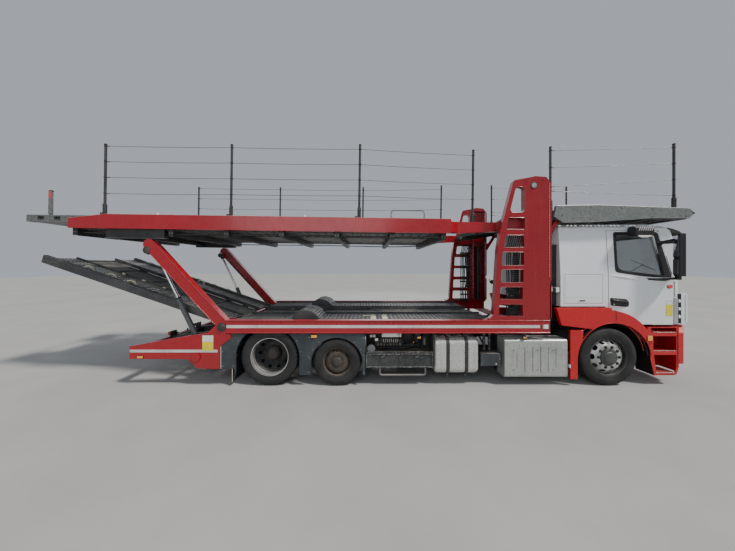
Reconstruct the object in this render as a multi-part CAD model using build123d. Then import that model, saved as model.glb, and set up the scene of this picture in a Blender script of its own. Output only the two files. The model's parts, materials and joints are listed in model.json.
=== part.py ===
from build123d import *
import math
import os

os.makedirs("parts", exist_ok=True)

# Rigid three-axle car transporter truck, millimetres, +X forward, +Z up, Y = 0 on the centreline.
# Everything is drawn from the front axle (X = 0) and moved forward by SHIFT, so that X = 0 is the middle of the truck.
SHIFT = 4061.465

# ---- driving sizes -------------------------------------------------------------------------------
FRONT_X, PUSHER_X, DRIVE_X = 0.0, -4393.0, -5488.0      # axle places
TYRE_R, SMALL_R = 465.0, 383.0                          # 22.5 inch and 17.5 inch wheels
FRONT_Y, PUSHER_Y = 1086.0, 1112.0                      # wheel centre planes
TWIN_OUT_Y, TWIN_IN_Y, TWIN_HUB_Y = 1086.0, 751.0, 918.5
KINGPIN_Y, KINGPIN_R = 930.0, 25.0
TOW_PIN_X, TOW_PIN_R = -7770.0, 25.25                   # drawbar pin bore
FIT = 0.05                                              # radial running clearance
GAP = 5.0                                               # clearance between pieces that move apart

RAIL_OUT, RAIL_Z0, RAIL_Z1 = 425.0, 600.0, 850.0        # chassis rails
BEAM_X0, BEAM_X1, BEAM_Z0, BEAM_Z1 = -6172.0, -969.0, 860.0, 1070.0
SIDE_Y = 1262.0                                         # outermost face of the body
DECK_X0, DECK_Z0, DECK_Z1 = -6125.0, 985.0, 1030.0      # lower deck sheet

HINGE_X, HINGE_Z, HINGE_R = -1700.0, 2600.0, 30.0       # carriage pin of both upper decks
DECK_TILT = 0.83                                        # the upper deck rises to the rear, degrees
ARM_X, ARM_Z, ARM_R = -6240.0, 962.0, 35.0              # lifting arm and rear platform shaft
ARM_LEN, ARM_ANG, ARM_HALF = 1804.9, 132.485, 90.0
EYE_X, EYE_Z = -7489.0, 2200.0                          # lift cylinder, upper eye
FOOT_X, FOOT_Z, FOOT_R = -6655.0, 482.0, 25.0           # lift cylinder, lower pin
ROD_R, BARREL_R, BARREL_LEN = 24.0, 37.0, 1019.0
PLAT_ANG, PLAT_LEN = 18.93, 3446.0                      # rear platform

CAB_X0, CAB_X1, CAB_Y, CAB_Z0, CAB_Z1 = -730.0, 1400.0, 1150.0, 980.0, 2650.0
CAB_WALL = 60.0
ARCH_R = 762.0                                          # cab body over the front wheel
DOOR_X0, DOOR_X1 = 60.0, 1122.0
DOOR_HINGE_Y = 1147.0


# ---- helpers -------------------------------------------------------------------------------------
def block(x0, x1, y0, y1, z0, z1):
    return Pos((x0 + x1) / 2, (y0 + y1) / 2, (z0 + z1) / 2) * Box(x1 - x0, y1 - y0, z1 - z0)


def side(points, y0, y1):
    """A prism along Y from an X, Z outline."""
    plane = Plane(origin=(0, y1, 0), x_dir=(1, 0, 0), z_dir=(0, -1, 0))
    return extrude(plane * Polygon(*points, align=None), amount=y1 - y0, dir=(0, -1, 0))


def front(points, x0, x1):
    """A prism along X from a Y, Z outline."""
    plane = Plane(origin=(x0, 0, 0), x_dir=(0, 1, 0), z_dir=(1, 0, 0))
    return extrude(plane * Polygon(*points, align=None), amount=x1 - x0, dir=(1, 0, 0))


def rod_y(x, z, r, y0, y1):
    return Pos(x, (y0 + y1) / 2, z) * Rot(90, 0, 0) * Cylinder(r, y1 - y0)


def rod_x(y, z, r, x0, x1):
    return Pos((x0 + x1) / 2, y, z) * Rot(0, 90, 0) * Cylinder(r, x1 - x0)


def rod_z(x, y, r, z0, z1):
    return Pos(x, y, (z0 + z1) / 2) * Cylinder(r, z1 - z0)


def turned(points):
    """A solid of revolution about Y from a Y, radius outline."""
    return revolve(Plane.YZ * Polygon(*points, align=None), axis=Axis.Y)


def right(shape):
    return mirror(shape, about=Plane.XZ)


def pair(shape):
    """The piece and its mirror image, as solids that don't touch."""
    return Compound(children=[*shape.solids(), *right(shape).solids()])


def save(name, shape):
    moved = Pos(SHIFT, 0, 0) * shape
    solids = moved.solids()
    export_step(solids[0] if len(solids) == 1 else Compound(children=list(solids)), "parts/" + name + ".step")


def arc_pts(cx, cz, r, a0, a1, n):
    return [(cx + r * math.cos(math.radians(a0 + (a1 - a0) * i / n)),
             cz + r * math.sin(math.radians(a0 + (a1 - a0) * i / n))) for i in range(n + 1)]


def leaned(x, z, ang, shape):
    """Turns a shape about a Y axis through x, z; positive lifts its rear end."""
    return Pos(x, 0, z) * Rot(0, ang, 0) * Pos(-x, 0, -z) * shape


# ---- chassis -------------------------------------------------------------------------------------
def make_chassis_frame():
    t = 8.0
    tail = [(-7640, 470), (-7640, 600), (-6950, 690), (-6500, RAIL_Z1 - 10), (-6300, RAIL_Z1), (1080, RAIL_Z1),
            (1080, 640), (960, RAIL_Z0), (-6300, RAIL_Z0), (-6800, 470)]
    web = side(tail, RAIL_OUT - t, RAIL_OUT)
    # flanges follow the web; the waist behind the arm shaft steps down under the rear platform
    top = block(-6300, 1080, RAIL_OUT - 80, RAIL_OUT, RAIL_Z1 - t, RAIL_Z1)
    low = block(-6300, 960, RAIL_OUT - 80, RAIL_OUT, RAIL_Z0, RAIL_Z0 + t)
    tail_top = side([(-7640, 600 - t), (-7640, 600), (-6950, 690), (-6950, 690 - t)], RAIL_OUT - 80, RAIL_OUT)
    tail_low = block(-7640, -6800, RAIL_OUT - 80, RAIL_OUT, 470, 470 + t)
    rail = web + top + low + tail_top + tail_low
    frame = rail + right(rail)
    # crossmember: x, half length, z0, z1
    for x, h, z0, z1 in [(1020, 35, 660, 830), (-2300, 40, 745, 840), (-3500, 40, 745, 840), (-4650, 40, 745, 840),
                         (-5130, 40, 745, 840), (-5950, 45, 640, 840), (-7050, 40, 500, 580), (-7590, 40, 478, 590)]:
        frame = frame + block(x - h, x + h, -(RAIL_OUT - t), RAIL_OUT - t, z0, z1)
    return frame


def make_side_frame():
    """Red side beams with their cross bearers on the rails."""
    web = block(BEAM_X0, BEAM_X1, 1243, 1252, BEAM_Z0, BEAM_Z1)
    top = block(BEAM_X0, BEAM_X1, 1170, SIDE_Y, BEAM_Z1 - 15, BEAM_Z1)
    low = block(BEAM_X0, BEAM_X1, 1243, SIDE_Y, BEAM_Z0, BEAM_Z0 + 15)
    beam = web + top + low
    frame = beam + right(beam)
    for x in (-1180, -1800, -2640, -3300, -3880, -4930, -6060):       # cross bearers
        frame = frame + block(x - 40, x + 40, -1243, 1243, 850, 950)
        for s in (-1, 1):
            y0, y1 = sorted((s * 1180, s * 1244))
            frame = frame + block(x - 40, x + 40, y0, y1, 945, BEAM_Z1 - 14)
    return frame


def make_rear_panels():
    """Side cheeks that carry the arm shaft and the lift cylinders, joined by the tail beam."""
    outline = [(-6172, 1063), (-6252, 1063), (-6311, 1007), (-6482, 855), (-6569, 842), (-6801, 812), (-7721, 647),
               (-7724, 450), (-6790, 445), (-6629, 297), (-6274, 285), (-6270, 647), (-6100, 780), (-6100, 849), (-6172, 849)]
    outer = side(outline, 1240, 1252)
    inner_outline = [(-6135, 1050), (-6360, 1050), (-6569, 830), (-6801, 780), (-7000, 745), (-7000, 500),
                     (-6790, 445), (-6700, 400), (-6560, 400), (-6430, 600), (-6300, 800), (-6135, 800)]
    inner = side(inner_outline, 955, 970)
    cheek = outer + inner
    cheek = cheek + block(-6980, -6900, 966, 1244, 500, 560)           # spacer tubes between the plates
    cheek = cheek + rod_y(FOOT_X, FOOT_Z, FOOT_R, 960, 1246) + rod_y(FOOT_X, FOOT_Z, 62, 1225, 1268)
    cheek = cheek + rod_y(ARM_X, ARM_Z, 62, 1225, 1270)
    cheek = cheek + block(-6960, -6900, RAIL_OUT, 960, 500, 560)            # tie to the rail
    cheek = cheek + block(-6296, -6240, RAIL_OUT, 960, 805, 845)
    body = cheek + right(cheek)
    body = body + rod_y(ARM_X, ARM_Z, ARM_R, -1245, 1245)              # arm and platform shaft
    beam = block(-7724, -7650, -1245, 1245, 452, 600)                  # tail beam
    return body + beam


def make_tow_coupling():
    """Open drawbar jaw under the tail beam: two ears bored for a 50 mm drawbar pin."""
    jaw = block(-7650, -7560, -110, 110, 290, 478) + block(-7600, -7500, -80, 80, 300, 477)
    for z in (290, 400):
        jaw = jaw + block(TOW_PIN_X - 70, -7640, -90, 90, z, z + 48)
    return jaw - rod_z(TOW_PIN_X, 0, TOW_PIN_R, 280, 460)


# ---- axles and wheels ----------------------------------------------------------------------------
def tyre_ring(c, r, w, rim):
    """Tyre section: centre plane c, outer radius r, half width w, bead radius rim."""
    s = r - rim
    half = [(0.0, r), (0.45 * w, r - 2), (0.82 * w, r - 12), (0.94 * w, r - 0.24 * s), (w, r - 0.48 * s),
            (0.95 * w, r - 0.82 * s), (0.76 * w, rim)]
    pts = [(c + a, b) for a, b in half] + [(c - a, b) for a, b in reversed(half)][:-1]
    return turned(pts)


def rim_ring(c, rim, w):
    pts = [(c - w, rim + 10), (c - w + 10, rim + 10), (c - w + 16, rim), (c + w - 16, rim), (c + w - 10, rim + 10),
           (c + w, rim + 10), (c + w, rim), (c + w - 12, rim - 14), (c - w + 12, rim - 14), (c - w, rim)]
    return turned(pts)


def make_front_wheel():
    c = FRONT_Y
    w = tyre_ring(c, TYRE_R, 146, 296) + rim_ring(c, 298, 122)
    w = w + turned([(c + 40, 288), (c + 66, 288), (c + 134, 196), (c + 134, 90), (c + 118, 90), (c + 118, 190)])
    w = w + turned([(c - 25, 0), (c - 25, 104), (c + 124, 104), (c + 130, 84), (c + 160, 80), (c + 168, 66), (c + 168, 0)])
    w = w - rod_y(0, 0, 45 + FIT, c - 30, c + 90)
    return Pos(FRONT_X, 0, TYRE_R) * w


def make_pusher_wheel():
    c = PUSHER_Y
    w = tyre_ring(c, SMALL_R, 122, 222) + rim_ring(c, 224, 98)
    w = w + turned([(c + 20, 214), (c + 44, 214), (c + 92, 160), (c + 92, 70), (c + 78, 70), (c + 78, 156)])
    w = w + turned([(c - 20, 0), (c - 20, 84), (c + 80, 84), (c + 92, 66), (c + 112, 60), (c + 116, 0)])
    w = w - rod_y(0, 0, 38 + FIT, c - 25, c + 60)
    return Pos(PUSHER_X, 0, SMALL_R) * w


def make_drive_wheel():
    w = None
    for c in (TWIN_OUT_Y, TWIN_IN_Y):
        one = tyre_ring(c, TYRE_R, 146, 296) + rim_ring(c, 298, 118)
        w = one if w is None else w + one
    m = TWIN_HUB_Y
    w = w + turned([(m + 74, 288), (m + 98, 288), (m + 16, 196), (m + 16, 90), (m, 90), (m, 198)])
    w = w + turned([(m - 74, 288), (m - 98, 288), (m - 16, 196), (m - 16, 90), (m, 90), (m, 198)])
    w = w + turned([(m - 62, 0), (m - 62, 108), (m + 110, 100), (m + 122, 82), (m + 142, 78), (m + 142, 0)])
    w = w - rod_y(0, 0, 55 + FIT, m - 70, m + 112)
    return Pos(DRIVE_X, 0, TYRE_R) * w


def make_front_knuckle():
    z = TYRE_R
    k = rod_z(0, KINGPIN_Y, KINGPIN_R, z - 118, z + 118)
    k = k + block(-45, 45, KINGPIN_Y - 42, 1006, z + 80, z + 112) + block(-45, 45, KINGPIN_Y - 42, 1006, z - 112, z - 80)
    k = k + block(-52, 52, 986, 1012, z - 112, z + 112)
    k = k + rod_y(0, z, 200, 1004, 1034) + rod_y(0, z, 72, 1030, FRONT_Y - 32) + rod_y(0, z, 45, 1050, FRONT_Y + 84)
    k = k + block(-190, -40, KINGPIN_Y - 42, KINGPIN_Y + 10, z - 112, z - 88)   # steering arm
    return k


def make_front_axle_beam():
    z = TYRE_R
    beam = front([(-900, z - 70), (-790, z - 70), (-600, z - 150), (600, z - 150), (790, z - 70), (900, z - 70),
                  (900, z + 66), (780, z + 66), (560, z - 50), (-560, z - 50), (-780, z + 66), (-900, z + 66)], -42, 42)
    for s in (-1, 1):
        beam = beam + rod_z(0, s * KINGPIN_Y, 46, z - 74, z + 74)
        beam = beam + block(-75, 75, s * 385 - 48, s * 385 + 48, z - 62, z - 28)
    for s in (-1, 1):
        beam = beam - rod_z(0, s * KINGPIN_Y, KINGPIN_R + FIT, z - 80, z + 80)
    return beam


def make_pusher_axle():
    z = SMALL_R
    half = rod_y(PUSHER_X, z, 52, -1, PUSHER_Y - 90) + rod_y(PUSHER_X, z, 130, PUSHER_Y - 92, PUSHER_Y - 62)
    half = half + rod_y(PUSHER_X, z, 60, PUSHER_Y - 64, PUSHER_Y - 26) + rod_y(PUSHER_X, z, 38, PUSHER_Y - 30, PUSHER_Y + 55)
    half = half + block(PUSHER_X - 70, PUSHER_X + 70, 470, 540, z - 85, z + 40)
    return half + right(half)


def make_drive_axle():
    z = TYRE_R
    half = rod_y(DRIVE_X, z, 72, -1, 806) + rod_y(DRIVE_X, z, 205, 800, 832) + rod_y(DRIVE_X, z, 80, 828, TWIN_HUB_Y - 67)
    half = half + rod_y(DRIVE_X, z, 55, TWIN_HUB_Y - 70, TWIN_HUB_Y + 106)
    half = half + block(DRIVE_X - 75, DRIVE_X + 75, 455, 545, z - 100, z + 20)
    axle = half + right(half)
    bowl = rod_x(0, z, 195, DRIVE_X - 150, DRIVE_X + 130)
    return axle + bowl + rod_x(0, z, 85, DRIVE_X + 120, DRIVE_X + 294)


def make_springs():
    """Front leaf springs, and the air springs on trailing beams at the two rear axles."""
    def leaf(z0, z1, half):
        r = 7700.0
        return side(arc_pts(0, z0 + r, r, 270 - half, 270 + half, 8)
                    + arc_pts(0, z0 + r, r - (z1 - z0), 270 + half, 270 - half, 8), 340, 430)
    z = TYRE_R
    spring = leaf(506, 536, 6.55) + leaf(472, 507, 5.2) + leaf(437, 473, 3.4)
    spring = spring + block(-925, -850, 345, 425, 530, RAIL_Z0) + block(850, 925, 345, 425, 530, RAIL_Z0)
    rear = block(DRIVE_X - 470, DRIVE_X + 470, 455, 545, z - 140, z - 100)
    for dx in (-400, 400):
        rear = rear + rod_z(DRIVE_X + dx, 500, 92, z - 101, 582) + block(DRIVE_X + dx - 95, DRIVE_X + dx + 95, 350, 592, 581, RAIL_Z0)
    zp = SMALL_R
    pusher = block(PUSHER_X - 380, PUSHER_X + 340, 470, 540, zp - 118, zp - 85)
    for dx in (-270, 270):
        pusher = pusher + rod_z(PUSHER_X + dx, 505, 84, zp - 86, 582)
        pusher = pusher + block(PUSHER_X + dx - 90, PUSHER_X + dx + 90, 350, 590, 581, RAIL_Z0)
    return Compound(children=[*pair(spring).solids(), *pair(rear).solids(), *pair(pusher).solids()])


def make_driveline():
    gearbox = side([(-1750, 560), (-1750, 760), (-1350, 840), (-755, 845), (-755, 470), (-1350, 500)], -210, 210)
    gearbox = gearbox + rod_x(0, 655, 75, -1860, -1740)
    x0, x1, z0, z1 = -5184.0, -1850.0, 478.0, 655.0                     # propeller shaft
    drop = math.degrees(math.atan2(z1 - z0, x1 - x0))
    shaft = Pos((x0 + x1) / 2, 0, (z0 + z1) / 2) * Rot(0, 90 - drop, 0) * Cylinder(58, math.hypot(z1 - z0, x1 - x0))
    return gearbox + shaft


def make_engine_block():
    return block(-750, 250, -320, 320, 500, 1170)


# ---- things under the lower deck -----------------------------------------------------------------
def make_mudguards():
    """Dark side skirt with both wheel arches, the liners over the wheels and the flaps."""
    outline = [(-6262, 849), (-6262, 290), (-6050, 290), (-6000, 190), (-4811, 186), (-3942, 178), (-3942, 849)]
    panel = side(outline, 1218, 1240)
    drive = rod_y(DRIVE_X - 22, 465, 512, 1200, 1250) + block(DRIVE_X - 534, DRIVE_X + 490, 1200, 1250, 0, 465)
    small = rod_y(PUSHER_X - 2, 373, 413, 1200, 1250) + block(PUSHER_X - 415, PUSHER_X + 411, 1200, 1250, 0, 373)
    panel = panel - drive - small
    panel = panel - block(-6300, -6040, 1200, 1250, 0, 288)
    liner = rod_y(DRIVE_X - 22, 465, 517, 600, 1222) - rod_y(DRIVE_X - 22, 465, 511, 590, 1230)
    liner = liner - block(DRIVE_X - 600, DRIVE_X + 600, 590, 1230, -100, 640)
    cap = rod_y(PUSHER_X - 2, 373, 418, 970, 1222) - rod_y(PUSHER_X - 2, 373, 412, 960, 1230)
    cap = cap - block(PUSHER_X - 500, PUSHER_X + 500, 960, 1230, -100, 520)
    flap = block(-6088, -6074, 600, 1232, 70, 470) + block(-6092, -6070, 600, 1232, 440, 640)
    flap = flap + block(-6092, -6070, 1200, 1222, 430, 640)
    return pair(panel + liner + cap + flap)


def make_control_bay():
    """Recess under the side beam with the hydraulic valve block and its levers."""
    bay = block(-3930, -2830, 880, 896, 545, 850) + block(-3930, -2830, 880, 1225, 530, 546)
    bay = bay + block(-3930, -3914, 880, 1225, 540, 850) + block(-2846, -2830, 880, 1225, 540, 850)
    bay = bay + block(-3760, -3330, 890, 1060, 600, 730)
    bay = bay + block(-3800, -3290, 890, 1010, 730, 800)
    for i in range(8):
        x = -3730 + i * 52
        bay = bay + block(x - 7, x + 7, 1050, 1150, 668, 682) + Pos(x, 1150, 675) * Sphere(17)
    return right(bay)


def make_tool_box():
    box = block(-3930, -2840, 760, 1232, 300, 528)
    tube = rod_x(1180, 170, 19, -3700, -2960)
    tube = tube + rod_z(-3700, 1180, 19, 170, 305) + rod_z(-2960, 1180, 19, 170, 305)
    return right(box + tube + Pos(-3700, 1180, 170) * Sphere(19) + Pos(-2960, 1180, 170) * Sphere(19))


def rounded_box(x0, x1, y0, y1, z0, z1, r):
    b = block(x0, x1, y0, y1, z0, z1)
    return fillet(b.edges().filter_by(Axis.X), r)


def make_fuel_tank():
    tank = rounded_box(-2820, -2095, 640, 1225, 187, 776, 110)
    for x in (-2600, -2300):                                            # straps and their brackets
        tank = tank + (rounded_box(x - 24, x + 24, 630, 1233, 177, 786, 116))
        tank = tank + block(x - 30, x + 30, RAIL_OUT, 640, 300, 780)
    tank = tank + rod_z(-2450, 1050, 42, 770, 806)
    return right(tank)


def make_silencer():
    box = rounded_box(-1690, -670, 590, 1228, 135, 755, 45)
    box = box + block(-1500, -1440, RAIL_OUT, 600, 350, 740) + block(-960, -900, RAIL_OUT, 600, 350, 740)
    return right(box)


def make_filter_box():
    box = block(-2062, -1740, 700, 1200, 307, 527) + block(-1960, -1840, RAIL_OUT, 710, 380, 500)
    return right(box + rod_z(-1950, 1050, 22, 520, 850) + rod_z(-1860, 1050, 22, 520, 850))


def make_air_intake():
    """Ribbed engine air duct on the back wall of the cab."""
    duct = block(-856, -748, 800, 1070, 1290, 2290)
    for i in range(7):
        z = 1360 + i * 140
        duct = duct + block(-866, -856, 810, 1060, z, z + 60)
    return right(duct + block(-748, -735, 840, 1030, 1400, 1460) + block(-748, -735, 840, 1030, 2150, 2210))


def make_far_side_boxes():
    """Battery box and locker on the left side."""
    a = block(-2060, -1380, 620, 1228, 300, 760) + block(-1800, -1640, RAIL_OUT, 630, 420, 700)
    b = block(-3930, -2800, 640, 1232, 300, 800) + block(-3450, -3290, RAIL_OUT, 650, 420, 700)
    return Compound(children=[*a.solids(), *b.solids()])


def make_air_tanks():
    t = None
    for y, z in ((760, 640), (1040, 640)):
        one = fillet(rod_x(y, z, 118, -2740, -2140).edges(), 45)
        t = one if t is None else t + one
    t = t + block(-2640, -2600, RAIL_OUT, 1150, 752, 780) + block(-2280, -2240, RAIL_OUT, 1150, 752, 780)
    low = fillet(rod_x(820, 360, 140, -2740, -2140).edges(), 50)
    t = t + low + block(-2460, -2420, RAIL_OUT, 900, 470, 530) + block(-2460, -2420, 700, 760, 500, 560)
    return t


# ---- decks ---------------------------------------------------------------------------------------
def make_lower_deck():
    track = block(DECK_X0, -1760, 380, 1115, DECK_Z0, DECK_Z1) + block(DECK_X0, -1760, 1115, 1130, DECK_Z0, 1062)
    track = track + block(DECK_X0, -1760, 380, 395, DECK_Z0, 1062)
    track = track + side([(-5180, DECK_Z1), (-5120, 1150), (-4960, 1200), (-4780, 1130), (-4690, DECK_Z1)], 440, 1060)
    deck = track + right(track)
    deck = deck + block(DECK_X0, -1760, -382, 382, 960, DECK_Z0 + 1)
    return deck


def window(points, r, y0, y1):
    """A window cutter with rounded corners from an X, Z outline."""
    plane = Plane(origin=(0, y1, 0), x_dir=(1, 0, 0), z_dir=(0, -1, 0))
    face = Polygon(*points, align=None)
    return extrude(plane * fillet(face.vertices(), r), amount=y1 - y0, dir=(0, -1, 0))


def make_towers():
    """Side towers of the upper decks, with their carriages, pins and rest brackets."""
    y0, y1 = 1150.0, 1250.0
    outline = [(-2010, 1070), (-1930, 1100), (-1878, 1155), (-1809, 2197), (-1766, 2497), (-1557, 3298), (-1539, 3320),
               (-1191, 3385), (-1030, 3372), (-944, 3263), (-944, 1720), (-972, 1660), (-972, 1070)]
    t = side(outline, y0, y1)
    # window: z0, z1, left x at z0, left x at z1, right x
    for z0, z1, xl0, xl1, xr in [(2800, 3215, -1620, -1518, -1372), (2530, 2718, -1676, -1640, -1370),
                                 (2240, 2437, -1710, -1680, -1380), (1950, 2164, -1750, -1738, -1384),
                                 (1675, 1884, -1764, -1754, -1392), (1403, 1602, -1780, -1770, -1404),
                                 (1130, 1326, -1794, -1786, -1404)]:
        t = t - window([(xl0, z0), (xr, z0), (xr, z1), (xl1, z1)], 58 if z0 == 2800 else 22, y0 - 10, y1 + 10)
    t = t - block(-1330, -1010, y0 - 10, y1 - 12, 1100, 3300)               # the column is a channel, open inwards
    t = t + block(-1330, -1290, 1060, y1 - 10, 1100, 3250) + block(-1050, -1010, 1060, y1 - 10, 1100, 3250)
    t = t + rod_y(-1230, 3235, 40, 1180, 1262)
    carriage = block(-1290, -1050, 1075, 1225, 2420, 2780)
    carriage = carriage + side([(HINGE_X - 75, 2540), (HINGE_X - 75, 2660), (HINGE_X, 2700), (-1280, 2760),
                                (-1280, 2440), (HINGE_X, 2500)], 1062, 1145)
    carriage = carriage + rod_y(HINGE_X, HINGE_Z, HINGE_R, 868, 1070)
    rest = side([(-957, 2330), (-957, 2470), (-812, 2693), (-765, 2693), (-765, 2640)], 1090, 1152)
    rest = rest + block(-1011, -955, 1090, 1152, 2330, 2480)
    t = t + carriage + rest
    return pair(t)


def upper_place(shape):
    return leaned(HINGE_X, HINGE_Z, DECK_TILT, shape)


UB0, UB1 = 2453.0, 2683.0                                                 # upper deck beams before the lean


def make_upper_deck_beams():
    beam = side([(-2560, UB0), (-2560, UB1), (-8116, UB1), (-8712, UB1 - 75), (-8712, UB0)], 1165, 1255)
    cheek = side([(-2700, 2480), (-2700, UB1 - 10), (-1700, UB1 - 10), (-1646, 2645), (-1646, 2555), (-1700, 2520),
                  (-2380, 2480)], 972, 1050)
    ledge = [(972, -2700), (1165, -2700), (1165, -2560), (1050, -2380), (972, -2380)]
    plane = Plane(origin=(0, 0, 2490), x_dir=(1, 0, 0), z_dir=(0, 0, 1))
    web = extrude(plane * Polygon(*[(b, a) for a, b in ledge], align=None), amount=175, dir=(0, 0, 1))
    pad = block(-8150, -7200, 1092, 1200, 2312, 2440) + block(-8150, -7200, 1152, 1200, 2430, UB0 + 2)
    half = beam + cheek + web + pad
    half = half - rod_y(HINGE_X, HINGE_Z, HINGE_R + FIT, 960, 1060)
    deck = half + right(half)
    for x in (-2660, -3500, -4400, -5300, -6200, -7100, -8000, -8660):       # crossmembers
        z1 = 2500 if x > -2700 else 2441
        deck = deck + block(x - 40, x + 40, -1166, 1166, 2345, z1)
        deck = deck + block(x - 40, x + 40, 1151, 1190, 2345, UB0 + 5) + block(x - 40, x + 40, -1190, -1151, 2345, UB0 + 5)
    return upper_place(deck)


def make_upper_deck_tracks():
    one = block(-8700, -2705, 420, 1150, 2441, 2466) + block(-8700, -2705, 420, 436, 2466, 2510)
    one = one + block(-8700, -2705, 1134, 1150, 2466, 2510)
    plate = block(-8700, -2705, -421, 421, 2441, 2453)
    return upper_place(one + right(one) + plate)


def make_deck_posts():
    """Guard posts of the upper deck with their sleeves: x, y, foot z, top z."""
    p = None
    for x, y, z0, z1 in [(-8164, 1205, 2682, 3830), (-6118, 1205, 2683, 3850), (-4040, 1205, 2683, 3880), (-2130, 1012, 2673, 3900)]:
        one = rod_z(x, y, 19, z0, z1) + rod_z(x, y, 29, z0, z0 + 170)
        p = one if p is None else p + one
    return upper_place(pair(p))


def make_deck_extension():
    """Slide-out tail of the upper deck."""
    rail = block(-9520, -7850, 1035, 1140, 2560, 2675)
    half = rail + block(-9500, -8790, 420, 1040, 2566, 2590) + rod_y(-9480, 2600, 26, -1, 1040) + rod_y(-8800, 2600, 26, -1, 1040)
    half = half - block(-9330, -9230, 1000, 1200, 2600, 2650) - block(-9060, -8960, 1000, 1200, 2600, 2650)
    half = half + block(-9195, -9150, 1075, 1105, 2670, 3090)
    return upper_place(half + right(half))


def make_over_cab_deck():
    sidebeam = side([(-846, 2912), (-197, 2925), (1303, 2870), (1376, 2800), (1301, 2712), (684, 2712), (-197, 2653),
                     (-736, 2640), (-890, 2738)], 1170, 1230)
    arm = side([(-1776, 2560), (-1776, 2640), (-1740, 2670), (-1560, 2770), (-890, 2905), (-820, 2905), (-820, 2700),
                (-1000, 2640), (-1560, 2550), (-1740, 2530)], 885, 955)
    half = sidebeam + arm
    half = half + block(-890, -820, -1, 1145, 2700, 2860) + block(-840, -760, 1100, 1171, 2712, 2860)
    half = half + block(-830, 1300, -1, 1171, 2700, 2726) + block(1270, 1320, -1, 1171, 2700, 2850)
    half = half + side([(-1600, 2640), (-1600, 2668), (-860, 2760), (-860, 2732)], -1, 886)
    half = half - rod_y(HINGE_X, HINGE_Z, HINGE_R + FIT, 870, 970)
    return half + right(half)


def make_over_cab_posts():
    p = None
    for x, y, z0, z1 in [(-856, 1085, 2860, 3930), (1073, 1200, 2880, 3930)]:
        one = rod_z(x, y, 19, z0, z1) + rod_z(x, y, 29, z0, z0 + 170)
        p = one if p is None else p + one
    return pair(p)


def make_rear_arms():
    slot = Plane(origin=(0, 1200, 0), x_dir=(1, 0, 0), z_dir=(0, -1, 0)) * Pos(0, 0) * SlotCenterToCenter(ARM_LEN, 2 * ARM_HALF)
    arm = extrude(slot, amount=120, dir=(0, -1, 0))
    arm = Pos(ARM_X, 0, ARM_Z) * Rot(0, -ARM_ANG, 0) * Pos(ARM_LEN / 2, 0, 0) * arm
    arm = arm + rod_y(ARM_X, ARM_Z, 98, 1078, 1202) + rod_y(EYE_X, EYE_Z, 60, 1058, 1120)
    arm = arm - rod_y(ARM_X, ARM_Z, ARM_R + FIT, 1070, 1210)
    arm = arm + rod_y(EYE_X, EYE_Z, 21, 976, 1070) + rod_y(EYE_X, EYE_Z, 50, 966, 977)
    return pair(arm)


def lift_line():
    dx, dz = EYE_X - FOOT_X, EYE_Z - FOOT_Z
    return math.hypot(dx, dz), math.degrees(math.atan2(dz, dx))


def make_lift_barrels():
    _, ang = lift_line()
    b = rod_x(1020, 0, BARREL_R, 40, BARREL_LEN) + rod_x(1020, 0, BARREL_R + 6, BARREL_LEN - 60, BARREL_LEN)
    b = b + rod_y(0, 0, 56, 986, 1054)
    b = b - rod_y(0, 0, FOOT_R + FIT, 970, 1070) - rod_x(1020, 0, ROD_R + FIT, 110, BARREL_LEN + 10)
    return pair(Pos(FOOT_X, 0, FOOT_Z) * Rot(0, -ang, 0) * b)


def make_lift_rods():
    length, ang = lift_line()
    r = rod_x(1020, 0, ROD_R, 430, length - 30) + rod_y(length, 0, 60, 986, 1050)
    r = r - rod_y(length, 0, 40, 970, 1070)
    return pair(Pos(FOOT_X, 0, FOOT_Z) * Rot(0, -ang, 0) * r)


def make_rear_platform():
    """Flat first, running back from the shaft, then lifted to its slope."""
    def u(a, b, y0, y1, z0, z1):
        return block(ARM_X - b, ARM_X - a, y0, y1, ARM_Z + z0, ARM_Z + z1)
    half = u(70, PLAT_LEN, 400, 870, -18, 8) + u(60, PLAT_LEN, 866, 938, -78, 58) + u(70, PLAT_LEN, 385, 402, -30, 40)
    half = half + u(120, PLAT_LEN - 40, -1, 390, -46, -30)
    for a in (90, 760, 1430, 2100, 2770, PLAT_LEN - 60):
        half = half + u(a, a + 60, -1, 870, -78, -17)
    for y0, y1 in ((560, 640), (866, 938)):
        half = half + rod_y(ARM_X, ARM_Z, 62, y0, y1) + u(10, 120, y0, y1, -50, -14)
    half = half - rod_y(ARM_X, ARM_Z, ARM_R + FIT, 500, 950)
    plat = half + right(half)
    return leaned(ARM_X, ARM_Z, PLAT_ANG, plat)


# ---- cab -----------------------------------------------------------------------------------------
def plan(points, z0, z1):
    """Plan outline raised from z0 to z1."""
    base = Plane(origin=(0, 0, z0), x_dir=(1, 0, 0), z_dir=(0, 0, 1))
    return extrude(base * Polygon(*points, align=None), amount=z1 - z0, dir=(0, 0, 1))


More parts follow.
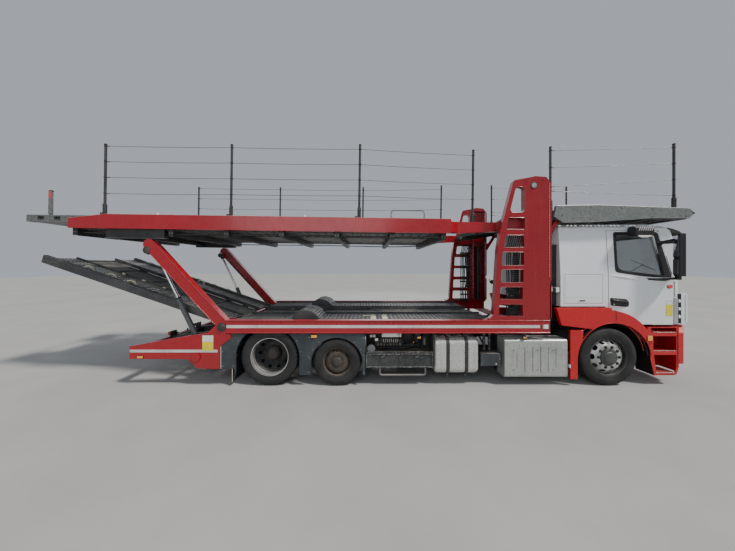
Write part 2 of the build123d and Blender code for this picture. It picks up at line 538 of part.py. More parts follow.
def cab_body(d):
    """The cab's outside, drawn in by d on every face."""
    prof = [(CAB_X0 + d, 1275 + d), (CAB_X0 + d, 2570 - d), (CAB_X0 + 60 + d, CAB_Z1 - 15 - d), (800, CAB_Z1 - d),
            (1040 - 0.7 * d, 2608 - d), (1120 - d, 2530 - 0.5 * d), (1352 - d, 1700), (CAB_X1 - d, 1620),
            (CAB_X1 - d, CAB_Z0 + d), (360, CAB_Z0 + d), (0, 1275 + d)]
    body = side(prof, -CAB_Y, CAB_Y)
    top = [(CAB_X0 - 10, -(CAB_Y - d)), (CAB_X0 - 10, CAB_Y - d), (1120, CAB_Y - d), (1230, CAB_Y - 30 - d),
            (1330 - 0.6 * d, CAB_Y - 130 - d), (1376 - d, 860), (CAB_X1 + 2 - d, 500), (CAB_X1 + 2 - d, -500),
            (1376 - d, -860), (1330 - 0.6 * d, -(CAB_Y - 130 - d)), (1230, -(CAB_Y - 30 - d)), (1120, -(CAB_Y - d))]
    base = Plane(origin=(0, 0, 900), x_dir=(1, 0, 0), z_dir=(0, 0, 1))
    body = body & extrude(base * Polygon(*top, align=None), amount=1900, dir=(0, 0, 1))
    y = CAB_Y - d
    head = [(-y, 900), (-y, 1760), (-(y - 45), 2480), (-(y - 62), 2572 - d), (-(y - 150), CAB_Z1 + 1 - d),
            (y - 150, CAB_Z1 + 1 - d), (y - 62, 2572 - d), (y - 45, 2480), (y, 1760), (y, 900)]
    body = body & front(head, -1000, 1600)
    return body - rod_y(FRONT_X, TYRE_R, ARCH_R + d, -1300, 1300)


def door_outline(g):
    """Door edge, grown by g: rear, top, pillar and foot; the wheel arch cuts its lower rear corner."""
    return [(DOOR_X0 - g, 970 - g), (DOOR_X0 - g, 2528 + g), (905 + g, 2528 + g), (1085 + g, 1800), (DOOR_X1 + g, 1690),
            (DOOR_X1 + g, 970 - g)]


def hatch_outline(g):
    return [(-672 - g, 1330 - g), (-40 + g, 1330 - g), (-40 + g, 1800 + g), (-672 - g, 1800 + g)]


DOOR_WINDOW = [(190, 1868), (190, 2470), (825, 2470), (985, 1768), (700, 1790)]
SCREEN = [(-960, 1765), (-930, 2470), (930, 2470), (960, 1765)]


def make_cab():
    outer, inner = cab_body(0), cab_body(CAB_WALL)
    shell = outer - inner
    cab = shell
    for s in (1, -1):
        y0, y1 = sorted((s * 1000, s * 1300))
        yd, ye = sorted((s * 990, s * 1083))
        yh, yi = sorted((s * 1081, s * 1300))
        # the floor stays whole beside the door foot
        cab = cab - (side(door_outline(GAP + 3), y0, y1) - block(-200, 1300, yd, ye, 900, 1700)) - side(hatch_outline(GAP), yh, yi)
    cab = cab - front(SCREEN, 1000, 1500)
    # the front wall behind the flap stays; the flap is a panel of its own
    cab = cab - block(1340, 1500, -1050, 1050, 985, 1672)
    cab = cab + (cab_body(CAB_WALL - 8) & block(1300, 1344, -1052, 1052, 1000, 1700))
    # white wind deflector round each front corner
    fin = plan([(1262, 1070), (1268, 1134), (1330, 1140), (1374, 1122), (1392, 1086), (1384, 1058), (1345, 1040), (1330, 1005), (1272, 1030)], 990, 1490)
    cab = cab + fin + right(fin)
    doors, glasses, hatches = {}, {}, {}
    for s, name in ((1, "left"), (-1, "right")):
        y0, y1 = sorted((s * 1020, s * 1300))
        yd, ye = sorted((s * 1000, s * 1088))
        door = (shell & side(door_outline(0), y0, y1)) - side(DOOR_WINDOW, y0, y1) - block(-200, 1300, yd, ye, 900, 1700)
        doors[name] = door
        pane = cab_body(26) - cab_body(32)
        win = [(191, 1869), (191, 2469), (824, 2469), (983, 1769), (700, 1791)]
        glasses[name] = pane & side(win, y0, y1)
        yh, yi = sorted((s * 1086, s * 1300))
        hatches[name] = shell & side(hatch_outline(0), yh, yi)
    glass = (cab_body(14) - cab_body(21)) & front([(-959, 1766), (-929, 2469), (929, 2469), (959, 1766)], 1000, 1500)
    flap = (cab_body(2) - cab_body(26)) & block(1342, 1500, -1040, 1040, 990, 1664)
    return cab, doors, glasses, hatches, glass, flap


def make_cab_interior():
    """Seats, bunk, dashboard and steering wheel as one piece on the floor."""
    parts = []
    for s in (1, -1):
        c = s * 640
        seat = block(10, 520, c - 250, c + 250, 1560, 1690)
        seat = seat + side([(-150, 1640), (20, 1640), (-40, 2330), (-150, 2330)], c - 240, c + 240)
        seat = seat + block(100, 400, c - 170, c + 170, 1330, 1565)
        parts.append(seat)
    dash = side([(900, 1330), (900, 1560), (980, 1710), (1180, 1710), (1240, 1560), (1240, 1330)], -1000, 1000)
    col = Pos(900, 640, 1660) * Rot(0, -55, 0) * Cylinder(28, 260)
    ring = Pos(800, 640, 1735) * Rot(0, -30, 0) * Torus(215, 16)
    spokes = Pos(800, 640, 1735) * Rot(0, -30, 0) * Box(34, 420, 18)
    dash = dash + col + ring + spokes
    bunk = block(-660, -250, -1000, 1000, 1345, 1560)
    parts += [dash, bunk]
    return Compound(children=[s for p in parts for s in p.solids()])


def make_mirror(s):
    """Main and wide-angle mirror head on two arms at the door's front edge; the right door has a kerb mirror too."""
    head = Box(90, 172, 670)
    head = fillet(head.edges().filter_by(Axis.Z), 34)
    head = Pos(1010, 1340, 2115) * Rot(0, 0, 25) * fillet(head.edges().group_by(Axis.Z)[-1], 16)
    arms = plan([(862, 1090), (930, 1090), (1010, 1240), (1022, 1330), (990, 1330), (930, 1250)], 2300, 2345)
    arms = arms + plan([(880, 1145), (1060, 1145), (1072, 1270), (1030, 1350), (990, 1340), (930, 1230)], 1722, 1744)
    arms = arms + block(985, 1035, 1290, 1345, 1722, 1800)
    m = head + arms
    if s < 0:
        kerb = fillet(block(330, 620, 1185, 1330, 2420, 2570).edges().filter_by(Axis.X), 40)
        m = m + kerb + block(450, 500, 1085, 1200, 2480, 2515)
    m = m - cab_body(0)
    keep = [x for x in m.solids() if x.volume > 1e5]
    m = Compound(children=keep) if len(keep) > 1 else keep[0]
    return right(m) if s < 0 else m


def make_fenders():
    """Red fender over each front wheel, the panel behind it and the inner liner."""
    f = side([(-852, 1262), (-769, 982), (-100, 900), (600, 705), (760, 705), (745, 1262)], 1165, 1232)
    f = f & (rod_y(FRONT_X, TYRE_R, ARCH_R - 6, 1100, 1300) + block(-900, 40, 1100, 1300, 850, 1264))
    f = f + side([(-632, 118), (-632, 905), (-420, 905), (-490, 118)], 1200, 1236)
    f = f - rod_y(80, 420, 595, 1100, 1300) - block(-515, 675, 1100, 1300, 0, 420)
    liner = rod_y(FRONT_X, TYRE_R, 590, 620, 1205) - rod_y(FRONT_X, TYRE_R, 580, 600, 1300)
    liner = liner - block(-700, 700, 600, 1300, -200, 560)
    return pair(f + liner)


def make_steps():
    """Entry steps in front of each front wheel."""
    s = side([(672, 620), (640, 700), (640, 950), (1150, 950), (1150, 300), (1124, 208), (749, 162), (690, 420)], 1188, 1206)
    s = s - side([(700, 866), (700, 936), (1108, 936), (1108, 866)], 1180, 1210)
    s = s - side([(735, 566), (735, 802), (1108, 802), (1108, 566)], 1180, 1210)
    s = s - side([(786, 212), (742, 498), (1108, 498), (1108, 300), (1090, 214)], 1180, 1210)
    s = s + side([(706, 700), (706, 620), (778, 190), (749, 162), (690, 420), (672, 620), (672, 700)], 900, 1190)
    for x0, x1, z in ((700, 1150, 862), (720, 1150, 562), (745, 1120, 205)):
        s = s + block(x0, x1, 910, 1200, z - 30, z)
    s = s + side([(690, 700), (1150, 950), (1150, 230), (760, 190)], 900, 916) + block(1110, 1130, 900, 1195, 230, 950)
    s = s - (rod_y(FRONT_X, TYRE_R, ARCH_R + 2, 890, 1300) & block(0, 900, 880, 1300, 699, 1300))
    return pair(s)


def make_bumper():
    prof = [(1156, 350), (1380, 350), (1402, 420), (1402, 900), (1385, 955), (1240, 968), (1156, 960)]
    b = side(prof, -1190, 1190)
    top = [(1100, -1190), (1100, 1190), (1240, 1190), (1330, 1120), (1380, 900), (1410, 500), (1410, -500), (1380, -900),
            (1330, -1120), (1240, -1190)]
    base = Plane(origin=(0, 0, 300), x_dir=(1, 0, 0), z_dir=(0, 0, 1))
    b = b & extrude(base * Polygon(*top, align=None), amount=700, dir=(0, 0, 1))
    b = b & front([(-1190, 300), (-1190, 852), (-1070, 970), (1070, 970), (1190, 852), (1190, 300)], 1100, 1500)
    b = b - block(1100, 1260, -1080, 1080, 300, 1000)
    for s in (-1, 1):
        y0, y1 = sorted((s * 640, s * 1020))
        b = b - block(1340, 1500, y0, y1, 560, 740)                       # lamp openings
        b = b + block(1300, 1362, y0 - 5, y1 + 5, 555, 745)
        y0, y1 = sorted((s * 360, s * 440))
        b = b + block(1081, 1300, y0, y1, 640, 830)
    return b


cab, doors, glasses, hatches, glass, flap = make_cab()
NODES = {
    "chassis_frame": make_chassis_frame, "side_frame": make_side_frame, "rear_panels": make_rear_panels,
    "tow_coupling": make_tow_coupling, "mudguards": make_mudguards, "springs": make_springs,
    "front_axle_beam": make_front_axle_beam, "pusher_axle": make_pusher_axle, "drive_axle": make_drive_axle,
    "driveline": make_driveline, "engine_block": make_engine_block, "control_bay": make_control_bay,
    "tool_box": make_tool_box, "fuel_tank": make_fuel_tank, "silencer_box": make_silencer,
    "filter_box": make_filter_box, "air_intake": make_air_intake, "left_side_boxes": make_far_side_boxes, "air_tanks": make_air_tanks,
    "lower_deck": make_lower_deck, "towers": make_towers, "upper_deck_beams": make_upper_deck_beams,
    "upper_deck_tracks": make_upper_deck_tracks, "upper_deck_posts": make_deck_posts,
    "deck_extension": make_deck_extension, "over_cab_deck": make_over_cab_deck,
    "over_cab_posts": make_over_cab_posts, "rear_arms": make_rear_arms, "lift_barrels": make_lift_barrels,
    "lift_rods": make_lift_rods, "rear_platform": make_rear_platform, "cab_interior": make_cab_interior,
    "fenders": make_fenders, "entry_steps": make_steps, "front_bumper": make_bumper,
}
for name, make in NODES.items():
    save(name, make())
save("cab_shell", cab)
save("windscreen", glass)
save("front_flap", flap)
for name, s in (("left", 1), ("right", -1)):
    save("door_" + name, doors[name])
    save("door_glass_" + name, glasses[name])
    save("hatch_" + name, hatches[name])
    save("mirror_" + name, make_mirror(s))
for name, make in (("front_wheel", make_front_wheel), ("pusher_wheel", make_pusher_wheel),
                   ("drive_wheel", make_drive_wheel), ("front_knuckle", make_front_knuckle)):
    one = make()
    save(name + "_left", one)
    save(name + "_right", right(one))
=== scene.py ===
import bpy
import bmesh
import json
import math
import random
from mathutils import Vector, Matrix, geometry

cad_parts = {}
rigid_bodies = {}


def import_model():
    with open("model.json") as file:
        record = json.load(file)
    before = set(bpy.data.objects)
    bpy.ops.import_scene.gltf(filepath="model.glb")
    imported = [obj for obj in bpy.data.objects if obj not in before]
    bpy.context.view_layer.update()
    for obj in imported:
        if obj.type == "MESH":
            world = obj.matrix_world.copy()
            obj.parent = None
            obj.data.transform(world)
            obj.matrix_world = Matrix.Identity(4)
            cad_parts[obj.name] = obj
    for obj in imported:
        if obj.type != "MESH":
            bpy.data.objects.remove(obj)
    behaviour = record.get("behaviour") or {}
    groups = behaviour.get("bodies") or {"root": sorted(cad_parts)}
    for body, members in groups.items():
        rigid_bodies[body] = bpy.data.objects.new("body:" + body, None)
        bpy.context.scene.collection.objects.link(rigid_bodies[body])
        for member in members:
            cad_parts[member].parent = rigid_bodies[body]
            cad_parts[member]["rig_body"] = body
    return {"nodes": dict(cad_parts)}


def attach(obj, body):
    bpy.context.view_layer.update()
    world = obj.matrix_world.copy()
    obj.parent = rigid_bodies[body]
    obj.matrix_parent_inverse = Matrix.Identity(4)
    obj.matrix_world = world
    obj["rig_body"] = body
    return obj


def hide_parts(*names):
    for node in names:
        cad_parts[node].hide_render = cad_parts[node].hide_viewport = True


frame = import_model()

random.seed(11)
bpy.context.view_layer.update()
SHIFT = 4061.465         # front axle to the middle of the truck, mm
FLIP = Matrix.Scale(-1, 4, Vector((0, 1, 0)))

# ---------------------------------------------------------------------------------------------------
# camera, light and floor
# ---------------------------------------------------------------------------------------------------
cam_data = bpy.data.cameras.new("camera")
cam_data.sensor_width = 36.0
cam_data.lens = 13.27
cam_data.shift_x = -0.002
cam_data.shift_y = -0.0129
cam_data.clip_end = 200.0
cam = bpy.data.objects.new("camera", cam_data)
cam.location = (SHIFT / 1000 - 3.878, -5.60, 1.94)
cam.rotation_euler = (math.radians(90), 0, 0)
bpy.context.scene.collection.objects.link(cam)
bpy.context.scene.camera = cam


def lamp(name, kind, loc, aim, energy, size=1.0, color=(1, 1, 1)):
    d = bpy.data.lights.new(name, kind)
    d.energy = energy
    d.color = color
    if kind == "AREA":
        d.shape = "DISK"
        d.size = size
    if kind == "SUN":
        d.angle = size
    o = bpy.data.objects.new(name, d)
    o.location = loc
    o.rotation_euler = (Vector(aim) - Vector(loc)).to_track_quat("-Z", "Y").to_euler()
    bpy.context.scene.collection.objects.link(o)
    return o


lamp("key", "SUN", (7, -3.6, 10), (0, 0, 0), 3.7, math.radians(7), (1.0, 0.965, 0.91))
lamp("near_fill", "AREA", (-3.0, -13.0, 6.0), (0, 0, 1.2), 420, 10.0, (0.94, 0.97, 1.0))
lamp("far_fill", "AREA", (2.0, 13.0, 7.0), (0, 0, 1.2), 260, 9.0, (0.93, 0.96, 1.0))

world = bpy.data.worlds.new("world")
bpy.context.scene.world = world
world.use_nodes = True
bg = world.node_tree.nodes["Background"]
bg.inputs["Color"].default_value = (0.74, 0.80, 0.88, 1)
bg.inputs["Strength"].default_value = 0.55


# ---------------------------------------------------------------------------------------------------
# materials
# ---------------------------------------------------------------------------------------------------
class Tree:
    """A small helper for building a node tree."""

    def __init__(self, name):
        self.mat = bpy.data.materials.new(name)
        self.mat.use_nodes = True
        self.t = self.mat.node_tree
        self.bsdf = self.t.nodes["Principled BSDF"]
        self.co = self.node("ShaderNodeTexCoord").outputs["Object"]

    def node(self, kind, **values):
        n = self.t.nodes.new(kind)
        for k, v in values.items():
            setattr(n, k, v)
        return n

    def link(self, a, b):
        self.t.links.new(a, b)

    def mapped(self, scale, loc=(0, 0, 0)):
        m = self.node("ShaderNodeMapping")
        m.inputs["Scale"].default_value = scale
        m.inputs["Location"].default_value = loc
        self.link(self.co, m.inputs["Vector"])
        return m.outputs["Vector"]

    def noise(self, scale, detail=6.0, rough=0.6, vec=None, distortion=0.0):
        n = self.node("ShaderNodeTexNoise")
        n.inputs["Scale"].default_value = scale
        n.inputs["Detail"].default_value = detail
        n.inputs["Roughness"].default_value = rough
        n.inputs["Distortion"].default_value = distortion
        self.link(vec if vec is not None else self.co, n.inputs["Vector"])
        return n.outputs["Fac"]

    def ramp(self, fac, lo, hi, out_lo=0.0, out_hi=1.0, smooth=True):
        n = self.node("ShaderNodeMapRange", clamp=True)
        n.interpolation_type = "SMOOTHSTEP" if smooth else "LINEAR"
        n.inputs["From Min"].default_value = lo
        n.inputs["From Max"].default_value = hi
        n.inputs["To Min"].default_value = out_lo
        n.inputs["To Max"].default_value = out_hi
        self.link(fac, n.inputs["Value"])
        return n.outputs["Result"]

    def math(self, op, a, b=None, clamp=False):
        n = self.node("ShaderNodeMath", operation=op, use_clamp=clamp)
        for i, v in enumerate((a, b)):
            if v is None:
                continue
            if isinstance(v, (int, float)):
                n.inputs[i].default_value = v
            else:
                self.link(v, n.inputs[i])
        return n.outputs[0]

    def mix(self, fac, a, b):
        n = self.node("ShaderNodeMix", data_type="RGBA")
        for i, v in ((0, fac), (6, a), (7, b)):
            if isinstance(v, (int, float)):
                n.inputs[i].default_value = v
            elif isinstance(v, (tuple, list)):
                n.inputs[i].default_value = (*v[:3], 1)
            else:
                self.link(v, n.inputs[i])
        return n.outputs[2]

    def sep(self, vec):
        n = self.node("ShaderNodeSeparateXYZ")
        self.link(vec, n.inputs[0])
        return n.outputs

    def up(self, lo=0.35, hi=0.95):
        g = self.node("ShaderNodeNewGeometry")
        return self.ramp(self.sep(g.outputs["Normal"])[2], lo, hi)

    def pointy(self, lo, hi):
        g = self.node("ShaderNodeNewGeometry")
        return self.ramp(g.outputs["Pointiness"], lo, hi)

    def bump(self, height, strength, distance=0.002, chain=None):
        n = self.node("ShaderNodeBump")
        n.inputs["Strength"].default_value = strength
        n.inputs["Distance"].default_value = distance
        self.link(height, n.inputs["Height"])
        if chain is not None:
            self.link(chain, n.inputs["Normal"])
        return n.outputs["Normal"]

    def color(self, v):
        self.link(v, self.bsdf.inputs["Base Color"])

    def rough(self, v):
        self.link(v, self.bsdf.inputs["Roughness"])

    def normal(self, v):
        self.link(v, self.bsdf.inputs["Normal"])


DUST = (0.30, 0.265, 0.215)


def painted(name, col, deep=None, dust=0.22, streaks=0.12, low=0.9, base_rough=0.28, coat=0.35, metal=0.0,
            chips=0.0, chip_col=(0.07, 0.05, 0.045), orange=0.05):
    """Sprayed paint: fine tone drift, rain streaks, road dust that gathers low down and on upward faces, worn edges."""
    t = Tree(name)
    deep = deep or tuple(c * 0.72 for c in col)
    big = t.ramp(t.noise(0.9, 5, 0.6), 0.35, 0.68)
    c = t.mix(t.math("MULTIPLY", big, 0.55), col, deep)
    fine = t.noise(38, 8, 0.7)
    c = t.mix(t.ramp(fine, 0.52, 0.8, 0, 0.18), c, tuple(x * 0.55 for x in col))
    run = t.ramp(t.noise(1.0, 6, 0.65, t.mapped((16, 16, 0.9))), 0.52, 0.78, 0, streaks)
    c = t.mix(run, c, tuple(0.55 * x + 0.12 for x in DUST))
    z = t.sep(t.co)[2]
    height = t.ramp(z, low + 0.35, low - 0.75, 0, 1)
    cloud = t.ramp(t.noise(3.2, 7, 0.7), 0.3, 0.75)
    speck = t.ramp(t.noise(150, 3, 0.6), 0.55, 0.78)
    d = t.math("MULTIPLY", t.math("ADD", t.math("MULTIPLY", height, 0.9), t.math("MULTIPLY", t.up(), 0.7)), cloud)
    d = t.math("ADD", t.math("MULTIPLY", d, dust * 1.6), t.math("MULTIPLY", speck, dust * 0.28), True)
    c = t.mix(d, c, DUST)
    if chips:
        edge = t.pointy(0.56, 0.68)
        brk = t.ramp(t.noise(24, 8, 0.75), 0.56, 0.70)
        e = t.math("MULTIPLY", t.math("MULTIPLY", edge, brk), chips)
        c = t.mix(e, c, chip_col)
    t.color(c)
    t.bsdf.inputs["Metallic"].default_value = metal
    t.bsdf.inputs["Coat Weight"].default_value = coat
    t.bsdf.inputs["Coat Roughness"].default_value = 0.12
    r = t.math("ADD", t.math("MULTIPLY", d, 0.45), t.math("MULTIPLY", run, 0.5))
    t.rough(t.math("ADD", r, t.ramp(t.noise(7, 5, 0.6), 0.3, 0.7, base_rough - 0.05, base_rough + 0.08), True))
    t.normal(t.bump(t.noise(260, 2, 0.5), orange, 0.0006, t.bump(t.noise(2.4, 3, 0.5), 0.12, 0.004)))
    return t.mat


def zinc(name, base=(0.40, 0.42, 0.41), dark=(0.22, 0.235, 0.235), pale=(0.56, 0.58, 0.56), rough=0.46, metal=0.85, grime=0.5):
    """Galvanised or bare sheet metal with the mottled crystal spangle and dull stains."""
    t = Tree(name)
    v = t.node("ShaderNodeTexVoronoi", feature="F1", distance="EUCLIDEAN")
    v.inputs["Scale"].default_value = 64
    v.inputs["Randomness"].default_value = 1.0
    t.link(t.co, v.inputs["Vector"])
    cell = t.sep(v.outputs["Color"])[0]
    c = t.mix(t.ramp(cell, 0.1, 0.9), dark, base)
    c = t.mix(t.ramp(t.noise(30, 9, 0.75), 0.42, 0.70, 0, 0.6), c, pale)
    stain = t.ramp(t.noise(3.0, 9, 0.72), 0.45, 0.72, 0, grime)
    c = t.mix(stain, c, (0.12, 0.125, 0.115))
    run = t.ramp(t.noise(1.0, 6, 0.6, t.mapped((22, 22, 1.2))), 0.5, 0.78, 0, 0.3)
    c = t.mix(run, c, (0.16, 0.155, 0.13))
    t.color(c)
    t.bsdf.inputs["Metallic"].default_value = metal
    t.rough(t.math("ADD", t.ramp(cell, 0, 1, rough - 0.10, rough + 0.10), t.math("MULTIPLY", stain, 0.3), True))
    t.normal(t.bump(t.noise(90, 6, 0.7), 0.12, 0.0015))
    return t.mat


def dark_metal(name, col=(0.030, 0.031, 0.034), dust=0.30, rough=0.46, metal=0.0, rust=0.0, wear=0.35, wear_col=(0.30, 0.29, 0.28)):
    """Dull black or grey painted steel: dust, scuffs and bare edges."""
    t = Tree(name)
    c = t.mix(t.ramp(t.noise(2.2, 7, 0.65), 0.3, 0.7), col, tuple(x * 1.9 + 0.006 for x in col))
    scuff = t.ramp(t.noise(1.0, 7, 0.7, t.mapped((3, 20, 20))), 0.60, 0.80, 0, wear * 0.4)
    c = t.mix(scuff, c, wear_col)
    d = t.math("MULTIPLY", t.math("ADD", t.math("MULTIPLY", t.up(), 0.9), 0.22), t.ramp(t.noise(4.5, 8, 0.75), 0.32, 0.72))
    d = t.math("MULTIPLY", d, dust * 1.5, True)
    c = t.mix(d, c, DUST)
    if rust:
        r = t.ramp(t.noise(9, 9, 0.8), 0.55, 0.68, 0, rust)
        c = t.mix(r, c, t.mix(t.noise(40, 5, 0.7), (0.16, 0.055, 0.022), (0.07, 0.028, 0.016)))
    if wear:
        e = t.math("MULTIPLY", t.pointy(0.56, 0.68), t.ramp(t.noise(22, 6, 0.7), 0.46, 0.66))
        c = t.mix(t.math("MULTIPLY", e, wear), c, wear_col)
    t.color(c)
    t.bsdf.inputs["Metallic"].default_value = metal
    t.rough(t.math("ADD", t.ramp(t.noise(12, 6, 0.7), 0.3, 0.7, rough - 0.08, rough + 0.10), t.math("MULTIPLY", d, 0.35), True))
    t.normal(t.bump(t.noise(120, 5, 0.6), 0.10, 0.0012, t.bump(t.noise(6, 5, 0.6), 0.10, 0.003)))
    return t.mat


def rubber(name, col=(0.013, 0.013, 0.014), dust=0.5, rough=0.72):
    t = Tree(name)
    c = t.mix(t.ramp(t.noise(5, 6, 0.6), 0.3, 0.7), col, tuple(x * 1.7 + 0.004 for x in col))
    d = t.math("MULTIPLY", t.ramp(t.noise(7, 8, 0.75), 0.38, 0.74), dust)
    speck = t.ramp(t.noise(110, 4, 0.7), 0.55, 0.75, 0, dust * 0.4)
    d = t.math("ADD", d, speck, True)
    c = t.mix(t.math("MULTIPLY", d, 0.75), c, (0.115, 0.105, 0.09))
    t.color(c)
    t.rough(t.math("ADD", t.math("MULTIPLY", d, 0.15), t.ramp(t.noise(20, 5, 0.6), 0.3, 0.7, rough - 0.07, rough + 0.05), True))
    t.normal(t.bump(t.noise(220, 4, 0.6), 0.12, 0.001))
    return t.mat


def plastic(name, col, rough=0.5, dust=0.18, grain=0.18, emit=0.0):
    t = Tree(name)
    c = t.mix(t.ramp(t.noise(3, 6, 0.6), 0.3, 0.7), col, tuple(x * 0.78 for x in col))
    d = t.math("MULTIPLY", t.ramp(t.noise(6, 8, 0.75), 0.4, 0.78), t.math("ADD", t.math("MULTIPLY", t.up(), 0.8), 0.35))
    d = t.math("MULTIPLY", d, dust * 1.6, True)
    c = t.mix(d, c, DUST)
    t.color(c)
    t.rough(t.math("ADD", t.math("MULTIPLY", d, 0.4), t.ramp(t.noise(24, 4, 0.6), 0.3, 0.7, rough - 0.06, rough + 0.06), True))
    t.normal(t.bump(t.noise(340, 3, 0.6), grain, 0.0008))
    return t.mat


def lens(name, col, rough=0.12):
    """Moulded lamp lens with fine vertical flutes."""
    t = Tree(name)
    w = t.node("ShaderNodeTexWave", wave_type="BANDS", bands_direction="X")
    w.inputs["Scale"].default_value = 55
    w.inputs["Distortion"].default_value = 0.3
    t.link(t.co, w.inputs["Vector"])
    c = t.mix(t.ramp(w.outputs["Fac"], 0.2, 0.9, 0, 0.5), col, tuple(min(1, x * 1.6 + 0.05) for x in col))
    c = t.mix(t.ramp(t.noise(30, 6, 0.7), 0.5, 0.8, 0, 0.25), c, tuple(x * 0.35 for x in col))
    t.color(c)
    t.rough(t.ramp(t.noise(14, 5, 0.6), 0.3, 0.7, rough, rough + 0.12))
    t.bsdf.inputs["Coat Weight"].default_value = 0.8
    t.bsdf.inputs["Coat Roughness"].default_value = 0.05
    t.normal(t.bump(w.outputs["Fac"], 0.35, 0.001))
    return t.mat


def window_glass(name, col=(0.30, 0.37, 0.34), alpha=0.35):
    t = Tree(name)
    c = t.mix(t.ramp(t.noise(5, 7, 0.7), 0.4, 0.75, 0, 0.35), col, tuple(x * 0.7 for x in col))
    film = t.ramp(t.noise(9, 8, 0.75), 0.45, 0.8, 0, 0.16)
    c = t.mix(film, c, (0.5, 0.47, 0.40))
    t.color(c)
    t.rough(t.math("ADD", t.math("MULTIPLY", film, 0.8), 0.03, True))
    t.bsdf.inputs["Alpha"].default_value = alpha
    t.bsdf.inputs["Coat Weight"].default_value = 1.0
    t.bsdf.inputs["Coat Roughness"].default_value = 0.03
    t.bsdf.inputs["IOR"].default_value = 1.5
    t.mat.surface_render_method = "BLENDED"
    return t.mat


def fabric(name, col, scale=700):
    t = Tree(name)
    w1 = t.node("ShaderNodeTexWave", wave_type="BANDS", bands_direction="DIAGONAL")
    w1.inputs["Scale"].default_value = scale / 6
    w1.inputs["Distortion"].default_value = 1.5
    t.link(t.co, w1.inputs["Vector"])
    c = t.mix(t.ramp(w1.outputs["Fac"], 0.2, 0.8), col, tuple(x * 1.6 + 0.01 for x in col))
    c = t.mix(t.ramp(t.noise(12, 6, 0.7), 0.4, 0.7, 0, 0.5), c, tuple(x * 0.6 for x in col))
    t.color(c)
    t.rough(t.ramp(t.noise(60, 4, 0.6), 0.3, 0.7, 0.82, 0.95))
    t.bsdf.inputs["Sheen Weight"].default_value = 0.35
    t.normal(t.bump(t.math("ADD", w1.outputs["Fac"], t.noise(scale, 3, 0.6)), 0.35, 0.0012))
    return t.mat


def tread_plate(name):
    """Black-painted checker plate: raised lozenges, worn bright on their tops and on the edges of the sheet."""
    t = Tree(name)
    m = t.mapped((26, 26, 26))
    x, y, z = t.sep(m)
    a = t.math("ADD", x, z)
    b = t.math("SUBTRACT", x, z)
    def bars(u, v):
        p = t.math("ABSOLUTE", t.math("SUBTRACT", t.math("FRACT", u), 0.5))
        q = t.math("ABSOLUTE", t.math("SUBTRACT", t.math("FRACT", v), 0.5))
        return t.math("MULTIPLY", t.ramp(p, 0.17, 0.09), t.ramp(q, 0.45, 0.34))
    h = t.math("MAXIMUM", bars(a, t.math("MULTIPLY", b, 0.5)), bars(b, t.math("ADD", t.math("MULTIPLY", a, 0.5), 0.5)))
    c = t.mix(t.ramp(t.noise(3, 7, 0.7), 0.3, 0.7), (0.022, 0.024, 0.026), (0.05, 0.052, 0.055))
    c = t.mix(t.math("MULTIPLY", h, t.ramp(t.noise(6, 8, 0.75), 0.35, 0.65, 0.02, 0.35)), c, (0.10, 0.10, 0.098))
    edge = t.math("MULTIPLY", t.pointy(0.60, 0.72), t.ramp(t.noise(18, 8, 0.75), 0.46, 0.62))
    c = t.mix(t.math("MULTIPLY", edge, 0.95), c, (0.55, 0.54, 0.50))
    d = t.ramp(t.noise(4, 8, 0.75), 0.45, 0.75, 0, 0.35)
    c = t.mix(d, c, (0.16, 0.15, 0.13))
    t.color(c)
    t.bsdf.inputs["Metallic"].default_value = 0.35
    t.rough(t.math("ADD", t.math("MULTIPLY", d, 0.5), t.ramp(h, 0, 1, 0.5, 0.36), True))
    t.normal(t.bump(h, 0.8, 0.003, t.bump(t.noise(60, 5, 0.6), 0.1, 0.001)))
    return t.mat


MATS = {}
MATS["red"] = painted("red_paint", (0.34, 0.003, 0.010), (0.25, 0.002, 0.007), dust=0.07, streaks=0.05, low=0.5, chips=0.5)
MATS["red_cab"] = painted("red_cab_paint", (0.52, 0.003, 0.007), (0.41, 0.002, 0.005), dust=0.04, streaks=0.03, low=0.5, base_rough=0.25, coat=0.35)
# towers: the red is darkened as painted shade, for the towers' sides in shade
MATS["red_tower_shaded"] = painted("tower_red_painted_shade", (0.27, 0.002, 0.008), (0.20, 0.0015, 0.006), dust=0.06, streaks=0.06, low=0.5, chips=0.8)
# inside the entry steps: red darkened as painted shade for the shaded step box
MATS["red_step_shaded"] = painted("step_red_painted_shade", (0.34, 0.002, 0.006), (0.26, 0.0015, 0.004), dust=0.05, streaks=0.05, low=0.5, chips=0.5)
# wheel rims, discs and nuts: near-black, partly dark steel and partly painted shade for the wheels in the body's shadow
MATS["hub_dark_shaded"] = dark_metal("shaded_hub", (0.011, 0.011, 0.012), dust=0.12, rough=0.6, wear=0.1)
MATS["barrel"] = dark_metal("rim_barrel", (0.075, 0.078, 0.080), dust=0.3, rough=0.5, metal=0.4, wear=0.1)
MATS["hub_grey"] = dark_metal("hub_cap_steel", (0.050, 0.056, 0.055), dust=0.25, rough=0.45, metal=0.5, rust=0.1, wear=0.4)
MATS["white"] = painted("white_cab_paint", (0.74, 0.775, 0.79), (0.66, 0.70, 0.725), dust=0.10, streaks=0.08, low=1.0, base_rough=0.2, coat=0.6, orange=0.03)
MATS["black"] = dark_metal("black_steel", (0.010, 0.010, 0.0115), dust=0.10, wear=0.3)
MATS["deck"] = dark_metal("deck_steel", (0.030, 0.032, 0.034), dust=0.26, rough=0.52, metal=0.25, wear=0.40, wear_col=(0.22, 0.22, 0.215), rust=0.12)
MATS["deck_mid"] = dark_metal("lower_track_steel", (0.048, 0.051, 0.052), dust=0.22, rough=0.48, metal=0.45, wear=0.5, wear_col=(0.34, 0.34, 0.33), rust=0.15)
MATS["deck_worn"] = dark_metal("worn_track_steel", (0.19, 0.195, 0.195), dust=0.30, rough=0.42, metal=0.6, wear=0.5, wear_col=(0.5, 0.5, 0.48), rust=0.12)
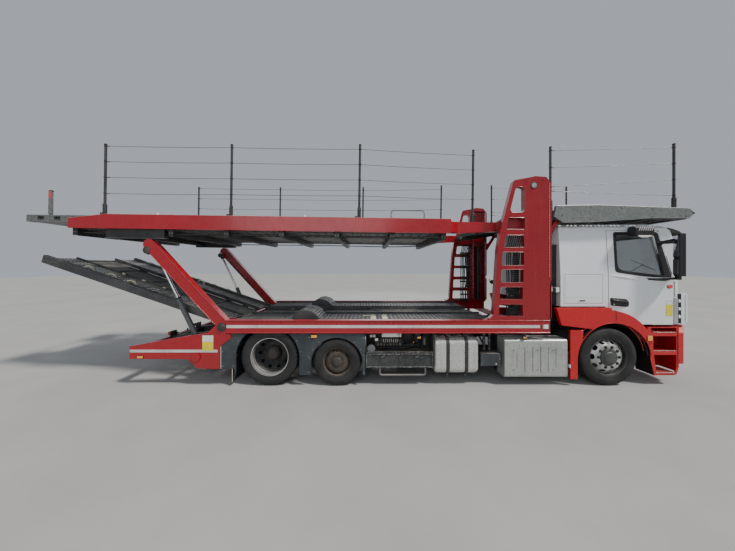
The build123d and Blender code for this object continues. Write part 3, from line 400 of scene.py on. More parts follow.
MATS["dark"] = dark_metal("chassis_steel", (0.017, 0.017, 0.018), dust=0.24, wear=0.2)
MATS["panel"] = dark_metal("skirt_panel", (0.016, 0.022, 0.026), dust=0.14, rough=0.5, wear=0.12)
MATS["cast"] = dark_metal("cast_iron", (0.036, 0.031, 0.028), dust=0.25, rough=0.62, metal=0.3, rust=0.35, wear=0.2)
MATS["rust"] = dark_metal("rusty_steel", (0.042, 0.033, 0.026), dust=0.25, rough=0.68, metal=0.2, rust=0.55, wear=0.2)
MATS["rim"] = dark_metal("wheel_silver", (0.33, 0.33, 0.325), dust=0.42, rough=0.42, metal=0.55, wear=0.15, rust=0.12)
MATS["zinc"] = zinc("galvanised", (0.235, 0.255, 0.245), (0.175, 0.190, 0.185), (0.29, 0.31, 0.295), rough=0.5, metal=0.7, grime=0.35)
MATS["zinc_dark"] = zinc("galvanised_dull", (0.20, 0.21, 0.205), (0.11, 0.115, 0.115), (0.30, 0.31, 0.30), rough=0.52, metal=0.6)
MATS["alu"] = zinc("tank_aluminium", (0.66, 0.67, 0.635), (0.60, 0.61, 0.575), (0.72, 0.725, 0.685), rough=0.34, metal=0.65, grime=0.10)
MATS["alu_box"] = zinc("aluminised_sheet", (0.50, 0.52, 0.49), (0.42, 0.44, 0.41), (0.60, 0.62, 0.58), rough=0.42, metal=0.6, grime=0.28)
MATS["chrome"] = zinc("plated_rod", (0.62, 0.63, 0.64), (0.54, 0.55, 0.56), (0.74, 0.74, 0.74), rough=0.22, metal=1.0, grime=0.12)
# tyres: black rubber made darker still, partly painted shade for the wheels in the body's shadow
MATS["tyre"] = rubber("tyre_rubber", (0.0075, 0.0078, 0.0084), dust=0.20, rough=0.78)
MATS["hose"] = rubber("hose_rubber", dust=0.2, rough=0.55)
MATS["plastic"] = plastic("black_plastic", (0.009, 0.009, 0.010), 0.45, dust=0.10)
MATS["grey_plastic"] = plastic("grey_plastic", (0.12, 0.125, 0.13), 0.5)
MATS["cream"] = plastic("cream_plate", (0.68, 0.62, 0.47), 0.55, dust=0.35, grain=0.3)
MATS["pale"] = plastic("pale_tape", (0.62, 0.60, 0.60), 0.4, dust=0.35)
MATS["yellow"] = plastic("yellow_panel", (0.80, 0.68, 0.03), 0.35)
MATS["white_panel"] = plastic("white_panel", (0.78, 0.77, 0.72), 0.35)
MATS["amber"] = lens("amber_lens", (0.85, 0.30, 0.02))
MATS["red_lens"] = lens("red_lens", (0.55, 0.012, 0.012))
MATS["clear_lens"] = lens("clear_lens", (0.72, 0.74, 0.76))
MATS["glass"] = window_glass("window_glass", (0.030, 0.052, 0.048), 0.27)
MATS["smoked"] = window_glass("smoked_visor", (0.008, 0.008, 0.010), 0.96)
MATS["stone"] = plastic("plate_cream", (0.74, 0.73, 0.68), 0.4, dust=0.25)
MATS["wire"] = zinc("wire_rope", (0.10, 0.105, 0.11), (0.05, 0.05, 0.055), (0.16, 0.165, 0.17), rough=0.45, metal=0.8, grime=0.4)
MATS["panel_cab"] = plastic("cab_lower_grey", (0.34, 0.35, 0.355), 0.42, dust=0.2, grain=0.2)
MATS["mirror"] = zinc("mirror_glass", (0.72, 0.75, 0.78), (0.70, 0.73, 0.76), (0.76, 0.79, 0.82), rough=0.10, metal=1.0, grime=0.05)
MATS["seat"] = fabric("seat_fabric", (0.045, 0.047, 0.055))
MATS["bunk"] = fabric("bunk_fabric", (0.10, 0.11, 0.13))
MATS["trim"] = plastic("cab_trim", (0.10, 0.10, 0.098), 0.6, grain=0.3)
MATS["checker"] = tread_plate("checker_plate")
# pale top-edge colour, lighter than the beam's red
MATS["rail_edge"] = dark_metal("pale_red_top_edge", (0.34, 0.10, 0.09), dust=0.4, rough=0.5, metal=0.2, wear=0.9, wear_col=(0.62, 0.55, 0.50))
MATS["zinc_pale"] = zinc("galvanised_edge", (0.52, 0.53, 0.51), (0.42, 0.43, 0.42), (0.62, 0.63, 0.61), rough=0.4, grime=0.2)
MATS["glass_clear"] = window_glass("lamp_cover", (0.75, 0.78, 0.80), 0.22)
MATS["tread_nose"] = dark_metal("worn_step_edge", (0.42, 0.05, 0.05), dust=0.3, rough=0.45, metal=0.3, wear=1.0, wear_col=(0.66, 0.64, 0.60))
MATS["edge_worn"] = dark_metal("worn_black_edge", (0.035, 0.036, 0.038), dust=0.2, rough=0.42, metal=0.5, wear=1.0, wear_col=(0.50, 0.49, 0.46))
MATS["grey_steel_bar"] = dark_metal("grey_bar", (0.11, 0.105, 0.10), dust=0.3, rough=0.5, metal=0.4, wear=0.4)

# floor
floor_mat = Tree("floor_finish")
fc = floor_mat.mix(floor_mat.ramp(floor_mat.noise(0.5, 6, 0.6), 0.3, 0.7), (0.37, 0.365, 0.355), (0.33, 0.325, 0.318))
fc = floor_mat.mix(floor_mat.ramp(floor_mat.noise(40, 6, 0.7), 0.5, 0.8, 0, 0.12), fc, (0.24, 0.235, 0.23))
floor_mat.color(fc)
floor_mat.bsdf.inputs["Roughness"].default_value = 0.85
bpy.ops.mesh.primitive_grid_add(x_subdivisions=4, y_subdivisions=4, size=120, location=(0, 0, 0))
floor = bpy.context.object
floor.name = "floor"
floor.data.materials.append(floor_mat.mat)


# ---------------------------------------------------------------------------------------------------
# mesh builder: millimetres from the front axle, as the drawing has them
# ---------------------------------------------------------------------------------------------------
def basis(axis):
    a = Vector(axis).normalized()
    h = Vector((0, 0, 1)) if abs(a.z) < 0.9 else Vector((1, 0, 0))
    u = h.cross(a).normalized()
    return u, a.cross(u).normalized(), a


class Build:
    def __init__(self):
        self.v, self.f, self.m, self.mats = [], [], [], []
        self.x = Matrix.Identity(4)          # current placing

    def slot(self, mat):
        if mat not in self.mats:
            self.mats.append(mat)
        return self.mats.index(mat)

    def add(self, verts, faces, mat):
        s, n = self.slot(mat), len(self.v)
        self.v += [tuple(self.x @ Vector(p)) for p in verts]
        self.f += [tuple(n + i for i in f) for f in faces]
        self.m += [s] * len(faces)

    def box(self, x0, x1, y0, y1, z0, z1, mat, ch=3.0, rot=None, pivot=None):
        """Box with small chamfered edges; rot is a matrix about pivot."""
        lo = (min(x0, x1), min(y0, y1), min(z0, z1))
        hi = (max(x0, x1), max(y0, y1), max(z0, z1))
        ch = min(ch, *[(hi[i] - lo[i]) * 0.3 for i in range(3)])
        pts, idx = [], {}
        for cx in (0, 1):
            for cy in (0, 1):
                for cz in (0, 1):
                    c = (cx, cy, cz)
                    for a in range(3):        # the vertex on the face normal to axis a
                        p = [0, 0, 0]
                        for i in range(3):
                            e = lo[i] if c[i] == 0 else hi[i]
                            p[i] = e if i == a else e + (ch if c[i] == 0 else -ch)
                        idx[(c, a)] = len(pts)
                        pts.append(p)
        faces = []
        for a in range(3):
            b, d = (a + 1) % 3, (a + 2) % 3
            for s in (0, 1):
                ring = []
                for t in ((0, 0), (1, 0), (1, 1), (0, 1)):
                    c = [0, 0, 0]
                    c[a], c[b], c[d] = s, t[0], t[1]
                    ring.append(idx[(tuple(c), a)])
                faces.append(ring if s else ring[::-1])
            for sb in (0, 1):                 # edges along axis a
                for sd in (0, 1):
                    c0, c1 = [0, 0, 0], [0, 0, 0]
                    c0[a], c0[b], c0[d] = 0, sb, sd
                    c1[a], c1[b], c1[d] = 1, sb, sd
                    q = [idx[(tuple(c0), b)], idx[(tuple(c1), b)], idx[(tuple(c1), d)], idx[(tuple(c0), d)]]
                    faces.append(q if (sb + sd) % 2 == 1 else q[::-1])
        for cx in (0, 1):
            for cy in (0, 1):
                for cz in (0, 1):
                    c = (cx, cy, cz)
                    q = [idx[(c, 0)], idx[(c, 1)], idx[(c, 2)]]
                    faces.append(q if (cx + cy + cz) % 2 == 1 else q[::-1])
        if rot is not None:
            pv = Vector(pivot if pivot is not None else [(lo[i] + hi[i]) / 2 for i in range(3)])
            pts = [tuple(pv + rot @ (Vector(p) - pv)) for p in pts]
        self.add(pts, faces, mat)

    def lathe(self, profile, centre, axis, mat, n=32, a0=0.0, a1=360.0, vary=None):
        """profile: (along axis, radius); open or from axis to axis."""
        u, w, a = basis(axis)
        c = Vector(centre)
        full = abs(a1 - a0) >= 359.9
        cols = n if full else n + 1
        verts, rows = [], []
        for k, (h, r) in enumerate(profile):
            if r <= 1e-6:
                rows.append([len(verts)] * cols)
                verts.append(tuple(c + a * h))
                continue
            row = []
            for i in range(cols):
                t = math.radians(a0 + (a1 - a0) * i / n)
                rr, hh = (r, h) if vary is None else vary(k, i, r, h)
                row.append(len(verts))
                verts.append(tuple(c + a * hh + (u * math.cos(t) + w * math.sin(t)) * rr))
            rows.append(row)
        faces = []
        for k in range(len(profile) - 1):
            for i in range(n):
                j = (i + 1) % cols
                q = [rows[k][i], rows[k][j], rows[k + 1][j], rows[k + 1][i]]
                q = [x for m, x in enumerate(q) if x not in q[:m]]
                if len(q) > 2:
                    faces.append(q)
        self.add(verts, faces, mat)

    def cyl(self, p0, p1, r, mat, n=20, ch=2.0, r1=None):
        p0, p1 = Vector(p0), Vector(p1)
        length = (p1 - p0).length
        r1 = r if r1 is None else r1
        ch = min(ch, r * 0.3, length * 0.3)
        self.lathe([(0, 0), (0, r - ch), (ch, r), (length - ch, r1), (length, r1 - ch), (length, 0)], p0, p1 - p0, mat, n)

    def tube(self, pts, r, mat, n=10, closed=False, cap=True):
        """Round bar or hose along points."""
        P = [Vector(p) for p in pts]
        verts, faces = [], []
        prev = None
        for i, p in enumerate(P):
            if closed:
                d = (P[(i + 1) % len(P)] - P[i - 1]).normalized()
            elif i == 0:
                d = (P[1] - P[0]).normalized()
            elif i == len(P) - 1:
                d = (P[-1] - P[-2]).normalized()
            else:
                d = ((P[i + 1] - p).normalized() + (p - P[i - 1]).normalized()).normalized()
            if prev is None:
                u = basis(d)[0]
            else:
                u = (prev - d * prev.dot(d))
                u = u.normalized() if u.length > 1e-6 else basis(d)[0]
            prev = u
            w = d.cross(u)
            for k in range(n):
                t = 2 * math.pi * k / n
                verts.append(tuple(p + (u * math.cos(t) + w * math.sin(t)) * r))
        m = len(P)
        for i in range(m if closed else m - 1):
            for k in range(n):
                a, b = i * n + k, i * n + (k + 1) % n
                c, d2 = ((i + 1) % m) * n + (k + 1) % n, ((i + 1) % m) * n + k
                faces.append((a, b, c, d2))
        if not closed and cap:
            faces.append(tuple(reversed(range(n))))
            faces.append(tuple(range((m - 1) * n, m * n)))
        self.add(verts, faces, mat)

    def prism(self, pts, axis, a0, a1, mat, ch=0.0):
        """Closed outline (2-D) pushed along an axis letter; outline planes: x->(y,z), y->(x,z), z->(x,y)."""
        a0, a1 = min(a0, a1), max(a0, a1)
        area = sum(pts[i][0] * pts[(i + 1) % len(pts)][1] - pts[(i + 1) % len(pts)][0] * pts[i][1] for i in range(len(pts)))
        if (area < 0) != (axis == "y"):
            pts = pts[::-1]
        n = len(pts)

        def at(p, a):
            return {"x": (a, p[0], p[1]), "y": (p[0], a, p[1]), "z": (p[0], p[1], a)}[axis]
        if ch <= 0:
            verts = [at(p, a0) for p in pts] + [at(p, a1) for p in pts]
            faces = [tuple(reversed(range(n))), tuple(range(n, 2 * n))]
            faces += [(i, (i + 1) % n, n + (i + 1) % n, n + i) for i in range(n)]
        else:
            ins = inset(pts, ch if (axis != "y") else ch)
            verts = [at(p, a0) for p in ins] + [at(p, a0 + ch) for p in pts] + [at(p, a1 - ch) for p in pts] + [at(p, a1) for p in ins]
            faces = [tuple(reversed(range(n))), tuple(range(3 * n, 4 * n))]
            for k in range(3):
                faces += [(k * n + i, k * n + (i + 1) % n, (k + 1) * n + (i + 1) % n, (k + 1) * n + i) for i in range(n)]
        self.add(verts, faces, mat)

    def ball(self, c, r, mat, n=12, m=7):
        prof = [(r * math.sin(math.radians(-90 + 180 * i / m)), r * math.cos(math.radians(-90 + 180 * i / m))) for i in range(m + 1)]
        prof[0], prof[-1] = (-r, 0), (r, 0)
        self.lathe(prof, c, (0, 0, 1), mat, n)

    def bolt(self, c, axis, r, h, mat):
        """Hexagon head on a washer."""
        a = Vector(axis).normalized()
        c = Vector(c)
        self.lathe([(0, 0), (0, r * 1.45), (h * 0.25, r * 1.4), (h * 0.25, 0)], c, a, mat, 12)
        self.lathe([(h * 0.2, r), (h * 0.9, r), (h, r * 0.8), (h, 0)], c, a, mat, 6)

    def perf(self, fmap, nu, nv, hu, hv, mat, k=8, wall=True, power=2.0):
        """Perforated sheet: fmap(u, v, w) with u, v in cells and w 0 front, 1 back; hu, hv are half hole sizes in cells."""
        s = self.slot(mat)
        n0 = len(self.v)
        cache, V, F = {}, [], []

        def pt(u, v, w, key=None):
            if key is not None and key in cache:
                return cache[key]
            i = n0 + len(V)
            V.append(tuple(self.x @ Vector(fmap(u, v, w))))
            if key is not None:
                cache[key] = i
            return i
        q = k // 4
        edge = []
        for i in range(q):
            edge.append((-0.5 + i / q, -0.5))
        for i in range(q):
            edge.append((0.5, -0.5 + i / q))
        for i in range(q):
            edge.append((0.5 - i / q, 0.5))
        for i in range(q):
            edge.append((-0.5, 0.5 - i / q))
        hole = []
        for ex, ey in edge:
            t = math.atan2(ey, ex)
            ct, st = math.cos(t), math.sin(t)
            rr = 1.0 / (abs(ct) ** power + abs(st) ** power) ** (1 / power)
            hole.append((hu * rr * ct, hv * rr * st))
        for a in range(nu):
            for b in range(nv):
                cu, cv = a + 0.5, b + 0.5
                rings = []
                for w in (0, 1):
                    o = [pt(cu + ex, cv + ey, w, (round((cu + ex) * 64), round((cv + ey) * 64), w)) for ex, ey in edge]
                    h = [pt(cu + hx, cv + hy, w) for hx, hy in hole]
                    rings.append((o, h))
                for i in range(k):
                    j = (i + 1) % k
                    (o0, h0), (o1, h1) = rings
                    F.append((o0[i], o0[j], h0[j], h0[i]))
                    if wall:
                        F.append((h0[i], h0[j], h1[j], h1[i]))
                        F.append((o1[j], o1[i], h1[i], h1[j]))
        if wall:                                # rim of the sheet
            def rim(cells):
                for (u0, v0), (u1, v1) in cells:
                    ks = [(round(u0 * 64), round(v0 * 64)), (round(u1 * 64), round(v1 * 64))]
                    F.append((cache[(*ks[1], 0)], cache[(*ks[0], 0)], cache[(*ks[0], 1)], cache[(*ks[1], 1)]))
            st = 1.0 / q
            rim([((i * st, 0), ((i + 1) * st, 0)) for i in range(nu * q)])
            rim([((nu, i * st), (nu, (i + 1) * st)) for i in range(nv * q)])
            rim([((nu - i * st, nv), (nu - (i + 1) * st, nv)) for i in range(nu * q)])
            rim([((0, nv - i * st), (0, nv - (i + 1) * st)) for i in range(nv * q)])
        self.v += V
        self.f += F
        self.m += [s] * len(F)

    def mirrored(self):
        """Adds the mirror image across the centreline."""
        n = len(self.v)
        nf = len(self.f)
        self.v += [(x, -y, z) for x, y, z in self.v[:n]]
        self.f += [tuple(n + i for i in reversed(f)) for f in self.f[:nf]]
        self.m += self.m[:nf]

    def flipped(self):
        self.v = [(x, -y, z) for x, y, z in self.v]
        self.f = [tuple(reversed(f)) for f in self.f]

    def make(self, name, body, replaces=(), sharp=42, slot=None, weld=0.05):
        me = bpy.data.meshes.new(name)
        me.from_pydata([((x + SHIFT) / 1000, y / 1000, z / 1000) for x, y, z in self.v], [], self.f)
        for m in self.mats:
            me.materials.append(MATS[m])
        me.polygons.foreach_set("material_index", self.m)
        bm = bmesh.new()
        bm.from_mesh(me)
        if weld:
            bmesh.ops.remove_doubles(bm, verts=bm.verts, dist=weld / 1000)
        bmesh.ops.dissolve_degenerate(bm, dist=1e-6, edges=bm.edges)
        bmesh.ops.recalc_face_normals(bm, faces=bm.faces)
        bm.to_mesh(me)
        bm.free()
        mend(me)
        me.shade_smooth()
        me.set_sharp_from_angle(angle=math.radians(sharp))
        o = bpy.data.objects.new(name, me)
        bpy.context.scene.collection.objects.link(o)
        w = o.modifiers.new("weights", "WEIGHTED_NORMAL")
        w.keep_sharp = True
        if body:
            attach(o, body)
        if replaces:
            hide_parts(*([replaces] if isinstance(replaces, str) else replaces))
        return o


def inset(pts, d):
    """Moves a closed outline inwards by d, whichever way it turns."""
    n = len(pts)
    area = sum(pts[i][0] * pts[(i + 1) % n][1] - pts[(i + 1) % n][0] * pts[i][1] for i in range(n))
    sgn = 1 if area > 0 else -1
    out = []
    for i in range(n):
        p0, p1, p2 = Vector(pts[i - 1]), Vector(pts[i]), Vector(pts[(i + 1) % n])
        a, b = (p1 - p0).normalized(), (p2 - p1).normalized()
        na, nb = Vector((-a.y, a.x)) * sgn, Vector((-b.y, b.x)) * sgn
        m = na + nb
        k = m.length_squared
        m = m * (2 * d / k) if k > 0.2 else na * d
        out.append((p1.x + m.x, p1.y + m.y))
    return out


def smooth_path(pts, steps=6):
    """Catmull-Rom points through a few given ones."""
    P = [Vector(p) for p in pts]
    P = [P[0] * 2 - P[1]] + P + [P[-1] * 2 - P[-2]]
    out = []
    for i in range(1, len(P) - 2):
        p0, p1, p2, p3 = P[i - 1:i + 3]
        for s in range(steps):
            t = s / steps
            out.append(0.5 * ((2 * p1) + (p2 - p0) * t + (2 * p0 - 5 * p1 + 4 * p2 - p3) * t * t + (3 * p1 - p0 - 3 * p2 + p3) * t ** 3))
    out.append(P[-2])
    return [tuple(p) for p in out]


def mend(me):
    """Recuts each face of more than four corners that doesn't fill in cleanly, such as one that runs round an opening."""
    me.calc_loop_triangles()
    filled = {}
    for t in me.loop_triangles:
        a, b, c = (me.vertices[i].co for i in t.vertices)
        filled[t.polygon_index] = filled.get(t.polygon_index, 0.0) + (b - a).cross(c - a).length / 2
    bad = []
    for p in me.polygons:
        if len(p.vertices) > 4:
            pts = [me.vertices[i].co for i in p.vertices]
            n = sum(((pts[i] - pts[0]).cross(pts[(i + 1) % len(pts)] - pts[0]) for i in range(len(pts))), Vector((0, 0, 0)))
            if filled[p.index] - n.length / 2 > max(2e-6, 0.004 * n.length):
                bad.append((p.index, n.length / 2, n.normalized()))
    if not bad:
        return
    bm = bmesh.new()
    bm.from_mesh(me)
    bm.faces.ensure_lookup_table()
    gone = []
    for f, area, n in [(bm.faces[i], a, n) for i, a, n in bad]:
        ring = list(f.verts)
        u = n.orthogonal().normalized()
        v = n.cross(u)
        o = ring[0].co.copy()
        best = None
        for turn in range(min(len(ring), 8)):
            loop = ring[turn:] + ring[:turn]
            flat = [Vector(((q.co - o).dot(u), (q.co - o).dot(v))) for q in loop]
            got = geometry.delaunay_2d_cdt(flat, [], [list(range(len(loop)))], 1, 1e-7)
            pos, tris, origin = got[0], got[2], got[3]
            total = sum(abs((pos[t[1]] - pos[t[0]]).cross(pos[t[2]] - pos[t[0]])) / 2 for t in tris)
            if best is None or abs(total - area) < best[0]:
                best = (abs(total - area), pos, tris, origin, loop)
            if best[0] < 0.002 * area:
                break
        if best[0] > 0.3 * area:
            continue
        made = {}
        for j, q in enumerate(best[1]):
            made[j] = best[4][best[3][j][0]] if best[3][j] else bm.verts.new(o + u * q[0] + v * q[1])
        for t in best[2]:
            corner = [made[j] for j in t]
            if len(set(corner)) == 3 and bm.faces.get(corner) is None:
                if (corner[1].co - corner[0].co).cross(corner[2].co - corner[0].co).dot(n) < 0:
                    corner.reverse()
                g = bm.faces.new(corner)
                g.smooth = True
                g.material_index = f.material_index
        gone.append(f)
    bmesh.ops.delete(bm, geom=gone, context="FACES_ONLY")
    bm.to_mesh(me)
    bm.free()


def rounded(node, mat, width=0.004, seg=2, angle=32, faces=None, shift=None, name=None):
    """A copy of a CAD node with its edges rounded; faces maps a face centre (mm from the front axle) and normal to a material, shift moves its corners."""
    src = frame["nodes"][node]
    me = src.data.copy()
    me.name = (name or node) + "_skin"
    me.materials.clear()
    bm = bmesh.new()
    bm.from_mesh(me)
    bmesh.ops.remove_doubles(bm, verts=bm.verts, dist=2e-5)
    bmesh.ops.dissolve_degenerate(bm, dist=1e-6, edges=bm.edges)
    bmesh.ops.dissolve_limit(bm, angle_limit=math.radians(0.6), verts=bm.verts, edges=bm.edges)
    bmesh.ops.recalc_face_normals(bm, faces=bm.faces)
    if shift:
        for v in bm.verts:
            v.co += Vector(shift(Vector((v.co.x * 1000 - SHIFT, v.co.y * 1000, v.co.z * 1000)))) / 1000
    for f in bm.faces:
        f.material_index = 0
    used = [mat]
    if faces:
        for f in bm.faces:
            c = f.calc_center_median()
            got = faces(Vector((c.x * 1000 - SHIFT, c.y * 1000, c.z * 1000)), f.normal)
            if got:
                if got not in used:
                    used.append(got)
                f.material_index = used.index(got)
    bm.to_mesh(me)
    bm.free()
    for m in used:
        me.materials.append(MATS[m])
    me.shade_smooth()
    me.set_sharp_from_angle(angle=math.radians(angle))
    o = bpy.data.objects.new((name or node) + "_finish", me)
    bpy.context.scene.collection.objects.link(o)
    if width:
        b = o.modifiers.new("edge", "BEVEL")
        b.width = width
        b.segments = seg
        b.limit_method = "ANGLE"
        b.angle_limit = math.radians(angle)
        b.use_clamp_overlap = True
        b.miter_outer = "MITER_ARC"
        b.harden_normals = False
        soft = bpy.data.meshes.new_from_object(o.evaluated_get(bpy.context.evaluated_depsgraph_get()))
        o.modifiers.remove(b)
        o.data = soft
        soft.name = (name or node) + "_skin"
        bpy.data.meshes.remove(me)
        mend(soft)
    w = o.modifiers.new("weights", "WEIGHTED_NORMAL")
    w.keep_sharp = False
    body = src["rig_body"]
    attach(o, body)
    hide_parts(node)
    return o


def finish_node(node, mat):
    """The CAD node stays, with a finished material."""
    o = frame["nodes"][node]
    o.data.materials.clear()
    o.data.materials.append(MATS[mat])


# the model itself

# ---- nodes that keep the drawing's shape, with rounded edges and a finish ---------------------------
rounded("chassis_frame", "dark", 0.003)
rounded("side_frame", "red", 0.004)
rounded("rear_panels", "red", 0.003)
rounded("tow_coupling", "cast", 0.006)
rounded("front_axle_beam", "dark", 0.006)
rounded("pusher_axle", "dark", 0.003)
rounded("drive_axle", "dark", 0.004)
rounded("driveline", "cast", 0.004)
rounded("engine_block", "cast", 0.02)
rounded("mudguards", "panel", 0.002)
rounded("springs", "dark", 0.003)
# towers take the red darkened as painted shade
rounded("towers", "red_tower_shaded", 0.005)
rounded("cab_shell", "white", 0.012, 3)
rounded("fenders", "red_cab", 0.022, 4, faces=lambda c, n: "plastic" if abs(c.y) < 1164 or abs(c.y) < 1206 and n.z < -0.05 and c.z > 560 and c.z < 1200 and (c.x * c.x + (c.z - 465) ** 2) ** 0.5 < 600 else None)
rounded("front_bumper", "red_cab", 0.016, 4, shift=lambda p: (-8 if p.x > 1364 else 0, 0, 0))       # room for the trim in front
# faces inside the step box take the step red darkened as painted shade
# rear faces of the step box towards the wheel are black plastic as painted shade
rounded("entry_steps", "red_cab", 0.005, faces=lambda c, n: "plastic" if n.x < -0.3 and abs(c.y) < 1186 and c.x < 800 else "red_step_shaded" if abs(c.y) < 1187 else None)
rounded("front_flap", "white", 0.006, shift=lambda p: (-8 if p.x > 1345 else 0, 0, 0))
for side_name in ("right", "left"):
    rounded("door_" + side_name, "white", 0.006)
    rounded("hatch_" + side_name, "white", 0.006)
    rounded("front_knuckle_" + side_name, "cast", 0.004)
    finish_node("door_glass_" + side_name, "glass")
    rounded("mirror_" + side_name, "plastic", 0.02, 3)
finish_node("windscreen", "glass")
rounded("upper_deck_beams", "red", 0.005, faces=lambda c, n: "black" if abs(c.y) < 1150 and abs(c.y) < 971 or abs(c.y) > 1051 and c.z - (-1700 - c.x) * 0.01449 < 2452 and c.x < -2600 or abs(c.y) < 1163 and c.x < -2710 else None,
        shift=lambda p: (0.013 * (p.x + 1700), 0, 0.013 * (p.z - 2600)) if math.hypot(p.x + 1700, p.z - 2600) < 32 else (0, 0, 0))       # play round the faceted pin
rounded("upper_deck_posts", "black", 0.002)
rounded("over_cab_posts", "black", 0.002)
rounded("deck_extension", "zinc_dark", 0.004)
rounded("rear_arms", "red", 0.006)
rounded("lift_barrels", "grey_plastic", 0.002)
rounded("lift_rods", "chrome", 0.002)
rounded("air_tanks", "black", 0.006)
rounded("air_intake", "plastic", 0.006)


# ---- wheels -----------------------------------------------------------------------------------------
def tyre(b, c, x, z, r, w, bead, block=False, n=168):
    """Ribbed tyre with zigzag grooves, notched shoulders and rings on the sidewall; c is its centre plane."""
    s = r - bead
    half = [(0.0, r), (0.150 * w, r), (0.160 * w, r - 13), (0.235 * w, r - 13), (0.245 * w, r - 0.5), (0.52 * w, r - 2),
            (0.53 * w, r - 15), (0.615 * w, r - 15), (0.625 * w, r - 2.5), (0.80 * w, r - 6), (0.865 * w, r - 10),
            (0.925 * w, r - 0.13 * s), (0.965 * w, r - 0.26 * s), (0.985 * w, r - 0.36 * s), (w, r - 0.46 * s),
            (w, r - 0.52 * s), (0.985 * w, r - 0.56 * s), (0.985 * w, r - 0.58 * s), (0.965 * w, r - 0.70 * s),
            (0.965 * w, r - 0.715 * s), (0.945 * w, r - 0.73 * s), (0.93 * w, r - 0.84 * s), (0.93 * w, r - 0.86 * s),
            (0.87 * w, r - 0.90 * s), (0.80 * w, r - 0.955 * s), (0.76 * w, bead)]
    prof = [(-a, h) for a, h in reversed(half)] + half[1:]
    m = len(half)

    def vary(k, i, rad, h):
        j = abs(k - (m - 1))
        if 1 <= j <= 7:
            h += (3.2 if (i // 2) % 2 else -3.2) * (1 if h > 0 else -1)
        if j in (8, 9, 10, 11):
            step = 4 if block else 3
            if i % step == 0:
                rad -= (13 if block else 8) * (0.5 if j == 11 else 1)
        if block and 4 <= j <= 5 and i % 6 == 0:
            rad -= 8
        return rad, h
    b.lathe(prof, (x, c, z), (0, 1, 0), "tyre", n, vary=vary)


def cone_holes(b, x, z, h0, r0, h1, r1, n, hu, hv, mat, t=9.0):
    """Slope of a wheel disc with n oval hand holes."""
    d = Vector((h1 - h0, r1 - r0)).normalized()
    nx = Vector((-d.y, d.x)) * t

    def f(u, v, w):
        a = 2 * math.pi * u / n
        h = h0 + (h1 - h0) * v + nx.x * w
        r = r0 + (r1 - r0) * v + nx.y * w
        return (x + r * math.sin(a), h, z + r * math.cos(a))
    b.perf(f, n, 1, hu, hv, mat, k=16)


def nuts(b, x, z, h, r, n, size, high, mat, off=0.0):
    for i in range(n):
        a = 2 * math.pi * (i + off) / n
        c = (x + r * math.sin(a), h, z + r * math.cos(a))
        b.bolt(c, (0, 1, 0), size, high, mat)
        b.cyl((c[0], h + high * 0.8, c[2]), (c[0], h + high * 1.25, c[2]), size * 0.52, mat, 8, 1)


def front_wheel(side_name):
    b, c, x, z = Build(), 1086.0, 0.0, 465.0
    tyre(b, c, x, z, 465, 146, 296)
    # rim lip and barrel in the near-black hub finish, partly painted shade
    b.lathe([(-128, 300), (-130, 308), (-124, 312), (-118, 306), (-114, 298), (-60, 284), (40, 280), (52, 268), (58, 280),
             (100, 284), (116, 294), (119, 304), (125, 309), (129, 305), (127, 296)], (x, c, z), (0, 1, 0), "hub_dark_shaded", 64)
    b.lathe([(119, 300), (120, 305), (125.5, 309.6), (129.6, 305.4), (128, 301)], (x, c, z), (0, 1, 0), "barrel", 64)
    b.lathe([(-122, 300), (-112, 290), (-60, 276), (38, 272)], (x, c, z), (0, 1, 0), "dark", 48)
    cone_holes(b, x, z, c + 58, 276, c + 122, 200, 10, 0.30, 0.36, "rim")
    b.lathe([(120, 203), (128, 198), (133, 188), (134, 148), (130, 142), (110, 142), (110, 200)], (x, c, z), (0, 1, 0), "rim", 60)
    nuts(b, x, z, c + 133, 167.5, 10, 17, 19, "hub_dark_shaded", 0.5)
    b.lathe([(108, 141), (134, 140), (141, 134), (143, 118), (150, 108), (152, 88), (160, 84), (165, 76), (166, 30), (168, 0)],
            (x, c, z), (0, 1, 0), "hub_grey", 40)
    for i in range(8):
        a = 2 * math.pi * i / 8
        b.bolt((x + 113 * math.sin(a), c + 143, z + 113 * math.cos(a)), (0, 1, 0), 8, 9, "hub_dark_shaded")
    for i in range(5):
        a = 2 * math.pi * i / 5
        b.bolt((x + 58 * math.sin(a), c + 163, z + 58 * math.cos(a)), (0, 1, 0), 6, 4, "cast")
    b.cyl((x + 245, c + 70, z), (x + 236, c + 112, z), 5, "rust", 8)            # valve
    b.lathe([(-25, 46), (-25, 104), (60, 104), (108, 120), (112, 142)], (x, c, z), (0, 1, 0), "cast", 32)
    if side_name == "right":
        b.flipped()
    return b.make("front_wheel_detail_" + side_name, "front_wheel_" + side_name, "front_wheel_" + side_name, slot="tyre")


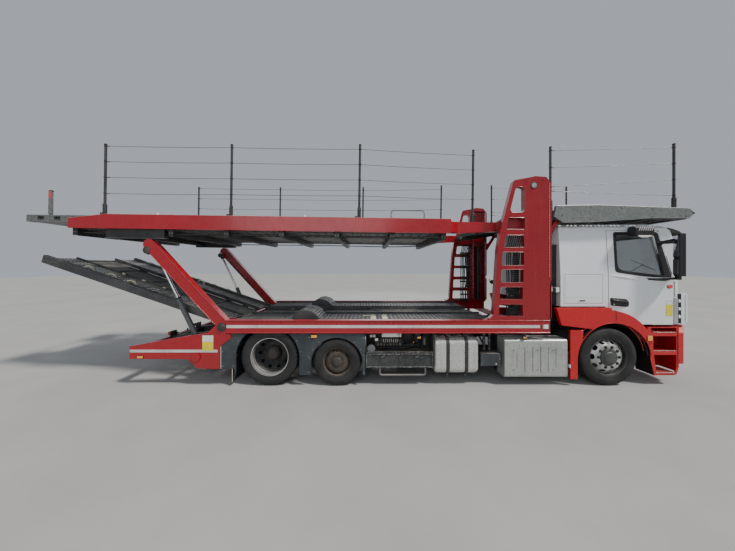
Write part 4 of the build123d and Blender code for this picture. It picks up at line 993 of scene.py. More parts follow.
def pusher_wheel(side_name):
    b, c, x, z = Build(), 1112.0, -4393.0, 383.0
    tyre(b, c, x, z, 383, 122, 222, n=150)
    b.lathe([(-102, 226), (-106, 233), (-100, 237), (-94, 231), (-88, 224), (-40, 210), (24, 206), (34, 196), (40, 206),
             (80, 210), (93, 220), (95, 229), (101, 234), (105, 230), (103, 223)], (x, c, z), (0, 1, 0), "rust", 56)
    b.lathe([(-94, 226), (-86, 216), (-40, 202), (22, 198)], (x, c, z), (0, 1, 0), "dark", 40)
    cone_holes(b, x, z, c + 40, 204, c + 82, 160, 10, 0.17, 0.24, "rust", 7)
    b.lathe([(81, 163), (89, 158), (92, 150), (92, 96), (88, 92), (74, 92), (74, 158)], (x, c, z), (0, 1, 0), "rust", 48)
    nuts(b, x, z, c + 91, 118, 10, 13, 13, "cast", 0.5)
    b.lathe([(70, 91), (92, 90), (97, 84), (98, 72), (106, 68), (112, 58), (115, 24), (116, 0)], (x, c, z), (0, 1, 0), "cast", 36)
    nuts(b, x, z, c + 97, 78, 6, 6, 5, "cast")
    b.lathe([(-20, 39), (-20, 84), (50, 86), (74, 92)], (x, c, z), (0, 1, 0), "cast", 28)
    if side_name == "right":
        b.flipped()
    return b.make("pusher_wheel_detail_" + side_name, "pusher_wheel_" + side_name, "pusher_wheel_" + side_name, slot="tyre")


def drive_wheel(side_name):
    b, x, z, m = Build(), -5488.0, 465.0, 918.5
    for c in (1086.0, 751.0):
        tyre(b, c, x, z, 465, 146, 296, block=True, n=168)
    c = 1086.0
    b.lathe([(-118, 300), (-120, 309), (-114, 313), (-108, 306), (-104, 296), (-74, 288), (-70, 279), (-62, 287), (60, 290)],
            (x, c, z), (0, 1, 0), "barrel", 64)
    b.lathe([(58, 289.8), (62, 290), (108, 294), (116, 304), (122, 311), (127, 307), (126, 297)], (x, c, z), (0, 1, 0), "rim", 64)
    b.lathe([(20, 286.5), (24, 284), (32, 284), (36, 287)], (x, c, z), (0, 1, 0), "rim", 64)
    b.lathe([(-112, 301), (-100, 288), (-80, 276)], (x, c, z), (0, 1, 0), "dark", 48)
    # disc and its holes in the near-black hub finish, partly painted shade
    cone_holes(b, x, z, m + 97, 284, m + 22, 203, 10, 0.20, 0.25, "hub_dark_shaded")
    b.lathe([(24, 206), (17, 198), (16, 190), (16, 118), (4, 114), (4, 200)], (x, m, z), (0, 1, 0), "hub_dark_shaded", 60)
    nuts(b, x, z, m + 17, 167.5, 10, 17, 20, "cast", 0.5)
    b.lathe([(4, 116), (60, 112), (100, 106), (112, 99), (114, 92), (124, 86), (132, 82), (138, 76), (141, 60), (142, 0)],
            (x, m, z), (0, 1, 0), "cast", 44)
    for i in range(12):
        a = 2 * math.pi * i / 12
        b.bolt((x + 90 * math.sin(a), m + 113, z + 90 * math.cos(a)), (0, 1, 0), 7, 8, "cast")
    # inner rim, seen from under the truck
    c = 751.0
    b.lathe([(118, 300), (120, 309), (114, 313), (108, 306), (104, 296), (74, 288), (70, 279), (62, 287), (-60, 290),
             (-108, 294), (-116, 304), (-122, 311), (-127, 307), (-126, 297)], (x, c, z), (0, 1, 0), "dark", 56)
    cone_holes(b, x, z, m - 22, 203, m - 97, 284, 10, 0.20, 0.25, "dark")
    b.lathe([(-24, 206), (-17, 198), (-16, 190), (-16, 110), (-62, 108), (-62, 60), (4, 60)], (x, m, z), (0, 1, 0), "dark", 48)
    if side_name == "right":
        b.flipped()
    return b.make("drive_wheel_detail_" + side_name, "drive_wheel_" + side_name, "drive_wheel_" + side_name, slot="tyre")


for side_name in ("right", "left"):
    front_wheel(side_name)
    pusher_wheel(side_name)
    drive_wheel(side_name)


# ---- lower deck -------------------------------------------------------------------------------------
def sheet_map(x0, x1, y0, y1, z, t, nu, nv, place=None):
    """Flat perforated sheet with its top at z."""
    def f(u, v, w):
        p = (x0 + (x1 - x0) * u / nu, y0 + (y1 - y0) * v / nv, z - t * w)
        return tuple(place @ Vector(p)) if place else p
    return f


def ribbon_map(path, y0, y1, t, nu, nv):
    """Perforated sheet bent along an X, Z path."""
    P = [Vector(p) for p in path]
    seg = [(P[i + 1] - P[i]).length for i in range(len(P) - 1)]
    total = sum(seg)

    def f(u, v, w):
        s = min(max(u / nu, 0), 1) * total
        for i, L in enumerate(seg):
            if s <= L + 1e-6 or i == len(seg) - 1:
                d = (P[i + 1] - P[i]).normalized()
                p = P[i] + d * s
                n = Vector((d.y, -d.x))
                return (p.x + n.x * t * w, y0 + (y1 - y0) * v / nv, p.y + n.y * t * w)
            s -= L
    return f


b = Build()
X0, X1 = -6125.0, -1760.0
for a, e, nu in ((X0 + 4, -5180.0, 13), (-5180.0, -4690.0, 7), (-4690.0, X1 - 4, 41)):
    b.perf(sheet_map(a, e, 395, 1115, 1030, 5, nu, 11), nu, 11, 0.30, 0.27, "deck_mid", power=2.6)
b.box(X0, X1, 1115, 1130, 985, 1062, "deck", 4)
b.box(X0, X1, 380, 395, 985, 1062, "deck", 4)
b.box(X0, X1, 1100, 1116, 985, 995, "deck", 2)
x = X0 + 20
while x < X1 - 30:                                   # ribs under and raised beads on the track
    b.box(x, x + 26, 393, 1117, 987, 1026, "deck", 3)
    x += 149
for x in (-6120, -5700, -5300, -4500, -4060, -3350, -2900, -2450, -2000):
    b.box(x, x + 14, 400, 1110, 1028, 1034, "deck_mid", 2)
hump = smooth_path([(-5180, 1030), (-5140, 1120), (-5060, 1180), (-4960, 1200), (-4860, 1180), (-4770, 1130), (-4690, 1030)], 4)
b.perf(ribbon_map(hump, 446, 1054, 5, 13, 10), 13, 10, 0.30, 0.27, "deck_mid", power=2.6)
for y in (440, 1054):
    b.prism([*hump], "y", y, y + 6, "deck", 1)
for k in (3, 12, 21):
    p = hump[min(k, len(hump) - 1)]
    b.tube([(p[0], 444, p[1] + 1), (p[0], 1056, p[1] + 1)], 5, "deck_worn", 8)
b.mirrored()
# middle plate between the tracks, with stiffening swages and lashing slots
b.box(X0, X1, -382, 382, 962, 984, "deck", 2)
for k in range(28):
    x = X0 + 90 + k * 158
    b.box(x, x + 60, -340, 340, 982, 986, "dark", 2)
for y in (-200, 200):
    b.box(X0 + 10, X1 - 10, y - 20, y + 20, 962, 986, "deck", 3)
for k in range(12):
    x = X0 + 210 + k * 362
    for s in (-1, 1):
        b.tube([(x - 30, s * 372, 990), (x - 22, s * 368, 1012), (x + 22, s * 368, 1012), (x + 30, s * 372, 990)], 6, "zinc_dark", 8)
# pale wheel stops on the near track
for x0 in (-3850, -3650):
    b.box(x0, x0 + 92, -1112, -560, 1029, 1038, "cream", 3)
    b.box(x0 + 34, x0 + 58, -1112, -560, 1037, 1044, "cream", 2)
    b.box(x0 + 20, x0 + 72, -1118, -1098, 1030, 1060, "cream", 3)
b.box(-3990, -3860, -700, -640, 1029, 1046, "cream", 4)
b.make("lower_deck_detail", "root", "lower_deck", slot="dark_steel")


# ---- rear platform ----------------------------------------------------------------------------------
AX, AZ, PA = -6240.0, 962.0, math.radians(18.93)
lean = Matrix.Translation((AX, 0, AZ)) @ Matrix.Rotation(PA, 4, "Y")      # local -X runs back along the platform


def plat(b):
    b.x = lean


b = Build()
plat(b)
L = 3446.0
b.perf(sheet_map(-L + 4, -74, 404, 866, 8, 5, 44, 7), 44, 7, 0.31, 0.28, "deck_worn", power=2.6)
b.box(-L, -60, 866, 880, -78, 58, "deck", 4)
b.box(-L, -60, 924, 938, -78, 58, "deck", 4)
b.box(-L, -60, 868, 936, 44, 58, "deck", 4)
b.box(-L, -60, 868, 936, -78, -66, "deck", 4)
b.box(-L, -70, 385, 402, -30, 40, "deck", 4)
b.box(-L + 40, -120, -1, 390, -46, -34, "deck", 2)
for a in (90, 760, 1430, 2100, 2770, L - 60):
    b.box(-a - 60, -a, -1, 866, -78, -17, "deck", 4)
k = 150
while k < L - 90:
    b.box(-k - 22, -k, 402, 868, -20, 2, "deck", 2)
    k += 111
for k in range(9):                                    # raised cross beads
    a = 260 + k * 350
    b.box(-a - 12, -a, 408, 862, 6, 13, "deck_worn", 2)
for y0, y1 in ((560, 640), (866, 938)):
    b.lathe([(0, 35.5), (0, 60), (3, 62), (y1 - y0 - 3, 62), (y1 - y0, 60), (y1 - y0, 35.5)], (0, y0, 0), (0, 1, 0), "deck", 28)
    b.prism([(-120, -50), (-10, -58), (-20, -14), (-120, -14)], "y", y0 + 2, y1 - 2, "deck", 2)
# shackle bars of the wheel stops, lashing rings and the guide ribs on the outer lip
for a in (1030, 1380, 1780, 2180, 2580, 2980):
    b.tube([(-a, 872, 60), (-a, 872, 78), (-a - 70, 872, 84), (-a - 90, 872, 60)], 7, "deck_worn", 8)
for a in (550, 910, 1310):
    b.tube([(-a, 398, 42), (-a - 8, 404, 62), (-a - 50, 404, 62), (-a - 58, 398, 42)], 6, "zinc_dark", 8)
b.mirrored()
for s, spots in ((-1, (1880, 2250, 2670)), (1, (1630, 2430))):
    for a in spots:                                   # pale plastic hook ends of the chocks
        path = smooth_path([(-a, s * 800, 14), (-a - 20, s * 800, 62), (-a - 80, s * 802, 84), (-a - 140, s * 806, 64), (-a - 150, s * 808, 30)], 4)
        b.tube(path, 15, "cream", 10)
        b.box(-a - 26, -a + 24, s * 770, s * 832, 8, 26, "cream", 4)
for s in (-1, 1):
    for a in (1610, 2030, 2430):
        b.box(-a - 60, -a, s * 410, s * 440, 20, 44, "cream", 5)
for a in (L - 330, L - 230, L - 130):                 # slots in the tail
    for s in (-1, 1):
        b.box(-a - 18, -a, s * 884, s * 920, 57, 62, "zinc", 2)
b.make("rear_platform_detail", "rear_platform", "rear_platform", slot="dark_steel")


# ---- small parts used in many places ----------------------------------------------------------------
def side_lamp(b, x0, x1, y, z0, z1, s, mat="amber", depth=16):
    """Marker lamp on a face at |y|: black foot, moulded lens, two screws."""
    y0, y1 = s * y, s * (y + depth * 0.45)
    b.box(x0 - 5, x1 + 5, y0, y1, z0 - 5, z1 + 5, "plastic", 3)
    b.box(x0, x1, y1, s * (y + depth), z0, z1, mat, 5)
    for x in (x0 + 9, x1 - 9):
        b.cyl((x, s * (y + depth - 1), (z0 + z1) / 2), (x, s * (y + depth + 1), (z0 + z1) / 2), 3.2, "zinc", 8, 0.5)


def hex_row(b, spots, s, y, r=9, h=7, mat="zinc_dark"):
    for x, z in spots:
        b.bolt((x, s * y, z), (0, s, 0), r, h, mat)


def sticker(b, x0, x1, z0, z1, y, s, fields):
    """Blank two-colour panel with a thin dark border; fields: share of the height and colour, from the top."""
    b.box(x0 - 3, x1 + 3, s * (y - 0.4), s * (y + 0.8), z0 - 3, z1 + 3, "plastic", 0.5)
    top = z1
    for share, mat in fields:
        low = top - (z1 - z0) * share
        b.box(x0, x1, s * (y + 0.4), s * (y + 1.6), low + 1, top - 1, mat, 0.4)
        top = low


# ---- side beams, cheeks and tail --------------------------------------------------------------------
b = Build()
for s in (-1, 1):
    # reflective strip, laid in lengths
    x = -6166.0
    while x < -1140:
        e = min(x + 498, -1134)
        b.box(x, e, s * 1251.6, s * 1253.4, 944, 991, "pale", 0.5)
        x += 500
    x = -7716.0
    while x < -6316:
        e = min(x + 498, -6310)
        b.box(x, e, s * 1251.6, s * 1253.4, 553, 597, "pale", 0.5)
        x += 500
    # clear lamp at the front end and its bezel
    b.box(-1096, -992, s * 1251, s * 1259, 926, 1004, "grey_plastic", 4)
    b.box(-1072, -1006, s * 1257, s * 1263, 934, 996, "clear_lens", 5)
    b.box(-1092, -1080, s * 1257, s * 1261, 934, 996, "cream", 2)
    for x0 in (-3105, -1402):                         # amber lamps on rubber feet under the beam
        b.box(x0, x0 + 62, s * 1188, s * 1246, 836, 860, "plastic", 4)
        b.box(x0 + 14, x0 + 48, s * 1206, s * 1240, 800, 840, "hose", 4)
        b.box(x0 - 2, x0 + 64, s * 1210, s * 1244, 766, 806, "plastic", 7)
        for q in (16, 46):
            b.cyl((x0 + q, s * 1240, 786), (x0 + q, s * 1253, 786), 13, "amber", 18, 4)
    hex_row(b, [(x, z) for x in (-4890, -4930, -3880, -3300, -2640, -1800, -1180) for z in (896, 1030)], s, 1251.5, 9, 6, "red")
    # cheek: blank panel, caps over the shaft ends, lamps, bolts
    sticker(b, -6552, -6376, 580, 827, 1252, s, [(0.42, "white_panel"), (0.58, "yellow")])
    b.lathe([(0, 0), (0, 68), (5, 70), (9, 66), (11, 44), (16, 40), (18, 22), (20, 0)], (-6240, s * 1262, 962), (0, s, 0), "black", 40)
    for i in range(6):
        a = math.radians(60 * i + 15)
        b.bolt((-6240 + 54 * math.cos(a), s * 1270, 962 + 54 * math.sin(a)), (0, s, 0), 5, 4, "zinc_dark")
    b.lathe([(0, 66), (0, 74), (5, 74), (5, 56), (2, 52), (2, 30), (6, 28), (8, 0)], (-6655, s * 1262, 482), (0, s, 0), "red", 36)
    side_lamp(b, -7590, -7500, 1252, 462, 498, s)
    hex_row(b, [(-6930, 530), (-7010, 700), (-7300, 640), (-7640, 520), (-6180, 1000), (-6180, 900)], s, 1251.5, 10, 7, "red")
    # folded lip along the cheek's top and lower edges
    top = [(-7721, 647), (-6801, 812), (-6569, 842), (-6482, 855), (-6311, 1007), (-6252, 1063)]
    for i in range(len(top) - 1):
        (xa, za), (xb, zb) = top[i], top[i + 1]
        d = Vector((xb - xa, zb - za)).normalized()
        n = Vector((-d.y, d.x)) * 4
        b.prism([(xa, za), (xb, zb), (xb + n.x, zb + n.y), (xa + n.x, za + n.y)], "y", s * 1222, s * 1254, "red", 0.8)
    low = [(-7724, 452), (-6790, 447), (-6629, 299), (-6274, 287)]
    for i in range(len(low) - 1):
        (xa, za), (xb, zb) = low[i], low[i + 1]
        d = Vector((xb - xa, zb - za)).normalized()
        n = Vector((d.y, -d.x)) * 3
        b.prism([(xa, za), (xb, zb), (xb + n.x, zb + n.y), (xa + n.x, za + n.y)], "y", s * 1226, s * 1252, "red", 0.8)
    # tail lamp cluster and blank plate backing
    b.box(-7738, -7724, s * 700, s * 1130, 476, 580, "plastic", 6)
    for y0, y1, mat in ((712, 800, "red_lens"), (806, 880, "amber"), (886, 960, "red_lens"), (966, 1030, "clear_lens"), (1036, 1118, "red_lens")):
        b.box(-7748, -7736, s * y0, s * y1, 484, 572, mat, 6)
    b.box(-7731, -7723, s * 1150, s * 1232, 470, 584, "yellow", 2)
    b.lathe([(0, 0), (0, 36), (8, 36), (11, 28), (12, 0)], (-7724, s * 620, 530), (-1, 0, 0), "red_lens", 28)
    # stowed ratchet on the cheek's inner plate and grease nipples
    b.cyl((-6655, s * 950, 482), (-6655, s * 940, 482), 34, "zinc_dark", 24)
    b.cyl((-6240, s * 976, 1010), (-6240, s * 976, 1032), 6, "zinc_dark", 8)
b.box(-7729, -7723, -260, 260, 488, 598, "stone", 2)
b.box(-7733, -7727, -270, 270, 480, 490, "plastic", 2)
for y in (-150, 150):
    b.box(-7736, -7722, y - 26, y + 26, 600, 622, "plastic", 4)
    b.box(-7734, -7724, y - 20, y + 20, 594, 601, "clear_lens", 2)
for y in (-430, -340, 340, 430):                      # air and electric couplings at the tail
    b.lathe([(0, 0), (0, 26), (14, 26), (18, 32), (40, 32), (44, 27), (52, 24), (52, 0)], (-7652, y, 660), (-1, 0, 0),
            {-430: "red_lens", -340: "yellow", 340: "plastic", 430: "plastic"}[y], 24)
b.box(-7652, -7630, -470, -300, 598, 700, "dark", 3)
b.box(-7652, -7630, 300, 470, 598, 700, "dark", 3)
b.make("beam_and_tail_detail", "root", slot="red_paint")

# drawbar jaw: worn mouth plates, locking lever and pin collar
b = Build()
for z in (338, 400):
    b.lathe([(0, 27), (0, 66), (5 if z < 400 else -5, 62), (5 if z < 400 else -5, 29)], (-7770, 0, z), (0, 0, 1), "chrome", 40)
b.box(-7650, -7560, -98, 98, 300, 312, "rust", 3)
b.tube(smooth_path([(-7600, 112, 430), (-7600, 150, 436), (-7596, 190, 450), (-7592, 215, 500), (-7590, 222, 520)], 5), 10, "rust", 10)
b.ball((-7590, 222, 528), 17, "plastic")
for y in (-84, 84):
    for z in (320, 450):
        b.bolt((-7640, y, z), (-1, 0, 0), 11, 9, "zinc_dark")
b.make("jaw_detail", "root", slot="cast")

# mudguards: rolled arch edge, bolts, lamp, flap clamps
b = Build()
for s in (-1, 1):
    for cx, cz, r, lo in ((-5510.0, 465.0, 512, -4), (-4395.0, 373.0, 413, -2)):
        pts = [(cx + (r + 5) * math.cos(math.radians(a)), s * 1238, cz + (r + 5) * math.sin(math.radians(a))) for a in range(2, 180, 4)]
        b.tube([(cx + r + 5, s * 1238, 200)] + pts + [(cx - r - 5, s * 1238, 200)], 6, "panel", 8)
        for a in range(10, 180, 20):
            if 60 < a < 120:
                continue
            b.bolt((cx + (r + 34) * math.cos(math.radians(a)), s * 1239, cz + (r + 34) * math.sin(math.radians(a))), (0, s, 0), 7, 5, "zinc")
    for x, z in ((-6235, 330), (-6235, 560), (-6235, 790), (-6060, 330), (-4850, 230), (-4850, 480), (-3965, 220), (-3965, 500), (-3965, 780), (-4840, 790)):
        b.bolt((x, s * 1239, z), (0, s, 0), 8, 5, "zinc")
    b.tube([(-6262, s * 1239, 292), (-6262, s * 1239, 842)], 5, "pale", 8)
    side_lamp(b, -4806, -4716, 1240, 788, 828, s)
    b.box(-4960, -4930, s * 1239, s * 1243, 188, 560, "panel", 2)       # joint cover between the two arches
    # clamp strip and ribs of the mud flap
    b.box(-6096, -6066, s * 604, s * 1228, 446, 470, "zinc_dark", 2)
    for k in range(8):
        b.bolt((-6096, s * (650 + k * 76), 458), (-1, 0, 0), 7, 5, "zinc")
        b.box(-6093, -6088, s * (640 + k * 74), s * (652 + k * 74), 90, 430, "hose", 1.5)
    b.tube([(-6081, s * 1234, 72), (-6081, s * 1234, 468)], 4, "cream", 8)
b.make("mudguard_detail", "root", slot="plastic")

# ---- lifting arms and cylinders ---------------------------------------------------------------------
b = Build()
AD = Vector((math.cos(math.radians(180 - (180 - 132.485))), 0, math.sin(math.radians(132.485))))
AN = Vector((-AD.z, 0, AD.x))
P0, P1 = Vector((-6240, 0, 962)), Vector((-7489, 0, 2200))
# outer cover plates with their weld beads, bosses and pins
for y in (1078, 1202):
    def edge(off, y=y):
        return [tuple(P0 + AD * t + AN * off + Vector((0, y, 0))) for t in (130, 500, 900, 1300, 1675)]
    for off in (-84, 84):
        b.tube(edge(off), 5, "red", 8)
for t in (250, 1500):
    for off in (-48, 48):
        p = P0 + AD * t + AN * off
        b.bolt((p.x, 1200, p.z), (0, 1, 0), 10, 7, "red")
b.lathe([(0, 0), (0, 58), (8, 60), (12, 54), (14, 30), (18, 26), (19, 0)], (P1.x, 1199, P1.z), (0, 1, 0), "cast", 36)
b.lathe([(0, 96), (0, 106), (10, 106), (14, 100), (14, 60)], (P0.x, 1190, P0.z), (0, 1, 0), "red", 44)
b.lathe([(0, 36), (0, 48), (6, 50), (9, 44), (9, 0)], (P1.x, 969, P1.z), (0, -1, 0), "cast", 28)
# wheel roller block on the arm's head, under the upper deck
b.lathe([(-26, 0), (-26, 66), (-18, 74), (18, 74), (26, 66), (26, 0)], (P1.x, 1140, P1.z), (0, 1, 0), "cast", 40)
# hose along the arm, in clips
path = [tuple(P0 + AD * t + AN * 60 + Vector((0, 1072, 0))) for t in (60, 300, 700, 1100, 1500)]
b.tube(path, 8, "hose", 10)
for t in (200, 600, 1000, 1400):
    p = P0 + AD * t + AN * 60
    b.box(p.x - 14, p.x + 14, 1062, 1080, p.z - 12, p.z + 12, "zinc_dark", 3)
b.mirrored()
b.make("rear_arm_detail", "rear_arms", slot="red_paint")

FX, FZ, EX, EZ = -6655.0, 482.0, -7489.0, 2200.0
LD = Vector((EX - FX, 0, EZ - FZ)).normalized()
LN = Vector((-LD.z, 0, LD.x))


def on(t, off=0.0, y=1020.0):
    p = Vector((FX, 0, FZ)) + LD * t + LN * off
    return (p.x, y, p.z)


b = Build()
b.cyl(on(108), on(130), 46, "black", 36)
b.cyl(on(930), on(952), 44, "grey_plastic", 36)
b.cyl(on(1000), on(1026), 46, "black", 36, r1=45)
b.lathe([(0, 25), (0, 34), (10, 32), (12, 25)], on(1019), tuple(LD), "hose", 28)
for t in (170, 905):                                  # ports with their banjo bolts
    b.cyl(on(t, 34), on(t, 62), 16, "black", 16)
    b.bolt(on(t, 60), tuple(LN), 12, 12, "zinc_dark")
b.tube([on(190, 54), on(230, 60), on(400, 50), on(700, 48), on(880, 52), on(905, 62)], 7, "zinc_dark", 10)
for t in (300, 520, 740):
    b.lathe([(-9, 37), (-9, 41), (9, 41), (9, 37)], on(t), tuple(LD), "zinc_dark", 32)
    b.box(*[v for p in zip([c - 9 for c in on(t, 45)], [c + 9 for c in on(t, 45)]) for v in p], "zinc_dark", 3)
b.lathe([(0, 26), (0, 58), (6, 60), (10, 56), (10, 26)], (FX, 1048, FZ), (0, 1, 0), "black", 32)
b.mirrored()
b.make("lift_barrel_detail", "lift_barrels", slot="grey_steel")

b = Build()
length = math.hypot(EX - FX, EZ - FZ)
b.lathe([(length - 96, 24), (length - 92, 34), (length - 40, 40), (length - 30, 34), (length - 30, 24)], (FX, 1020, FZ), tuple(LD), "black", 32)
b.lathe([(-26, 41), (-26, 52), (-22, 56), (22, 56), (26, 52), (26, 41)], (EX, 1018, EZ), (0, 1, 0), "black", 36)
b.cyl(on(length + 52), on(length + 68), 7, "zinc_dark", 8)
b.mirrored()
b.make("lift_rod_detail", "lift_rods", slot="chrome")

# ---- boxes and tanks between the axles ---------------------------------------------------------------
def skin_box(b, x0, x1, y0, y1, z0, z1, r, mat, grooves=(), end_r=12.0, step=None, mask=None, ends=True, n_arc=8, rings=()):
    """Pressed sheet box lying along X: rounded section, soft ends, vertical grooves (x, half width, depth, z0, z1) in the
    outer face (y1), and raised rings (x, half width, height) all round."""
    cy, cz = (y0 + y1) / 2, (z0 + z1) / 2
    hy, hz = abs(y1 - y0) / 2, (z1 - z0) / 2
    lo_y, hi_y = min(y0, y1), max(y0, y1)
    sec = []                                   # y, z, ny, nz
    corners = [(hi_y - r, z1 - r, 0), (lo_y + r, z1 - r, 90), (lo_y + r, z0 + r, 180), (hi_y - r, z0 + r, 270)]
    for cyy, czz, a0 in corners:
        for i in range(n_arc + 1):
            a = math.radians(a0 + 90 * i / n_arc)
            sec.append((cyy + r * math.cos(a), czz + r * math.sin(a), math.cos(a), math.sin(a)))
        # points along the straight side that follows
        nxt = {0: (lo_y + r, z1, 0, 1), 90: (lo_y, z0 + r, -1, 0), 180: (hi_y - r, z0, 0, -1), 270: (hi_y, z1 - r, 1, 0)}[a0]
        y, z = sec[-1][0], sec[-1][1]
        extra = []
        if a0 in (90, 270):
            zs = sorted({round(v, 2) for g in grooves for v in (g[3] - 8, g[3] + 8, g[4] - 8, g[4] + 8)})
            zs = [v for v in zs if min(z, nxt[1]) + 2 < v < max(z, nxt[1]) - 2]
            if a0 == 90:
                zs = zs[::-1]
            extra = [(y, v, nxt[2], nxt[3]) for v in zs]
        sec += extra
    outer = 1 if y1 > y0 else -1
    xs = {x0, x1}
    for e in (0.0, 0.12, 0.3, 0.55, 1.0):
        xs |= {x0 + end_r * e, x1 - end_r * e}
    for g in grooves:
        xs |= {g[0] - g[1], g[0] - g[1] * 0.45, g[0] + g[1] * 0.45, g[0] + g[1]}
    for g in rings:
        xs |= {g[0] - g[1] - 3, g[0] - g[1], g[0] + g[1], g[0] + g[1] + 3}
    xs = sorted(xs)
    verts, faces = [], []
    m = len(sec)
    for x in xs:
        e = min(x - x0, x1 - x)
        pull = 0.0
        if e < end_r:
            t = 1 - e / end_r
            pull = end_r * (1 - math.sqrt(max(0, 1 - t * t)))
        for y, z, ny, nz in sec:
            d = pull
            if ny * outer > 0.99:
                for gx, gw, gd, g0, g1 in grooves:
                    if abs(x - gx) <= gw * 0.5 and g0 + 7 <= z <= g1 - 7:
                        d += gd
            for gx, gw, gh in rings:
                if abs(x - gx) <= gw:
                    d -= gh
            verts.append((x, y - ny * d, z - nz * d))
    for i in range(len(xs) - 1):
        for j in range(m):
            k = (j + 1) % m
            faces.append((i * m + j, i * m + k, (i + 1) * m + k, (i + 1) * m + j))
    faces.append(tuple(range(m)))
    faces.append(tuple(reversed(range((len(xs) - 1) * m, len(xs) * m))))
    b.add(verts, faces, mat)


# silencer and catalyst box
b = Build()
gx = [(-1489, 6, 11, 300, 560), (-1363, 9, 12, 219, 640), (-1234, 9, 12, 219, 640), (-1108, 9, 12, 219, 640), (-985, 6, 11, 219, 627),
      (-861, 6, 11, 300, 600)]
skin_box(b, -1684, -676, -590, -1180, 141, 751, 42, "black", (), 14)             # black box behind the cover: painted shade for the box's shaded inner half and ends
skin_box(b, -1690, -670, -1010, -1228, 137, 755, 45, "alu_box", gx, 16)
b.box(-1687, -673, -960, -1008, 137, 755, "alu_box", 6)
for x in (-1690 + 14, -670 - 14):                     # rolled seams at the ends
    skin_box(b, x - 9, x + 9, -1004, -1230.5, 135, 757, 46, "alu_box", (), 3)
for x, z in [(x, z) for x in (-1540, -1160, -905) for z in (582, 264)]:
    b.lathe([(-1, 0), (-1, 17), (0.5, 19), (2, 17), (1, 11)], (x, -1227.5, z), (0, -1, 0), "alu_box", 24)
    b.bolt((x, -1228, z), (0, -1, 0), 8, 6, "zinc_dark")
for x0 in (-1500, -960):
    b.box(x0, x0 + 60, -425, -600, 350, 740, "dark", 4)
    b.box(x0 - 10, x0 + 70, -596, -604, 330, 750, "dark", 2)
b.cyl((-1180, -760, 137), (-1180, -760, 60), 62, "rust", 28)                   # outlet
b.lathe([(0, 64), (0, 70), (16, 70), (18, 64)], (-1180, -760, 92), (0, 0, -1), "zinc_dark", 28)
b.tube(smooth_path([(-1600, -700, 745), (-1610, -700, 800), (-1560, -660, 828), (-1400, -560, 832), (-1200, -520, 832)], 6), 38, "rust", 18)
b.box(-1050, -930, -640, -820, 754, 782, "plastic", 8)
for x in (-1030, -950):
    b.bolt((x, -730, 780), (0, 0, 1), 8, 6, "zinc")
b.tube(smooth_path([(-990, -700, 780), (-980, -690, 830), (-930, -640, 850), (-860, -560, 850)], 5), 12, "hose", 10)
b.make("silencer_detail", "root", "silencer_box", slot="tank_alu")

# fuel tank with straps
b = Build()
skin_box(b, -2820, -2095, -640, -1225, 187, 776, 108, "alu", (), 62, n_arc=14)
for x in (-2600, -2300):
    skin_box(b, x - 29, x + 29, -636, -1227.5, 184, 779, 110, "hose", (), 2, n_arc=14)
    skin_box(b, x - 22, x + 22, -632, -1232, 179, 784, 114, "dark", (), 2, n_arc=14)
    b.box(x - 30, x + 30, -425, -640, 300, 330, "dark", 3)
    b.box(x - 30, x - 22, -425, -644, 190, 780, "dark", 2)
    b.box(x + 22, x + 30, -425, -644, 190, 780, "dark", 2)
    b.prism([(-660, 186), (-1180, 186), (-1180, 176), (-660, 150)], "x", x - 26, x + 26, "dark", 2)
    b.cyl((x, -1150, 182), (x, -1150, 150), 11, "zinc_dark", 12)
    b.bolt((x, -1150, 152), (0, 0, -1), 16, 12, "zinc_dark")
b.lathe([(0, 62), (6, 62), (10, 50), (22, 48)], (-2450, -1050, 770), (0, 0, 1), "alu", 32)
b.lathe([(14, 46), (14, 56), (34, 56), (38, 50), (38, 0)], (-2450, -1050, 768), (0, 0, 1), "black", 32)
for i in range(3):
    a = math.radians(120 * i + 20)
    b.box(-2450 + 20 * math.cos(a) - 5, -2450 + 20 * math.cos(a) + 5, -1050 + 20 * math.sin(a) - 16, -1050 + 20 * math.sin(a) + 16, 804, 812, "black", 2)
b.box(-2720, -2640, -820, -1120, 774, 780, "alu", 2)
b.lathe([(0, 0), (0, 44), (7, 44), (10, 30), (16, 28), (16, 0)], (-2690, -960, 772), (0, 0, 1), "plastic", 28)
for i in range(5):
    a = math.radians(72 * i)
    b.bolt((-2690 + 37 * math.cos(a), -960 + 37 * math.sin(a), 779), (0, 0, 1), 4, 4, "zinc")
b.tube(smooth_path([(-2690, -960, 788), (-2690, -940, 830), (-2660, -860, 842), (-2600, -700, 846), (-2560, -500, 846)], 5), 9, "hose", 10)
b.cyl((-2240, -930, 186), (-2240, -930, 174), 14, "alu", 14)
b.make("fuel_tank_detail", "root", "fuel_tank", slot="tank_alu")

# tool box: checker plate in an angle frame, worn bright on the edges, latches and the side guard bar
b = Build()
TX0, TX1, TZ0, TZ1 = -3930.0, -2840.0, 300.0, 528.0
b.box(TX0 + 3, TX1 - 3, -762, -1222, TZ0 + 3, TZ1 - 3, "checker", 5)
for z in (TZ0, TZ1 - 22):
    b.box(TX0, TX1, -1219, -1231, z, z + 22, "edge_worn", 2.5)
b.box(TX0, TX1, -1150, -1229, TZ1 - 4, TZ1 + 0, "edge_worn", 1.2)
for x in (TX0, TX1 - 24):
    b.box(x, x + 24, -1219, -1231.5, TZ0, TZ1, "edge_worn", 2.5)
b.box(-3392, -3378, -1220, -1229, TZ0 + 20, TZ1 - 20, "checker", 1.5)           # meeting edge of the two lids
for x in (-3660, -3110):
    b.box(x - 34, x + 34, -1221, -1229, 452, 500, "plastic", 4)
    b.box(x - 20, x + 20, -1227, -1232, 462, 478, "zinc_dark", 2)
    b.cyl((x + 24, -1228, 488), (x + 24, -1232, 488), 6, "chrome", 14, 1)
